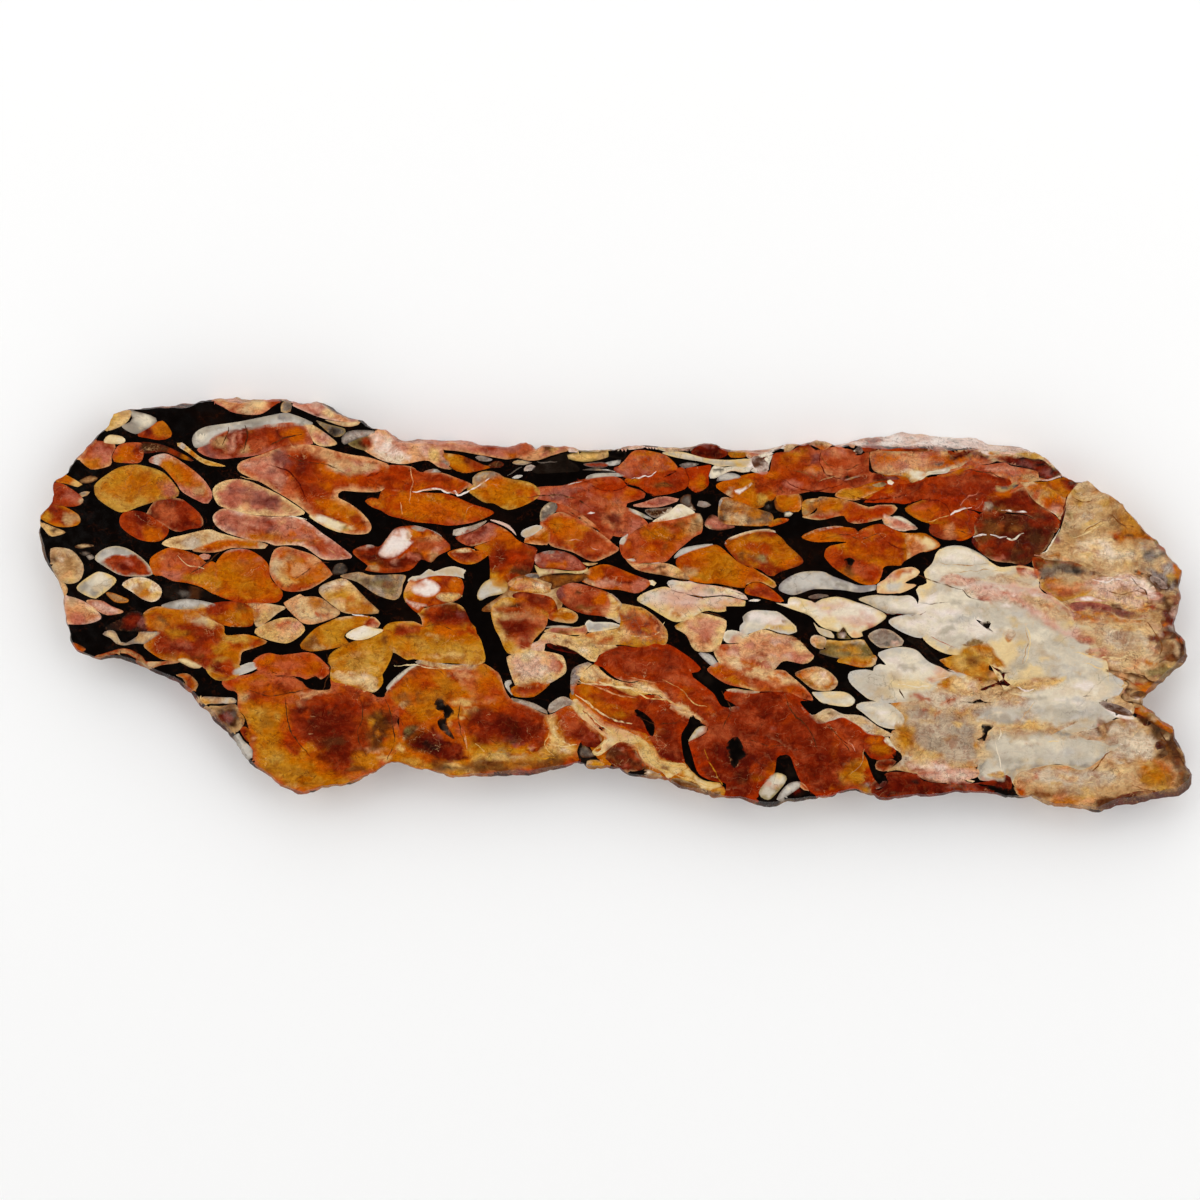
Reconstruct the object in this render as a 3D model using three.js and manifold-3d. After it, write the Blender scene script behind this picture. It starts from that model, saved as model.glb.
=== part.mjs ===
// A sawn slab of rough peanut wood: fossil driftwood, bored by shipworms and turned to opal and jasper.
// It is one solid piece of stone. Its two broad faces are saw cuts, flat and parallel, and its rim is the
// broken, weathered outside of the log. It lies on the back cut, with the good face up.
// Millimetres, +Z up. The origin is on the back cut, under the middle of the slab's length and width.
import * as THREE from "three";
import { mergeVertices } from "three/addons/utils/BufferGeometryUtils.js";
import Module from "manifold-3d";

const THICKNESS = 8;
const RIM_STATIONS = 460; // points around the slab, about 1.4 mm apart
const RIM_STEPS = [0, 0.1, 0.26, 0.44, 0.6, 0.76, 0.9, 1]; // shares of the thickness, from the back cut up

const LEAN = 1.7; // how far the back cut draws in where the rim faces -Y, as the log's skin leans
const BACK_DRAW_IN = 0.35; // how far it draws in elsewhere
const SPLINTER = 0.32; // sideways jaggedness of the broken edge
const SPLINTER_LENGTH = 2.3;
const LEDGE = 0.75; // depth of the ledges that run along the rim
const LEDGE_LENGTH = 11; // how far one ledge runs along the rim
const SCOOP = 0.5; // shell-shaped hollows left by chips
const SCOOP_LENGTH = 5.5;

// The slab's edge, clockwise from the left end: [x, y, how far the rough rim stands out past the sawn face].
const LEFT_END = [
  [-111.2, 1.0, 0.5], [-111.7, 3.2, 0.5], [-112.6, 5.2, 0.5], [-114.2, 7.4, 0.6], [-115.3, 10.2, 0.7],
  [-116.0, 13.2, 0.8], [-116.4, 15.8, 0.8], [-116.1, 17.4, 0.8], [-115.0, 18.6, 0.7], [-113.9, 19.4, 0.6],
  [-113.3, 21.0, 0.6], [-113.3, 23.2, 0.6], [-112.4, 25.1, 0.6], [-111.2, 25.7, 0.5], [-110.2, 26.0, 0.5],
];
const TOP_LEFT = [
  [-109.7, 27.3, 0.7], [-107.6, 30.1, 1.0], [-106.4, 31.9, 1.2], [-105.0, 33.5, 1.3], [-103.6, 34.9, 1.2],
  [-102.4, 35.8, 0.8], [-101.8, 37.1, 0.5], [-101.0, 38.2, 0.4], [-99.2, 38.7, 0.4], [-96.5, 39.2, 0.7],
  [-94.2, 39.4, 0.9], [-91.0, 39.8, 1.1], [-89.2, 40.35, 1.5], [-86.0, 40.45, 1.4], [-83.4, 40.9, 1.2],
  [-81.8, 41.35, 1.5], [-79.5, 41.7, 1.7], [-77.6, 41.8, 1.7], [-76.5, 41.3, 1.3], [-75.3, 40.9, 1.0],
  [-71.8, 40.9, 0.9], [-68.0, 40.85, 0.8], [-65.9, 40.8, 0.7], [-64.8, 40.4, 0.6], [-62.6, 40.2, 0.5],
  [-60.1, 40.5, 0.5], [-58.5, 40.0, 0.5], [-57.3, 38.8, 0.4], [-55.8, 37.9, 0.4], [-53.9, 37.2, 0.4],
  [-51.6, 36.5, 0.4], [-50.1, 35.5, 0.4], [-48.2, 35.0, 0.4], [-45.8, 34.4, 0.5], [-44.5, 33.4, 0.7],
];
const TOP_MIDDLE = [
  [-43.4, 33.0, 1.0], [-40.5, 33.2, 1.4], [-37.4, 33.3, 1.5], [-35.0, 32.9, 1.4], [-30.0, 32.8, 1.1],
  [-28.8, 32.4, 0.9], [-27.5, 31.9, 0.8], [-24.5, 31.7, 0.8], [-20.6, 31.5, 0.6], [-19.3, 32.0, 0.5],
  [-18.0, 32.2, 0.5], [-17.0, 31.5, 0.4], [-16.4, 30.8, 0.4], [-15.7, 31.3, 0.4], [-12.5, 31.4, 0.5],
  [-10.0, 31.4, 0.6], [-8.2, 30.9, 0.7], [-5.2, 30.6, 0.8], [-2.0, 30.9, 0.8], [2.0, 31.5, 0.8],
  [5.5, 31.7, 0.8], [9.5, 31.4, 0.8], [13.5, 31.3, 0.8], [16.0, 31.9, 0.6], [18.0, 32.25, 0.5],
  [20.0, 31.9, 0.6], [22.2, 31.1, 0.9], [26.0, 30.9, 1.0], [29.0, 30.7, 1.0], [32.0, 31.2, 0.8],
  [34.2, 31.9, 0.5], [37.5, 32.1, 0.5], [39.5, 32.6, 0.5], [42.0, 32.4, 0.5], [43.6, 31.9, 0.5],
];
const TOP_RIGHT = [
  [46.0, 32.3, 1.2], [48.2, 33.0, 2.0], [50.3, 33.6, 2.7], [53.5, 33.8, 3.1], [56.5, 34.3, 3.5],
  [59.5, 34.5, 3.8], [62.0, 34.4, 3.9], [64.0, 34.0, 3.7], [66.5, 33.7, 3.5], [70.0, 33.5, 3.2],
  [73.0, 33.2, 2.8], [75.2, 32.5, 2.4], [77.6, 31.9, 2.0], [80.0, 31.5, 1.6], [82.4, 31.6, 1.6],
  [84.0, 31.0, 1.3], [85.1, 29.8, 0.8], [86.3, 28.5, 0.5], [87.6, 27.3, 0.5], [88.9, 26.3, 0.5],
  [89.6, 25.5, 0.5], [91.2, 24.9, 0.4], [92.6, 24.1, 0.4], [93.8, 24.1, 0.4], [95.0, 24.3, 0.5],
  [96.2, 23.4, 0.6], [98.0, 22.4, 0.7], [100.0, 21.6, 0.8], [101.8, 20.2, 0.9], [103.0, 18.6, 0.9],
  [104.4, 17.0, 1.0], [105.3, 15.9, 1.0],
];
const RIGHT_END = [
  [105.7, 14.5, 0.8], [107.1, 13.9, 0.9], [108.2, 13.5, 1.0], [108.9, 12.3, 1.0], [110.3, 11.3, 1.1],
  [110.5, 10.3, 1.1], [111.4, 9.1, 1.2], [112.7, 8.0, 1.2], [114.0, 6.9, 1.1], [114.0, 5.7, 1.0],
  [113.4, 4.4, 1.0], [112.9, 2.6, 1.1], [113.8, 1.3, 1.4], [113.7, -0.8, 1.7], [113.3, -2.8, 1.9],
  [113.2, -5.2, 1.9], [114.1, -6.3, 1.7], [114.9, -7.4, 1.7], [115.3, -9.6, 1.7], [114.9, -11.4, 1.6],
  [113.6, -12.3, 1.5], [112.4, -13.5, 1.4], [110.6, -14.9, 1.3], [109.4, -16.0, 1.2], [107.6, -17.5, 1.1],
  [106.2, -18.8, 0.9], [105.4, -19.9, 0.8], [106.6, -20.7, 0.9], [108.1, -21.9, 1.1], [109.8, -23.3, 1.3],
  [111.8, -24.4, 1.4], [112.5, -25.4, 1.3], [112.2, -26.4, 1.4], [113.5, -27.6, 1.7], [114.8, -29.7, 1.9],
  [115.4, -31.6, 1.8], [115.2, -32.7, 1.7], [116.1, -33.7, 1.8], [116.4, -34.9, 1.9], [115.9, -36.5, 2.0],
];
const BOTTOM_RIGHT = [
  [114.6, -38.0, 2.0], [112.5, -38.9, 1.9], [109.5, -39.4, 1.8], [106.3, -40.4, 1.7], [103.5, -40.7, 1.7],
  [100.3, -40.9, 1.6], [98.2, -41.5, 1.4], [96.4, -41.9, 1.2], [93.5, -41.5, 0.9], [89.0, -41.2, 0.8],
  [86.6, -40.8, 0.8], [83.6, -39.5, 0.6], [81.0, -39.1, 0.5], [78.4, -39.2, 0.5], [76.0, -38.7, 0.5],
  [69.0, -38.4, 0.5], [64.5, -38.7, 0.5], [57.5, -39.1, 0.6], [54.6, -39.5, 0.6], [53.2, -39.7, 0.6],
  [51.6, -39.0, 0.6], [48.9, -38.6, 0.5], [47.2, -37.7, 0.5], [45.4, -38.4, 0.5], [42.0, -39.2, 0.6],
];
const BOTTOM_MIDDLE = [
  [37.5, -39.9, 0.7], [34.2, -40.0, 0.7], [32.9, -40.7, 0.9], [31.0, -40.9, 1.1], [28.8, -40.8, 1.0],
  [27.0, -40.1, 0.7], [22.0, -39.5, 0.6], [19.2, -39.3, 1.0], [17.8, -38.5, 1.1], [14.2, -37.9, 0.8],
  [12.0, -37.1, 0.6], [10.6, -36.0, 0.6], [8.5, -35.8, 0.8], [5.5, -35.3, 0.7], [2.0, -34.3, 0.4],
  [0.4, -33.4, 0.4], [-0.8, -33.6, 0.5], [-1.8, -33.3, 0.5], [-4.2, -33.5, 0.7], [-6.2, -33.4, 0.7],
  [-7.3, -32.4, 0.4], [-10.0, -33.1, 0.6], [-14.0, -34.1, 0.9], [-18.0, -35.0, 1.2], [-22.0, -35.2, 1.3],
  [-26.0, -34.9, 0.8], [-33.0, -35.0, 0.5], [-36.0, -34.4, 0.3], [-40.0, -33.5, 0.2], [-42.2, -32.7, 0.2],
  [-44.8, -32.0, 0.2],
];
const BOTTOM_LEFT = [
  [-46.4, -32.6, 0.2], [-48.8, -34.5, 0.3], [-51.0, -35.4, 0.4], [-53.2, -36.3, 0.5], [-56.0, -37.3, 0.6],
  [-59.0, -37.5, 0.6], [-61.2, -38.2, 0.7], [-63.2, -38.6, 0.8], [-65.0, -38.1, 0.7], [-67.6, -36.7, 0.6],
  [-70.5, -34.6, 0.6], [-73.4, -32.4, 0.7], [-74.8, -31.0, 0.8], [-76.0, -29.2, 1.0], [-77.0, -27.5, 1.1],
  [-79.7, -24.8, 1.1], [-82.4, -21.8, 1.0], [-85.2, -18.7, 0.9], [-86.8, -17.2, 0.9], [-88.6, -16.0, 0.9],
  [-92.2, -14.5, 0.9], [-95.5, -12.8, 0.8], [-98.0, -11.9, 0.8], [-100.3, -11.3, 0.7], [-104.4, -11.5, 0.6],
  [-106.7, -10.7, 0.5], [-108.3, -9.3, 0.4], [-109.5, -7.6, 0.4], [-110.0, -5.4, 0.4], [-110.3, -3.6, 0.4],
  [-110.9, -1.6, 0.4],
];
const TOP = [TOP_LEFT, TOP_MIDDLE, TOP_RIGHT];
const BOTTOM = [BOTTOM_RIGHT, BOTTOM_MIDDLE, BOTTOM_LEFT];
const EDGE = [LEFT_END, ...TOP, RIGHT_END, ...BOTTOM].flat();

// Open hollows in the sawn face, each a lens on a line: [x, y, length, width, depth, turn in degrees].
const HOLLOWS = [
  [99.9, -21.4, 7.6, 1.7, 1.3, -20], // the long slot by the notch
  [104.2, -18.6, 3.4, 1.5, 1.0, 8], // broken ground beside it
  [28.6, 27.6, 4.2, 2.6, 0.8, -40], // white pocket under the top edge
  [48.4, 30.3, 1.6, 1.3, 0.9, 0], // small round pit
  [108.4, 3.9, 4.4, 1.6, 1.2, -32], // rusty cleft at the right end
];
const HOLLOW_SIDES = 14;
const HOLLOW_RINGS = 5;

// A repeatable number from 0 to 1 for each pair of whole numbers.
function hash(i, j) {
  const wave = Math.sin(i * 127.1 + j * 311.7) * 43758.5453;
  return wave - Math.floor(wave);
}

// Smooth noise from -1 to 1 over u, which wraps after `period` cells, and v, which doesn't.
function noise(u, v, period, layer) {
  const u0 = Math.floor(u);
  const v0 = Math.floor(v);
  const ease = (t) => t * t * (3 - 2 * t);
  const fu = ease(u - u0);
  const fv = ease(v - v0);
  const wrapped = (i) => (((i % period) + period) % period) + layer * 101;
  const at = (i, j) => hash(wrapped(i), j);
  const low = at(u0, v0) * (1 - fu) + at(u0 + 1, v0) * fu;
  const high = at(u0, v0 + 1) * (1 - fu) + at(u0 + 1, v0 + 1) * fu;
  return 2 * (low * (1 - fv) + high * fv) - 1;
}

// The edge as evenly spaced stations, each with its outward direction and how far the rim stands out there.
function edgeStations() {
  const curve = new THREE.CatmullRomCurve3(
    EDGE.map(([x, y, rim]) => new THREE.Vector3(x, y, rim)),
    true,
    "centripetal",
  );
  curve.arcLengthDivisions = 4000;
  const length = curve.getLength();
  const points = curve.getSpacedPoints(RIM_STATIONS).slice(0, RIM_STATIONS);
  return points.map((p, i) => {
    const before = points[(i + RIM_STATIONS - 2) % RIM_STATIONS];
    const after = points[(i + 2) % RIM_STATIONS];
    const outward = new THREE.Vector2(-(after.y - before.y), after.x - before.x).normalize();
    const along = (i / RIM_STATIONS) * length;
    return { at: new THREE.Vector2(p.x, p.y), outward, rim: p.z, along, length };
  });
}

// How far in the rim's surface lies at a share of the thickness, 0 at the back cut and 1 at the good face, before
// it is moved out to meet the edge.
function rimRelief({ along, length, rim, outward }, share) {
  const ledges = Math.round(length / LEDGE_LENGTH);
  const scoops = Math.round(length / SCOOP_LENGTH);
  const backInset = BACK_DRAW_IN + LEAN * Math.max(0, -outward.y);
  const slope = backInset * (1 - share) ** 1.6 + rim * share ** 1.4;
  const ledge = noise((along / length) * ledges, share * 3.2, ledges, 1);
  const scoop = noise((along / length) * scoops, share * 2.1, scoops, 2);
  const stepped = Math.round(ledge * 2.2) / 2.2;
  const rough = Math.sin(Math.PI * share) * (0.75 + 0.35 * rim);
  return slope + rough * (LEDGE * (0.33 + 0.27 * stepped) + SCOOP * Math.max(0, scoop));
}

// How far inside the edge each step of the rim lies at a station. The step that stands out most meets the edge.
function rimInsets(station) {
  const relief = RIM_STEPS.map((share) => rimRelief(station, share));
  const outermost = Math.min(...relief.slice(0, -1));
  return relief.map((inset, k) => (k === relief.length - 1 ? station.rim : inset - outermost));
}

// One closed ring of points for each step of the thickness, the back cut first.
function rimRings(stations) {
  const splinters = Math.round(stations[0].length / SPLINTER_LENGTH);
  const insets = stations.map(rimInsets);
  return RIM_STEPS.map((share, k) =>
    stations.map(({ at, outward, along, length }, i) => {
      const jag = SPLINTER * noise((along / length) * splinters, share * 1.3, splinters, 3);
      const p = at.clone().addScaledVector(outward, jag - insets[i][k]);
      return new THREE.Vector3(p.x, p.y, share * THICKNESS);
    }),
  );
}

function slabGeometry() {
  const rings = rimRings(edgeStations());
  const vertices = rings.flat().flatMap((p) => p.toArray());
  const indices = [];
  const n = RIM_STATIONS;
  for (let k = 0; k + 1 < rings.length; k++) {
    for (let i = 0; i < n; i++) {
      const j = (i + 1) % n;
      const [a, b, c, d] = [k * n + i, k * n + j, (k + 1) * n + j, (k + 1) * n + i];
      indices.push(a, c, b, a, d, c);
    }
  }
  const contour = (ring) => ring.map((p) => new THREE.Vector2(p.x, p.y));
  const top = (rings.length - 1) * n;
  for (const [a, b, c] of THREE.ShapeUtils.triangulateShape(contour(rings[0]), [])) indices.push(a, c, b);
  for (const [a, b, c] of THREE.ShapeUtils.triangulateShape(contour(rings.at(-1)), [])) {
    indices.push(top + a, top + b, top + c);
  }
  const geometry = new THREE.BufferGeometry();
  geometry.setAttribute("position", new THREE.Float32BufferAttribute(vertices, 3));
  geometry.setIndex(indices);
  return geometry;
}

// A lens-shaped cutter, wide at the sawn face and pointed at both ends.
function hollowGeometry([x, y, length, width, depth, turn]) {
  const profile = [];
  for (let k = 0; k <= HOLLOW_RINGS; k++) {
    const angle = (k / HOLLOW_RINGS) * Math.PI;
    profile.push(new THREE.Vector2(Math.sin(angle), -Math.cos(angle)));
  }
  profile[0].x = 0;
  profile.at(-1).x = 0;
  const geometry = new THREE.LatheGeometry(profile, HOLLOW_SIDES);
  geometry.rotateX(Math.PI / 2);
  geometry.scale(length / 2, width / 2, depth);
  geometry.rotateZ(THREE.MathUtils.degToRad(turn));
  geometry.translate(x, y, THICKNESS);
  return geometry;
}

const wasm = await Module();
wasm.setup();

function solidFrom(geometry) {
  const bare = new THREE.BufferGeometry();
  bare.setAttribute("position", geometry.getAttribute("position"));
  if (geometry.index) bare.setIndex(geometry.index);
  const merged = mergeVertices(bare, 1e-4);
  return new wasm.Manifold(
    new wasm.Mesh({
      numProp: 3,
      vertProperties: merged.attributes.position.array,
      triVerts: new Uint32Array(merged.index.array),
    }),
  );
}

function geometryFrom(solid) {
  const mesh = solid.getMesh();
  const geometry = new THREE.BufferGeometry();
  geometry.setAttribute("position", new THREE.BufferAttribute(new Float32Array(mesh.vertProperties), 3));
  geometry.setIndex(new THREE.BufferAttribute(new Uint32Array(mesh.triVerts), 1));
  geometry.computeVertexNormals();
  return geometry;
}

function makeSlab() {
  const uncut = solidFrom(slabGeometry());
  const slab = HOLLOWS.reduce((solid, hollow) => solid.subtract(solidFrom(hollowGeometry(hollow))), uncut);
  const geometry = geometryFrom(slab);
  geometry.computeBoundingBox();
  const middle = geometry.boundingBox.getCenter(new THREE.Vector3());
  geometry.translate(-middle.x, -middle.y, 0);
  const stone = new THREE.MeshStandardMaterial({ color: 0x8f4a26, roughness: 0.3, metalness: 0 });
  const mesh = new THREE.Mesh(geometry, stone);
  mesh.name = "peanut_wood_slab";
  return mesh;
}

const part = new THREE.Group();
part.name = "peanut_wood";
part.add(makeSlab());

export default part;
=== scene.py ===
"""A flat sawn slab of rough peanut wood: polished patterned faces and a broken, weathered rim."""

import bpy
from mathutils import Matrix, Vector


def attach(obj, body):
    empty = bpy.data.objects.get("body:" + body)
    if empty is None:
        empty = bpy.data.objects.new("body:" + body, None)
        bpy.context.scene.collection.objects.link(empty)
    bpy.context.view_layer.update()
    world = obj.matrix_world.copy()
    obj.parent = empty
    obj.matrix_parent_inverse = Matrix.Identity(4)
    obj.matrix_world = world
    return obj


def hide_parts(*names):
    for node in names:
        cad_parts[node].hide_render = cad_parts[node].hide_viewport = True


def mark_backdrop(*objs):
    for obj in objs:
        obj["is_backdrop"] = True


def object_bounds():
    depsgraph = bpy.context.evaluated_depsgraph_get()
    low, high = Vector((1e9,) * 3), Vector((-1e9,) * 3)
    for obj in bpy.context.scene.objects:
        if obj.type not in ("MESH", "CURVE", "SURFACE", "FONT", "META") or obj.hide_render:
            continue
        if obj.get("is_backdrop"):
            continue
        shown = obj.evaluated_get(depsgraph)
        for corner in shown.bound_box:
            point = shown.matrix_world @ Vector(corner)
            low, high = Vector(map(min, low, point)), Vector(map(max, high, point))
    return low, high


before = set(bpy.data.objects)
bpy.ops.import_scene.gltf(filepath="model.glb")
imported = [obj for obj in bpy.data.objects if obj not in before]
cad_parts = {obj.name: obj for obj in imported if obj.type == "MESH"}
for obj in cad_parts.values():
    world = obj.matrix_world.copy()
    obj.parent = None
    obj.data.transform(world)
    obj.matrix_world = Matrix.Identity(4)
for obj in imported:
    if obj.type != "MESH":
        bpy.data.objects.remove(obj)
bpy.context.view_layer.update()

import math
import re

import bmesh
import bpy
import numpy as np
from bpy.props import FloatProperty, FloatVectorProperty, PointerProperty
from mathutils import Vector
from mathutils.geometry import delaunay_2d_cdt

bl_info = {
    "name": "Peanut Wood Slab",
    "version": (1, 0, 0),
    "blender": (4, 5, 0),
    "location": "3D View > Sidebar > Slab",
    "description": "Builds a sawn slab of peanut wood with its inlaid pattern and broken rim",
    "category": "Object",
}

SLAB_NODE = "peanut_wood_slab"
MM = 1000.0
# Places closer together than this are one, in metres
TOUCH = 1e-6
# How deep the outline of a sawn face is chipped, compared with the rest of the rim, and how far
# a point of it may move at most, as a share of its shortest edge
RING_CALM, RING_ROOM = 0.7, 0.3
# How far the round floor runs from the middle: past it the lights would leave it grey
FLOOR_REACH = 0.75
FLOOR_SIDES = 128
# How far the floor lies below the slab, so that the two don't touch
FLOOR_DROP = 0.0001
# How far the middle of the slab's box lies from the middle of the drawn pattern, in mm
DRAWN_FROM = np.array([0.117, -0.145])
# How near to a ring a point of the pattern may lie, in mm, so that no triangle is a sliver
RING_GAP = 0.28
# A corner this near to the height of a sawn face belongs to it, in mm
FACE_GAP = 1e-3
# How far inside the outline the small hollows of the face begin, in mm
PIT_GAP = 0.6
# Where the rim's pattern heads for as it goes deeper, in mm
PATTERN_MIDDLE = np.array([-2.0, 0.0])
# Patches narrower than this, in mm, are too small for clouds, a halo and a seam
PLAIN_WIDTH = 2.5
# A halo is at least this wide, in mm, and at most this share of the way into the patch
HALO_LEAST, HALO_SHARE = 0.3, 0.45
# A patch of one colour has an edge that goes this far to its lighter neighbour, and a middle that
# goes this far to its darker one
EDGE_LIFT, CORE_DROP = 0.5, 0.12
# The clouds of a patch are this many times as long as wide, and wander by this many mm
CLOUD_STRETCH, CLOUD_WANDER, SPOT_WANDER = 2.6, 8.0, 3.6
# The light and the dark clouds of a patch: their strength, and where they begin and are full
LIGHT_CLOUDS, DARK_CLOUDS = (0.6, 0.53, 0.66), (0.55, 0.49, 0.36)
# How wide the seam round a patch is, in mm
SEAM_WIDTH = 0.42
# How wide the edge of a patch is on other stone, in mm: on unlike stone, how much more on stone
# of its own colour, and the two differences of colour between which it changes
EDGE_FADE, LIKE_FADE, UNLIKE, ALIKE = 0.3, 1.6, 0.5, 0.12
# How wide the edge of a wash is at most, in mm
WASH_FADE = 2.6
# A width that makes an edge sharp, in mm
SHARP = 1e-6
# How strongly a wash, a cloud in a patch and a broken seam colour the stone
WASH_SHARE = 0.85
SPOT_SHARE = 0.92
SEAM_SHARE = 0.42
# Kinds of seam, by a patch's own random number: cream below the first, dark up to the second
SEAM_KINDS = (0.24, 0.66)
# Where the camera stands over the slab, in metres
CAMERA_PLACE = (-0.00352, 0.00054)

# Large numbers that stir a place and a seed into a random number
STIR = (73856093, 19349663, 83492791, 7919)
# How much weaker and finer each further layer of clouds is, and how far it is moved
CLOUD_GAIN, CLOUD_STEP, CLOUD_SHIFT = 0.55, 2.03, 17.3

# Layers of clouds: the width of the largest in mm, a seed and the number of layers
HALO_EDGE = (1.3, 11, 3)
PATCH_CLOUDS = (2.6, 23, 5)
PATCH_SWAY = ((4.0, 37, 4), (4.0, 41, 4))
PATCH_EDGE = (1.8, 173, 3)
SPOT_EDGE = (1.7, 53, 4)
SEAM_BREAKS = (3.4, 59, 3)
CRACK_AND_GLINT_SWAY = (1.6, 47, 3)
GROUND_SMOKE = (9.0, 83, 4)
BACK_DRIFT = ((34.0, 61, 2), (34.0, 67, 2))
BACK_RIPPLE = ((9.0, 71, 2), (9.0, 73, 2))
RIM_SWELL, RIM_CHIPS, RIM_SCOOPS = (4.2, 101, 3), (1.5, 113, 3), (2.4, 127, 2)
RIM_SWAY = ((6.0, 131, 3), (6.0, 137, 3))
RIM_SPECKLE = (2.6, 139, 4)
INWARD_SWAY = ((5.0, 149, 3), (5.0, 151, 3))
CRUST_COVER = (3.4, 157, 4)
PIT_CHALK = (1.2, 163, 3)

# How the points between the outlines are laid, as shares of their spacing: the distance of the
# rows, the shaking, the cell that no two points share and the distance from a ring
ROW_SHARE, SHAKE_SHARE, CELL_SHARE, GRID_GAP = 0.87, 0.3, 0.62, 0.35

# Colours that the material lays over the stone
BLOTCH_SHADE = (0.62, 0.36, 0.3)
BLOTCH_LIGHT = (0.62, 0.5, 0.42)
MOTTLE_SHADE = (0.66, 0.42, 0.34)
MOTTLE_LIGHT = (0.12, 0.055, 0.02)
DARK_LINE = (0.05, 0.012, 0.004)
PALE_LINE = (0.8, 0.52, 0.26)
JASPER_WARMTH = (1.0, 0.89, 0.82)
SCURF = (0.05, 0.025, 0.014)
# Pale crystal points on the rim, partly a painted sparkle where the rim catches the light
CRYSTAL_AND_PAINTED_SPARKLE = (0.78, 0.72, 0.66)

# The soft lights: name, place in metres and share of the side light's power
LAMPS = (
    ("left light", (-0.75, 0.25, 0.6), 1.0),
    ("right light", (0.75, 0.15, 0.6), 1.0),
    ("far light", (0.0, 0.85, 0.6), 1.0),
    ("near light", (0.0, -0.85, 0.6), 0.6),
)
LAMP_SIZE = 1.0

# The stone's colours, as seen in daylight
TINTS = {
    "black": "060302",
    "soot": "1c1611",
    "maroon": "5c160d",
    "brick": "8a3019",
    "rust": "a5401c",
    "red": "a23414",
    "terracotta": "b85f3c",
    "rose": "b9705c",
    "pink": "cf9880",
    "blush": "d9b8a8",
    "plum": "84504a",
    "peach": "d9a676",
    "orange": "c0641c",
    "amber": "b9711f",
    "honey": "b5690c",
    "gold": "c08a2c",
    "ochre": "c29b48",
    "straw": "dbbb76",
    "tan": "c0a070",
    "sand": "cdb891",
    "cream": "e6cd98",
    "bone": "c8c0ae",
    "ivory": "e6dcc4",
    "pearl": "c4c0b7",
    "ash": "8f887d",
    "slate": "5d5a55",
    "steel": "8d8785",
    "olive": "8f7f54",
    "moss": "6d6238",
    "umber": "4a2c18",
    "brown": "7a4a22",
    "white": "efe4dc",
    "mist": "b3aa98",
}

# The colours of the see-through stone and of the dark ground
MILKY = ("bone", "pearl", "ivory", "white", "cream", "mist")
DARK = ("black", "soot")

# What each colour clouds towards: a lighter and a darker neighbour
CLOUDS = {
    "black": ("soot", "black"),
    "soot": ("slate", "black"),
    "maroon": ("brick", "black"),
    "brick": ("terracotta", "maroon"),
    "rust": ("orange", "maroon"),
    "red": ("terracotta", "maroon"),
    "terracotta": ("peach", "brick"),
    "rose": ("pink", "plum"),
    "pink": ("blush", "rose"),
    "blush": ("ivory", "pink"),
    "plum": ("rose", "maroon"),
    "peach": ("cream", "terracotta"),
    "orange": ("gold", "rust"),
    "amber": ("gold", "rust"),
    "gold": ("ochre", "brown"),
    "ochre": ("straw", "amber"),
    "straw": ("cream", "ochre"),
    "tan": ("sand", "brown"),
    "sand": ("cream", "tan"),
    "cream": ("ivory", "sand"),
    "bone": ("ivory", "tan"),
    "ivory": ("white", "sand"),
    "pearl": ("bone", "ash"),
    "ash": ("pearl", "slate"),
    "slate": ("ash", "soot"),
    "steel": ("pearl", "slate"),
    "olive": ("tan", "moss"),
    "moss": ("olive", "soot"),
    "umber": ("brown", "black"),
    "brown": ("amber", "umber"),
    "white": ("white", "blush"),
    "honey": ("gold", "brown"),
    "mist": ("bone", "ash"),
}

# Stone along the rim, by the nearest of these places in mm: main colour and second colour
RIM_STONE = (
    (-112, 12, "brown", "tan"),
    (-108, -6, "tan", "umber"),
    (-100, 30, "umber", "brown"),
    (-88, 38, "pink", "umber"),
    (-72, 41, "pink", "brown"),
    (-58, 37, "umber", "black"),
    (-46, 33, "umber", "pink"),
    (-34, 31, "pink", "rose"),
    (-10, 31, "tan", "pink"),
    (12, 31, "maroon", "tan"),
    (32, 32, "pink", "blush"),
    (50, 33, "white", "blush"),
    (66, 34, "white", "blush"),
    (80, 31, "blush", "white"),
    (88, 26, "maroon", "pink"),
    (98, 23, "amber", "tan"),
    (108, 12, "tan", "brown"),
    (114, 0, "brown", "plum"),
    (112, -12, "brown", "sand"),
    (107, -20, "umber", "amber"),
    (115, -30, "maroon", "brown"),
    (104, -40, "brown", "maroon"),
    (88, -37, "brown", "sand"),
    (66, -37, "maroon", "black"),
    (40, -39, "umber", "tan"),
    (14, -34, "amber", "umber"),
    (-10, -34, "maroon", "umber"),
    (-34, -34, "amber", "umber"),
    (-56, -39, "ochre", "brown"),
    (-72, -30, "brown", "umber"),
    (-84, -18, "umber", "rust"),
    (-100, -12, "black", "brown"),
)

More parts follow.
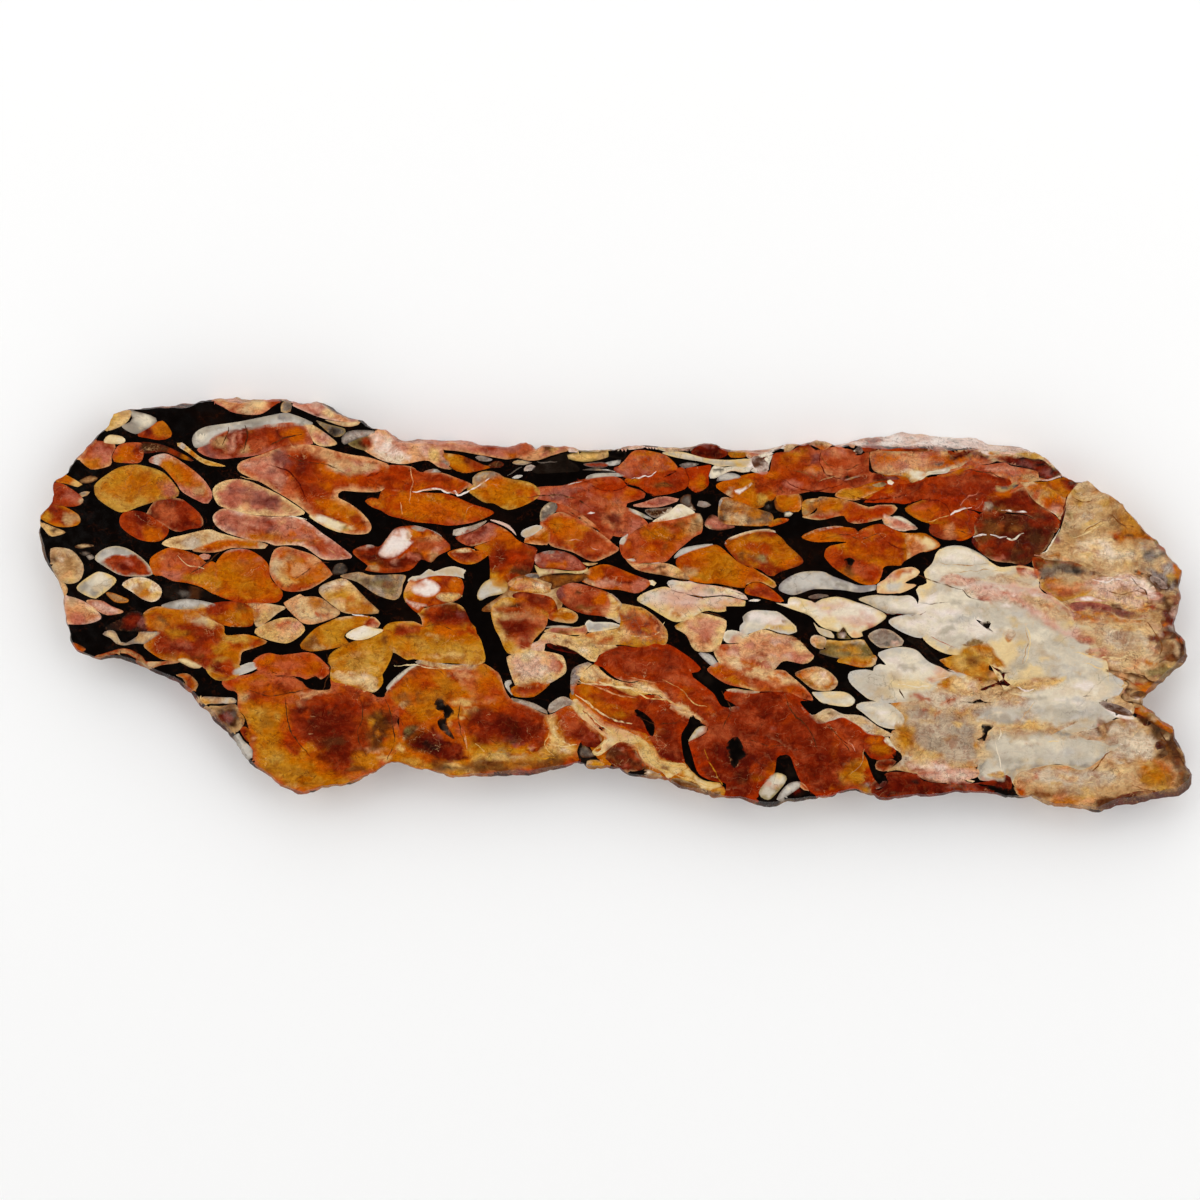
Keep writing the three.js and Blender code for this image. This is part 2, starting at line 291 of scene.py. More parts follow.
# One patch of stone to a record, in the order in which they are laid down, in tenths of a mm:
# - its colour inside and its colour at the edge (one name alone is both), then at most one word:
#   crumb is gritty stone, wash only recolours the stone below it and not the dark ground, and
#   fill only takes the place of dark ground;
# - its outline: the first point, and then the step to each next one;
# - softer clouds in it: a colour, a place counted from the first point, and the half width, or
#   the half width and the half height.
PATCHES = """
straw cream|-1024 349,15 34,31 2,6 -10,-11 -18,-31 -14|tan 35 29 12
bone ash|-973 382,41 -9,12 -11,-20 -16,-24 -10,-27 15,17 9,5 8|ash 3 -36 15,ivory 28 -16 14
brick rust|-959 335,42 26,14 -3,13 -21,-8 -10,-18 -3,-24 4|amber 52 11 19,maroon 21 1 12
cream tan|-1016 334,26 -3,7 -9,-11 -6,-32 3
terracotta peach|-1080 294,22 24,14 5,40 -8,-7 -23,-2 -18,-31 -9,-16 5|brick 48 15 18,
 rose 46 -1 17,amber 28 -14 16,peach 10 6 10
rust terracotta|-1000 310,16 8,32 0,6 -12,-7 -26,-31 -2,-22 3,-4 9|orange 18 -10 16,amber 4 -24 10
umber maroon|-953 319,41 -4,42 -18,23 -14,-17 1,-42 16,-43 -2|amber 87 -29 12,rust 67 -20 12
gold straw|-880 318,10 1,20 -16,22 -16,45 -15,-33 1,-20 9,-22 16,-21 14|pearl 5 -3 8,
 amber 32 -24 10
rust pink|-936 280,5 10,25 7,20 -7,26 -17,24 -19,17 -19,10 -20,-5 -13,-12 -5,-42 22,-12 17,-18 22,
 -16 14|pearl 11 6 13,pearl 23 13 8,amber 44 -8 21,orange 70 -26 23,rose 104 -60 26
orange ochre|-1046 226,6 14,35 25,25 8,26 1,45 -14,29 -31,4 -12,-8 -9,-26 -4,-26 -7,-24 -8,-24 -9,
 -20 3,-34 23|ochre 26 -2 28,gold 50 22 20,gold 122 10 15,ochre 92 -18 22,ochre 50 -26 22,
 rose 150 -2 16
tan umber|-1077 241,23 12,16 -5,-10 -8,-16 -3
orange amber|-1124 242,5 14,10 2,40 -23,-9 -5,-22 6|straw 44 -6 9
brick rust|-1133 200,7 36,20 -1,34 -23,4 -12,-12 -8,-24 -1|rose 39 14 14,rust 29 -2 14,sand 59 3 8
ash tan|-1076 216,10 5,12 -1,-6 -7,-10 -3
rust amber|-1160 173,14 15,16 7,20 -2,34 -20,-3 -19,-41 -3|gold 22 -8 13,tan 70 -13 16,
 brick 40 9 16
straw tan|-1153 159,29 -10,21 -10,-27 -8,-12 9|umber 27 -13 7
brick rust|-988 178,36 3,38 -22,18 -15,-18 -22,-42 3,-37 27|orange 54 -46 24,maroon 28 -12 20,
 rust 8 -28 14
maroon brick|-942 175,22 30,44 2,22 -13,20 -18,7 -16,-6 -11,-21 -3,-28 -5,-40 20,-16 7|
 terracotta 40 3 23,brick 76 11 15,rust 102 -13 15
peach rose|-806 404,20 -15,22 -11,48 -3,30 18,14 13,-58 6|brick 36 -10 15 5,cream 82 -6 16,
 sand 62 -22 20,rust 120 -5 10
ash tan|-672 381,2 17,8 8,10 -2,-1 -23|slate 18 15 8
rose blush|-650 394,12 9,42 3,20 -16,20 -10,42 -19,-26 -1,-34 4,-28 8,-24 10|peach 100 -25 18,
 cream 74 -18 14,maroon 54 -22 12 4,blush 50 2 14
cream peach|-584 364,34 -4,38 2,-10 -9,-24 -2
pearl ash|-850 326,8 14,18 10,28 5,36 5,36 7,34 7,22 4,18 -2,42 -18,-22 -6,-50 -2,-50 -6,-50 -14,
 -46 -18,-18 -3|ash 110 35 20,steel 186 44 20 6,ivory 16 12 12
brick rose|-840 304,12 11,22 12,40 19,36 4,40 5,40 3,24 -3,10 -17,8 -21,-22 -2,-34 -1,-32 -11,
 -28 -10,-34 -4,-34 -3,-28 5|plum 30 4 18,peach 60 4 9 16,maroon 72 30 15,terracotta 90 8 17,
 amber 104 10 10 22,brick 130 32 16,rust 164 32 20,orange 196 32 24
rust peach|-760 269,7 11,23 9,26 8,28 11,32 7,36 -1,52 -14,28 -6,28 -4,26 -8,18 -9,2 -27,-12 -20,
 -14 -6,-36 0,-34 2,-8 -12,22 -12,24 -18,16 -18,5 -13,-7 -11,-20 -3,-28 3,-28 9,-22 10,-16 15,
 -24 20,-24 16,-24 14,-26 16,-26 12,-18 9|terracotta 26 2 22,plum 90 17 24,rose 58 -9 24,
 pink 86 -27 18,brick 134 5 18 36,brick 140 -45 22 20,orange 174 -13 28 26,terracotta 106 -43 18,
 peach 180 23 26 12,sand 204 7 24 12,pink 256 4 26 12,red 270 -23 34 14,orange 194 -77 24 16,
 rust 154 -79 20,maroon 242 -112 16 8,amber 228 -93 18 10
peach cream|-630 355,16 2,36 -23,18 -18,-28 -5,-18 8,-10 17|cream 16 -7 12,blush 48 -32 14
slate olive|-602 363,22 -7,36 -10,-4 -12,-16 -4,-18 13|soot 44 -27 10
steel slate|-551 328,9 11,22 5,36 -2,-8 -8,-22 -6,-32 -13
umber olive|-538 317,38 15,12 -8,-2 -14,-16 -7|brick 40 2 11,moss 10 -1 9
blush peach|-498 332,12 10,20 2,40 -18,26 -4,30 -2,20 -10,4 -12,9 -10,3 -14,-10 -6,-14 2,-12 9,
 -16 4,-38 -7,-26 2,-24 7,-32 19,12 10|ivory 42 -32 30,rose 6 -16 10,peach 92 -34 20,pink 68 -16 16,
 straw 132 -38 10 14,ash 150 -54 10 9
rose cream|-809 219,5 13,18 10,26 4,24 -4,26 -11,30 -14,26 -16,30 -22,-20 -7,-40 0,-40 2,-30 6,
 -30 8,-16 9|rose 35 1 24,peach 69 -9 11 30,plum 119 -21 24 15,pink 93 1 16,tan 149 -27 18 10,
 cream 11 11 11
terracotta blush|-809 170,9 11,14 6,24 -4,28 -8,34 -4,36 0,30 -2,24 -15,20 -16,26 -18,34 -28,
 -12 -6,-28 -2,-22 3,-32 22,-26 5,-34 -1,-16 6,-24 3,-32 8,-28 10,-19 14|rose 31 0 20,
 plum 47 -18 14,maroon 111 -20 13 20,peach 79 -6 10 8,orange 83 -34 16,gold 155 -52 26 5,
 pink 147 -14 22,terracotta 183 -36 24,plum 193 -50 9,rose 245 -66 18
cream straw|-616 172,16 6,44 -15,40 -15,-32 -9,-24 6,-24 12|ivory 26 -7 12,gold 74 -25 15 6,
 moss 68 -21 8 4
maroon soot|-980 -22,16 5,18 -7,12 -16,16 -18,-32 -1,-40 1,-34 4,14 12,20 10|soot -20 -26 16,
 plum 30 -22 9 14
rust amber|-950 -26,18 14,22 3,30 -5,34 0,26 3,16 -27,18 -10,4 -18,42 1,40 -14,-26 -13,-24 -9,
 -4 -21,-12 -12,-24 -12,-30 10,-16 10,-30 6,-28 2,-22 6,-30 22,6 10,22 18,-18 8,-10 12|
 amber 60 -4 30 16,sand 116 -6 24 8,straw 144 -12 14,brick 130 -40 30 18,gold 66 -38 22 10,
 tan 38 -20 14,brick 44 -60 24,maroon 110 -70 30,gold 154 -66 24 10,ochre 190 -48 26 8,
 amber 174 -94 20,brick 134 -100 20,pink 86 -60 20 4
terracotta orange|-934 86,30 20,22 2,46 -16,14 -13,18 0,10 -39,-8 -25,-28 14,-30 9,-28 4,-22 10,
 -18 4|brick 70 -10 26,rose 48 -26 20,gold 94 -38 26 10,amber 124 -50 18,orange 14 -16 14
blush rose|-838 91,12 6,14 -4,-4 -7,-14 -1
soot black|-910 36,20 4,30 -5,30 -9,24 -14,-14 -6,-40 1,-40 -4|slate 40 -18 14 7,umber 64 -16 16
pearl ash|-912 -7,38 12,30 0,42 -10,-18 -8,-36 -2,-34 -1|ash 12 -1 10,tan 72 -2 20 5
sand ash|-1029 -64,13 8,12 -3,12 -21,10 -2,23 14,3 8,44 0,-22 -18,-12 -6,-18 1,-22 -4,-16 4,-10 10|
 tan 77 -6 9
rust umber|-1094 -78,30 -14,0 -8,-12 1,-12 7
tan rust|-1050 -112,24 9,42 10,34 -15,8 -12,22 -1,24 1,-24 -8,-30 -1,-10 13,-20 12,-20 0,-46 -14
cream tan|-880 -115,20 3,30 -17,-16 -4,-18 7
tan sand|-1134 100,8 9,36 -6,23 -31,-9 -30,-32 -3,-22 33|umber 12 -14 10,ivory 36 -4 10,
 brown 46 -17 10,straw 34 -40 20,black 28 -8 6
peach tan|-1126 54,24 -20,3 -14,-7 -11,-8 -3
peach blush|-1112 8,14 4,38 -14,29 -28,-29 -14,-42 2,-6 22|rose 34 -42 18 10,sand 28 -6 14,
 cream 62 -34 10
bone straw|-1081 28,31 27,20 5,29 -17,-33 -31,-16 -4|ash 15 0 14,ash 35 -10 11,ivory 51 18 12
pearl ash|-1044 85,6 13,16 10,20 4,22 -5,22 -13,18 -16,12 -18,-8 -8,-28 -1,-30 3,-26 14|
 steel 10 7 10
brick rust|-1034 80,30 16,20 -2,18 3,14 -8,23 -32,-41 -6,-28 5|rust 84 -14 12,maroon 44 -10 20 8,
 rose 60 4 12 4
straw ivory|-990 34,14 12,20 4,20 -4,20 -13,6 -13,-6 -14,-14 -6,-20 6,-20 14|amber 42 -16 15,
 ivory 16 4 10,ivory 68 -12 10,tan 30 -5 10
blush rose|-1062 2,30 1,20 -11,25 -11,-17 -6,-24 1
tan amber|-1023 18,15 0,32 -14,-10 -6,-20 3
sand umber|-1085 111,13 5,16 0,10 -4,-28 -5
slate soot|-1076 98,14 4,10 -5,-12 -6
ash slate|-1062 92,12 3,6 -6,-12 -5
tan cream|-910 116,14 11,28 7,50 11,24 -7,30 -8,18 -6,-18 -4,-30 3,-26 -10,-30 -8,-34 2|
 bone 54 4 20,sand 106 14 16
orange peach|-850 104,24 12,26 8,30 4,30 -2,26 -6,16 -6,-6 -7,-32 0,-34 1,-30 -8,-30 -1|
 brick 36 4 10 6,amber 110 12 24 6,sand 142 7 8
orange rust|-800 82,24 22,40 0,36 -25,8 -33,23 -26,-7 -18,-24 -5,-34 0,-30 4,-42 17,-4 32|
 amber 6 -18 20,pearl 34 22 24 5,orange 26 6 20,terracotta 60 -18 24,rust 84 -32 20,
 brick 64 -64 24 12,amber 122 -66 10,rose 82 4 12 8,gold 0 -46 16
orange terracotta|-690 96,10 12,16 3,20 -5,40 -14,30 -28,5 -9,-37 -25,-24 -8,-26 -1,-20 8,-19 31|
 sand 14 -30 18 24,straw 26 -50 20,rose 44 -4 18 10,pink 70 -28 15,plum 40 -5 7,orange 94 -48 20,
 rust 46 -68 26 8,peach 80 -10 14
rust brick|-838 -20,18 14,26 6,30 1,22 -5,14 -14,-1 -28,-25 -4,-30 3,-44 17|brick 44 6 18,
 brown 90 -6 18,orange 68 -18 20 7,umber 82 -26 16 5
tan sand crumb|-744 -2,28 1,30 -4,24 -6,-16 -11,-28 -22,-16 -5,-10 33|peach 34 -8 16,
 straw 40 -28 14,amber 10 -6 10
peach straw crumb|-723 -54,35 17,24 6,22 -3,18 -22,-28 -24,-26 -1,-40 13|pink 84 -2 12,
 terracotta 61 14 13 6,straw 27 -6 20,tan 57 -14 12 6
sand peach crumb|-667 -2,33 18,8 -5,22 0,18 -6,16 -13,16 -11,-8 -11,-42 -14,-22 1,-13 9,-23 23|
 peach 17 0 15,cream 47 -12 20,rust 79 -24 15 6,tan 87 -8 16,amber 67 0 14
straw tan|-597 24,9 11,36 12,18 -7,32 -33,26 -25,-10 -6,-28 0,-30 2,-18 10,-28 23|ivory 37 13 22 8,
 bone 17 5 13,amber 95 -34 19,gold 45 -10 18 8,amber 67 -32 12,sand 31 -20 12,orange 85 -20 10
amber gold|-578 -116,10 17,42 21,26 3,38 17,12 -10,2 -26,-5 -22,-21 -34,-26 -6,-30 8,-42 20|
 gold 92 20 28,amber 48 18 24
gold amber|-634 -86,28 31,24 13,26 11,30 3,32 -1,-12 -17,-28 -10,-12 -14,10 -12,-18 -8,-44 -8,
 -24 1|amber 34 16 20,gold 70 26 22,brown 20 2 16,sand 100 53 16 5,amber 118 48 14,tan 40 -6 20 5
ivory cream|-543 -68,11 11,30 11,14 -6,21 -4,-17 -11,-20 -8,-22 -1
rust peach|-511 -44,21 15,17 -14,-5 -8,-18 0|pink 29 -2 8
ash tan crumb|-554 52,38 8,20 -6,28 0,28 1,18 -3,-6 -16,-4 -20,-12 -12,-36 10,-40 26|sand 28 -2 14,
 slate 84 -16 20,tan 104 -36 16
slate soot|-570 56,6 18,16 4,10 -12,-8 -10
rose peach|-380 324,40 -2,40 -2,40 -4,40 0,30 6,24 -8,26 2,40 -2,14 -8,-24 -7,-24 -7,-22 -8,-24 -1,
 -20 5,-20 -3,-30 5,-30 5,-34 6,-30 3,-26 0|brick 120 -16 24 5,pink 70 -12 26 8,orange 174 -26 16 8,
 peach 210 -24 20,terracotta 194 -14 14,brown 246 -14 10,straw 254 -16 8,umber 230 -15 10 5
straw cream|-376 304,22 -4,-8 -20,-12 2,-6 10
rose tan|-364 282,10 2,24 -18,-14 0,-12 4
amber orange|-352 298,30 -3,14 -3,42 -18,13 -5,-45 -11,-16 2,-14 6,-18 20|brick 72 -25 16,
 maroon 56 -16 10,straw 12 -4 12 4
ash steel|-284 289,12 4,23 -8,-11 -4,-16 2
umber maroon|-260 270,12 10,12 2,10 -6,-8 -7
sand ash|-210 278,12 6,28 -5,-16 -5,-16 1
steel pearl|-186 262,4 10,10 3,10 -5,-4 -6
soot|-156 276,26 13,32 9,2 -14,16 -10,4 -12,-34 -3,-50 -2,-10 7
orange rust|-504 202,14 -12,18 -7,16 -10,24 -6,28 -7,34 -3,34 -4,32 3,28 7,30 15,-18 10,-26 8,
 -46 19,-32 3,-32 2,-30 6,-34 0,-10 -10,-3 -10,-13 3|red 60 2 22,orange 124 -16 40 20,
 amber 144 2 30 10,rust 230 -26 18 10,terracotta 194 -38 24 7
rust red|-480 256,20 17,48 -2,18 -11,40 -1,26 -8,39 -17,-17 -9,-14 -10,-34 9,-30 -2,-36 -2,-40 4,
 -20 10|red 40 -6 30,brick 120 -14 26 10,terracotta 94 -4 20 6,orange 80 -26 16
pearl ash|-389 258,13 7,16 1,8 -6,-16 -2
amber ochre|-300 224,11 10,0 14,13 11,22 3,20 -6,10 -7,46 -9,18 -10,7 -12,-9 -12,-22 -12,-26 -9,
 -16 1,-20 11,-22 3|ash 22 28 16 8,sand 50 32 20 5,orange 54 6 26,gold 90 -4 24,amber 110 -20 20,
 rust 134 -8 10,tan 24 18 12
pearl|-210 248,10 6,12 -1,-10 -6
orange rust|-529 100,31 15,20 -5,12 10,21 26,23 6,24 -1,37 -13,27 -24,1 -9,-24 -12,-15 -14,-20 6,
 -22 -21,-46 -6,-44 6,6 8|maroon 43 -6 30 14,brick 89 -24 30,rust 115 -6 20,orange 145 12 20,
 peach 165 28 18 10,rose 181 12 14,tan 169 -8 16,pearl 29 12 20 4,tan 43 -35 14 5,pink 87 -20 7
white pink|-479 96,13 24,26 27,32 0,0 -10,-12 0,2 -10,12 -4,8 4,4 -10,-11 2,-22 -20,-18 -11,-19 -2|
 pink 49 40 18,blush 23 -6 12 6
ash|-412 152,18 -1,34 -12,10 -9,-16 6,-40 7
brick orange|-339 98,29 10,16 0,12 -6,10 2,16 -8,-28 -19,-30 1|orange 67 -2 14,gold 57 -18 16 4
cream straw|-336 99,27 9,17 -1,9 -6,-31 -4
bone straw|-246 48,-22 -11,-12 -23,6 -11,18 8,30 7,8 12,-6 14|gold 12 -14 14,pearl -24 -30 12
orange brick|-286 109,32 13,28 18,12 -1,18 -17,34 -14,0 -12,-12 -37,-30 -9,-24 -18,-24 6,-2 26,
 -5 32|brick 54 -17 30 24,brick 96 -25 24,maroon 108 -37 14,red 72 -19 24,amber 38 -49 10,
 gold 38 -63 12,rust 66 21 16,orange 76 7 20,amber 20 -1 14,umber 90 -49 20 7
rose brick|-323 129,33 11,26 15,14 3,34 -18,-14 -8,-34 -13,-32 -7|terracotta 7 -4 12,
 plum 45 5 22 10,orange 93 10 14 7
ash bone|-329 134,2 10,37 9,30 10,-22 -18,-38 -13|pearl 13 7 12
bone blush|-254 164,18 -2,22 -10,13 -19,-19 16
amber peach|-184 128,16 6,22 15,12 -1,-2 -29,-12 -5,-38 5
bone pearl|-192 134,4 10,26 10,13 -5,-19 -16,-14 -5
orange rust|-427 10,9 29,12 8,42 6,45 -3,10 -8,3 -10,-8 -24,-30 -11,-40 -7,-10 -12,-14 6|
 brick 83 30 26 10,orange 105 20 12,gold 11 8 14,brick 67 -6 30 5,peach 13 20 10
bone pearl|-419 42,9 9,16 2,18 13,10 -5,24 8,18 2,22 -8,-5 -8,1 -8,-14 4,-46 1,-40 -12
white pink|-414 29,26 19,16 -1,21 -19,-19 -18,-32 3|pink 14 9 14
straw tan crumb|-350 20,36 -2,5 -6,-27 -14,-28 11|cream 0 -8 10
blush straw|-426 14,10 -10,36 -8,4 -5,-16 -2,-6 -7,-25 18
amber gold|-464 -48,18 8,40 1,16 -7,-3 16,-5 12,46 15,22 2,16 -5,10 -10,11 -24,10 -11,3 -13,8 -12,
 9 -36,-5 -10,-16 -4,-26 2,-30 2,-30 0,-36 8,-14 -2,-24 14,-16 4,-14 12,2 22|brick 38 -8 24 12,
 maroon 118 30 44 18,maroon 152 24 18 16,brick 124 12 44 12,orange 134 -2 44 12,rust 166 -12 16,
 orange 80 10 12,ochre 138 -48 26 12,orange 54 -42 16,ochre 176 -60 16,rust 182 -22 9,
 straw 90 -14 16 4,tan 15 -47 9,brown 60 -18 20 4
straw gold|-252 -24,3 15,25 18,44 -7,40 -20,2 -14,-6 -20,-22 -24,-10 -22,-18 -4,-25 0,-17 34,-8 14|
 cream 5 8 9,brown 32 16 24 10,brown 56 18 14,terracotta 92 -10 24,maroon 38 -22 28 14,
 brick 66 -26 16,peach 62 0 22 6,rose 72 -46 24,brick 74 -58 14,gold 38 -64 16,straw 26 -46 12,
 orange 48 -42 14
brick maroon|-210 12,12 8,28 -2,40 -10,12 -28,-8 -12,-30 14,-38 19|orange 74 -22 12,
 terracotta 56 -6 12,rust 82 -36 8
amber tan|-140 -26,30 15,31 -14,-8 -17,-43 5|rust 10 -2 10,straw 34 12 14 3
straw amber crumb|-216 24,10 12,6 11,22 0,22 -6,24 -17,-12 -7,-46 3|rust 20 2 16 5,cream 70 6 12 6,
 pink 20 21 8 4
slate steel|-184 53,12 4,14 -2,4 -5,-12 -2
rose brick|-166 90,10 8,36 5,34 -11,25 -25,-15 -5,-44 4,-36 3|brick 36 -4 24 8,plum 40 3 20 6,
 orange 52 -17 26 6,blush 4 -8 5 9
ash steel|-154 98,18 5,22 -1,12 -4,-38 -3
brown umber|-160 47,14 6,26 2,30 0,26 2,14 -9,-20 -6,-26 -5,-38 -13,4 12
cream straw|-165 74,11 -7,24 -1,32 -4,30 2,9 5,1 -7,-18 -6,-24 2,-48 -3,-7 -6|rose 35 -13 24 2
straw cream crumb|-158 -78,12 16,16 1,30 -5,20 -3,16 5,20 -20,40 -2,6 -4,-38 -16,-4 -12,-14 0,
 -30 19,-40 15,-20 0,-2 -14,-32 2,4 12|blush 0 -8 16 12,ochre 78 -2 20,tan 38 4 16,pink 20 12 12,
 moss 104 -8 12 4
rose tan|-124 -50,24 0,24 0,13 4,1 -18,-44 -1,-40 6|terracotta 38 -10 20 5,brown 14 -7 20 4
bone ash|-144 -51,18 4,22 0,19 -4,-15 -2
black maroon|-139 -84,33 -4,31 -14,-19 0,-38 9
sand bone crumb|-70 302,30 4,30 3,30 3,30 4,30 -1,30 -2,30 4,18 -2,-4 -9,-24 -4,-30 -2,-16 5,-24 5,
 -26 -2,-24 -4,-30 -3,-24 -2|brown 44 1 8,brown 196 3 12 5,tan 160 4 10
straw moss|-100 294,20 5,24 0,22 3,19 -2,-3 -10,-42 -10,-37 6|tan 70 0 10
black soot|-17 291,11 9,24 0,1 -8,-5 -6
pearl slate|-24 278,18 5,14 1,-2 -8,-20 -4
brick slate|-68 276,38 4,14 -6,-14 -6,-24 2|brick 24 0 14 4
rose terracotta|-176 218,18 12,48 3,40 12,44 7,26 -2,14 -8,6 -10,26 -8,11 -8,-3 -8,-34 -11,-2 -7,
 12 -6,32 -27,-22 -11,-16 -12,-18 -4,-32 9,-24 21,-40 27,-40 13,-38 8|red 168 16 40 16,
 red 210 -2 24 14,rust 116 22 20 8,brick 136 -50 30,brick 170 -68 30 16,brick 96 -14 20,
 rust 146 -4 34 14,amber 166 -34 16 5,terracotta 202 -52 20,rose 220 -60 16,plum 50 -2 20 8,
 maroon 140 -26 24 4
bone pearl|-65 243,5 9,16 5,24 1,24 0,12 -6,-32 -2,-24 -2|ash 9 5 7
tan slate|-70 264,20 3,24 -1,22 -4,6 -2,-48 3
orange terracotta crumb|2 270,12 12,16 18,20 4,38 -7,16 -8,17 -19,-9 -7,-32 -3,-44 6,-22 -2|
 orange 104 4 14,terracotta 22 4 18,amber 58 26 24 8,red 94 -4 12
rose brick|-7 264,9 8,18 2,26 -4,34 -9,-14 -9,-42 -6|brick 43 -8 14 6
red rust|22 236,-6 10,44 6,20 8,40 8,15 -1,9 -23,-4 -14,-14 -8,-40 -10,-20 2,-22 16|
 amber 12 4 16 8,rust 58 10 20,brick 94 18 16,brown 72 0 20 4
orange red|136 266,34 6,18 1,-5 -21,-1 -20,-24 -13,-18 15,4 12|red 32 -4 24 12,red 12 -12 12,
 amber 30 -34 12,terracotta 20 -44 14 4
steel slate|124 274,16 5,24 -3,-16 -7,-18 -1
bone straw|90 298,20 3,26 -2,40 -11,44 -4,44 2,4 -12,-18 -5,-22 3,-20 -1,-20 5,-28 6,-26 4,-24 5|
 tan 36 -1 14 4,ochre 150 -20 16 7
maroon maroon|148 300,16 12,42 2,16 -18,-28 -11,-36 8|plum 28 13 16 3,brick 68 2 6
gold orange|221 296,25 11,13 -6,-3 -11,-28 -1|tan 29 10 9 4
peach bone crumb|256 294,6 12,14 3,12 -7,-2 -14,-16 -4|rose 14 2 9
ivory pearl crumb|184 252,10 21,20 -4,20 3,22 -2,12 -8,-18 -3,-22 3,-34 -15|pink 56 13 12 4,
 black 26 17 14 2
pearl steel|199 242,3 10,14 6,20 -1,12 -7,-16 -5
amber orange|198 234,42 16,40 8,36 -10,4 -22,-6 -20,-32 -19,-32 12,-30 15|rust 92 2 20,
 brick 82 -12 10,orange 18 2 18 8,sand 22 -16 10 4,rust 72 18 16 5,ochre 90 -28 16
white ivory|229 223,25 7,14 10,4 -4,-32 -25,-4 7
tan amber crumb|209 208,35 -5,36 -16,30 -11,0 -18,-20 -6,-46 1,-35 5,-7 16|amber 31 -30 20,
 brown 11 -22 12,sand 37 -42 16,moss 71 -34 16,umber 3 -38 10
ivory steel|205 190,-1 12,6 7,10 0,-8 -5
rose umber crumb|175 154,15 21,28 -17,18 -8,-36 -7|pink 15 11 9 6,sand 9 -5 8
steel ash|160 193,3 9,17 -2,8 -6,-12 -5
slate umber|126 200,8 14,14 0,0 -14,10 -18
rose pink|32 194,22 6,36 11,34 -5,-4 -5,-36 -11,-42 0|brick 32 4 16 4,pink 78 13 10 4
umber ash|56 184,38 4,16 2,-4 -10,-30 -12
pearl slate|16 189,18 -4,32 -15,6 -5,-18 3,-32 14
cream ivory|71 161,31 18,20 16,14 -2,20 -14,-14 -7,-42 -9
orange terracotta|5 114,11 16,20 14,18 6,16 10,44 6,42 12,14 -8,0 -30,-16 -10,-36 -30,-24 -21,
 -40 -1,-18 -4,-24 16|terracotta 31 12 26,rust 25 -10 20,orange 81 20 26,terracotta 55 -18 30 14,
 amber 115 30 30 12,tan 143 40 20 16,brick 51 32 12,rust 81 -8 20,peach 91 36 30 4,sand 155 54 12
bone pearl|5 116,3 11,14 10,-1 -11,-8 -13
brown tan|134 158,16 -4,16 0,4 -10,-10 -5
rust terracotta|-154 159,34 20,20 -3,40 -21,30 -20,26 -21,7 -11,-39 -20,-20 0,-34 17,-44 14,-8 28|
 rust 34 -9 24,terracotta 74 -19 26,rose 74 -39 34 7,brick 98 -55 24,terracotta 124 -39 16,
 brick 40 -43 20,maroon 108 -69 20 4,orange 58 1 16 8
straw tan|-70 79,16 -1,16 0,-12 -5,-12 0
rust orange|-66 58,12 10,34 7,48 -18,34 -13,7 -6,-27 -20,-36 6,-36 3,-40 14,10 8|brick 46 8 24 7,
 orange 30 0 14,rust 80 -4 24 8,pink 46 -18 26 8,terracotta 80 -24 30 8,rose 112 -26 18,tan 10 4 9,
 sand 14 -16 14 6,maroon 90 -13 30 3
ivory cream|63 43,8 1,8 -6,-5 -6,-8 3
terracotta brick|-122 18,26 20,40 -6,38 -13,22 -19,-10 -14,-4 -16,-30 3,-26 3,-34 14|
 brick 62 -14 30 16,brown 72 -32 20 6,plum 12 -2 10,pink 36 12 26 6,orange 90 -8 14,
 terracotta 42 2 20,rust 88 -38 12,umber 46 -2 6
straw bone|-24 18,14 -2,20 -20,-4 -14,0 -24,-16 8,-14 4,10 26|cream 8 -28 10 14,gold 20 -22 7
amber gold crumb|-4 -14,9 11,35 -6,16 -5,28 -22,17 -24,-4 -25,-21 2,-20 -7,-20 0,-26 4,-54 1,-16 5,
 -3 14,15 6,44 6,10 8,-2 16|brick 80 -36 18 28,rust 34 -18 24 14,ochre 44 -50 22,straw 24 -2 18 8,
 moss 52 -54 12,rust -20 -54 34 9,orange 10 -46 20 6,amber 88 -62 12,straw -12 -66 30 5,
 tan 101 -46 4 20
pearl ivory|-64 -44,8 8,8 -4,38 -1,16 -9,-52 -10,-14 2
peach tan crumb|16 88,24 -9,20 -2,36 1,28 -11,22 -21,-22 1,-24 5,-24 4,-26 5,-18 8|
 terracotta 44 -18 24 6,umber 70 -16 12 5,cream 98 -24 12,straw 108 -34 10,brown 82 -30 8
cream pearl|20 85,14 2,4 -5,-12 -1
pearl blush|66 77,14 3,12 0,-8 -4
amber orange|118 84,32 20,40 10,16 -3,24 -21,16 -12,34 -18,26 -18,-46 -4,-4 -9,-16 0,-42 8,-22 0,
 -36 8,-12 11|gold 86 -8 44 24,rust 22 -4 22 14,tan 26 -26 16 8,gold 76 -40 18 8,orange 52 10 20,
 orange 146 -32 20
pearl ash|114 87,7 13,15 9,42 7,15 -2,-43 -13
cream blush crumb|100 38,10 6,22 -3,14 1,14 -5,40 -5,40 -9,18 -11,4 -7,-18 2,-20 6,-24 0,-24 -2,
 -26 3,-36 8|pearl 6 -2 12,pink 66 -12 20 5,slate 86 -20 12 5,peach 110 -12 12 4
cream straw crumb|40 4,14 14,36 12,18 -3,38 -14,24 -5,44 3,43 -9,-1 -10,-38 -1,0 -9,-18 -2,-24 2,
 -36 -18,-20 -4,-18 6,-36 22|pearl 36 12 26 14,peach 80 -6 18,amber 78 -36 16 6,orange 168 -16 14 6,
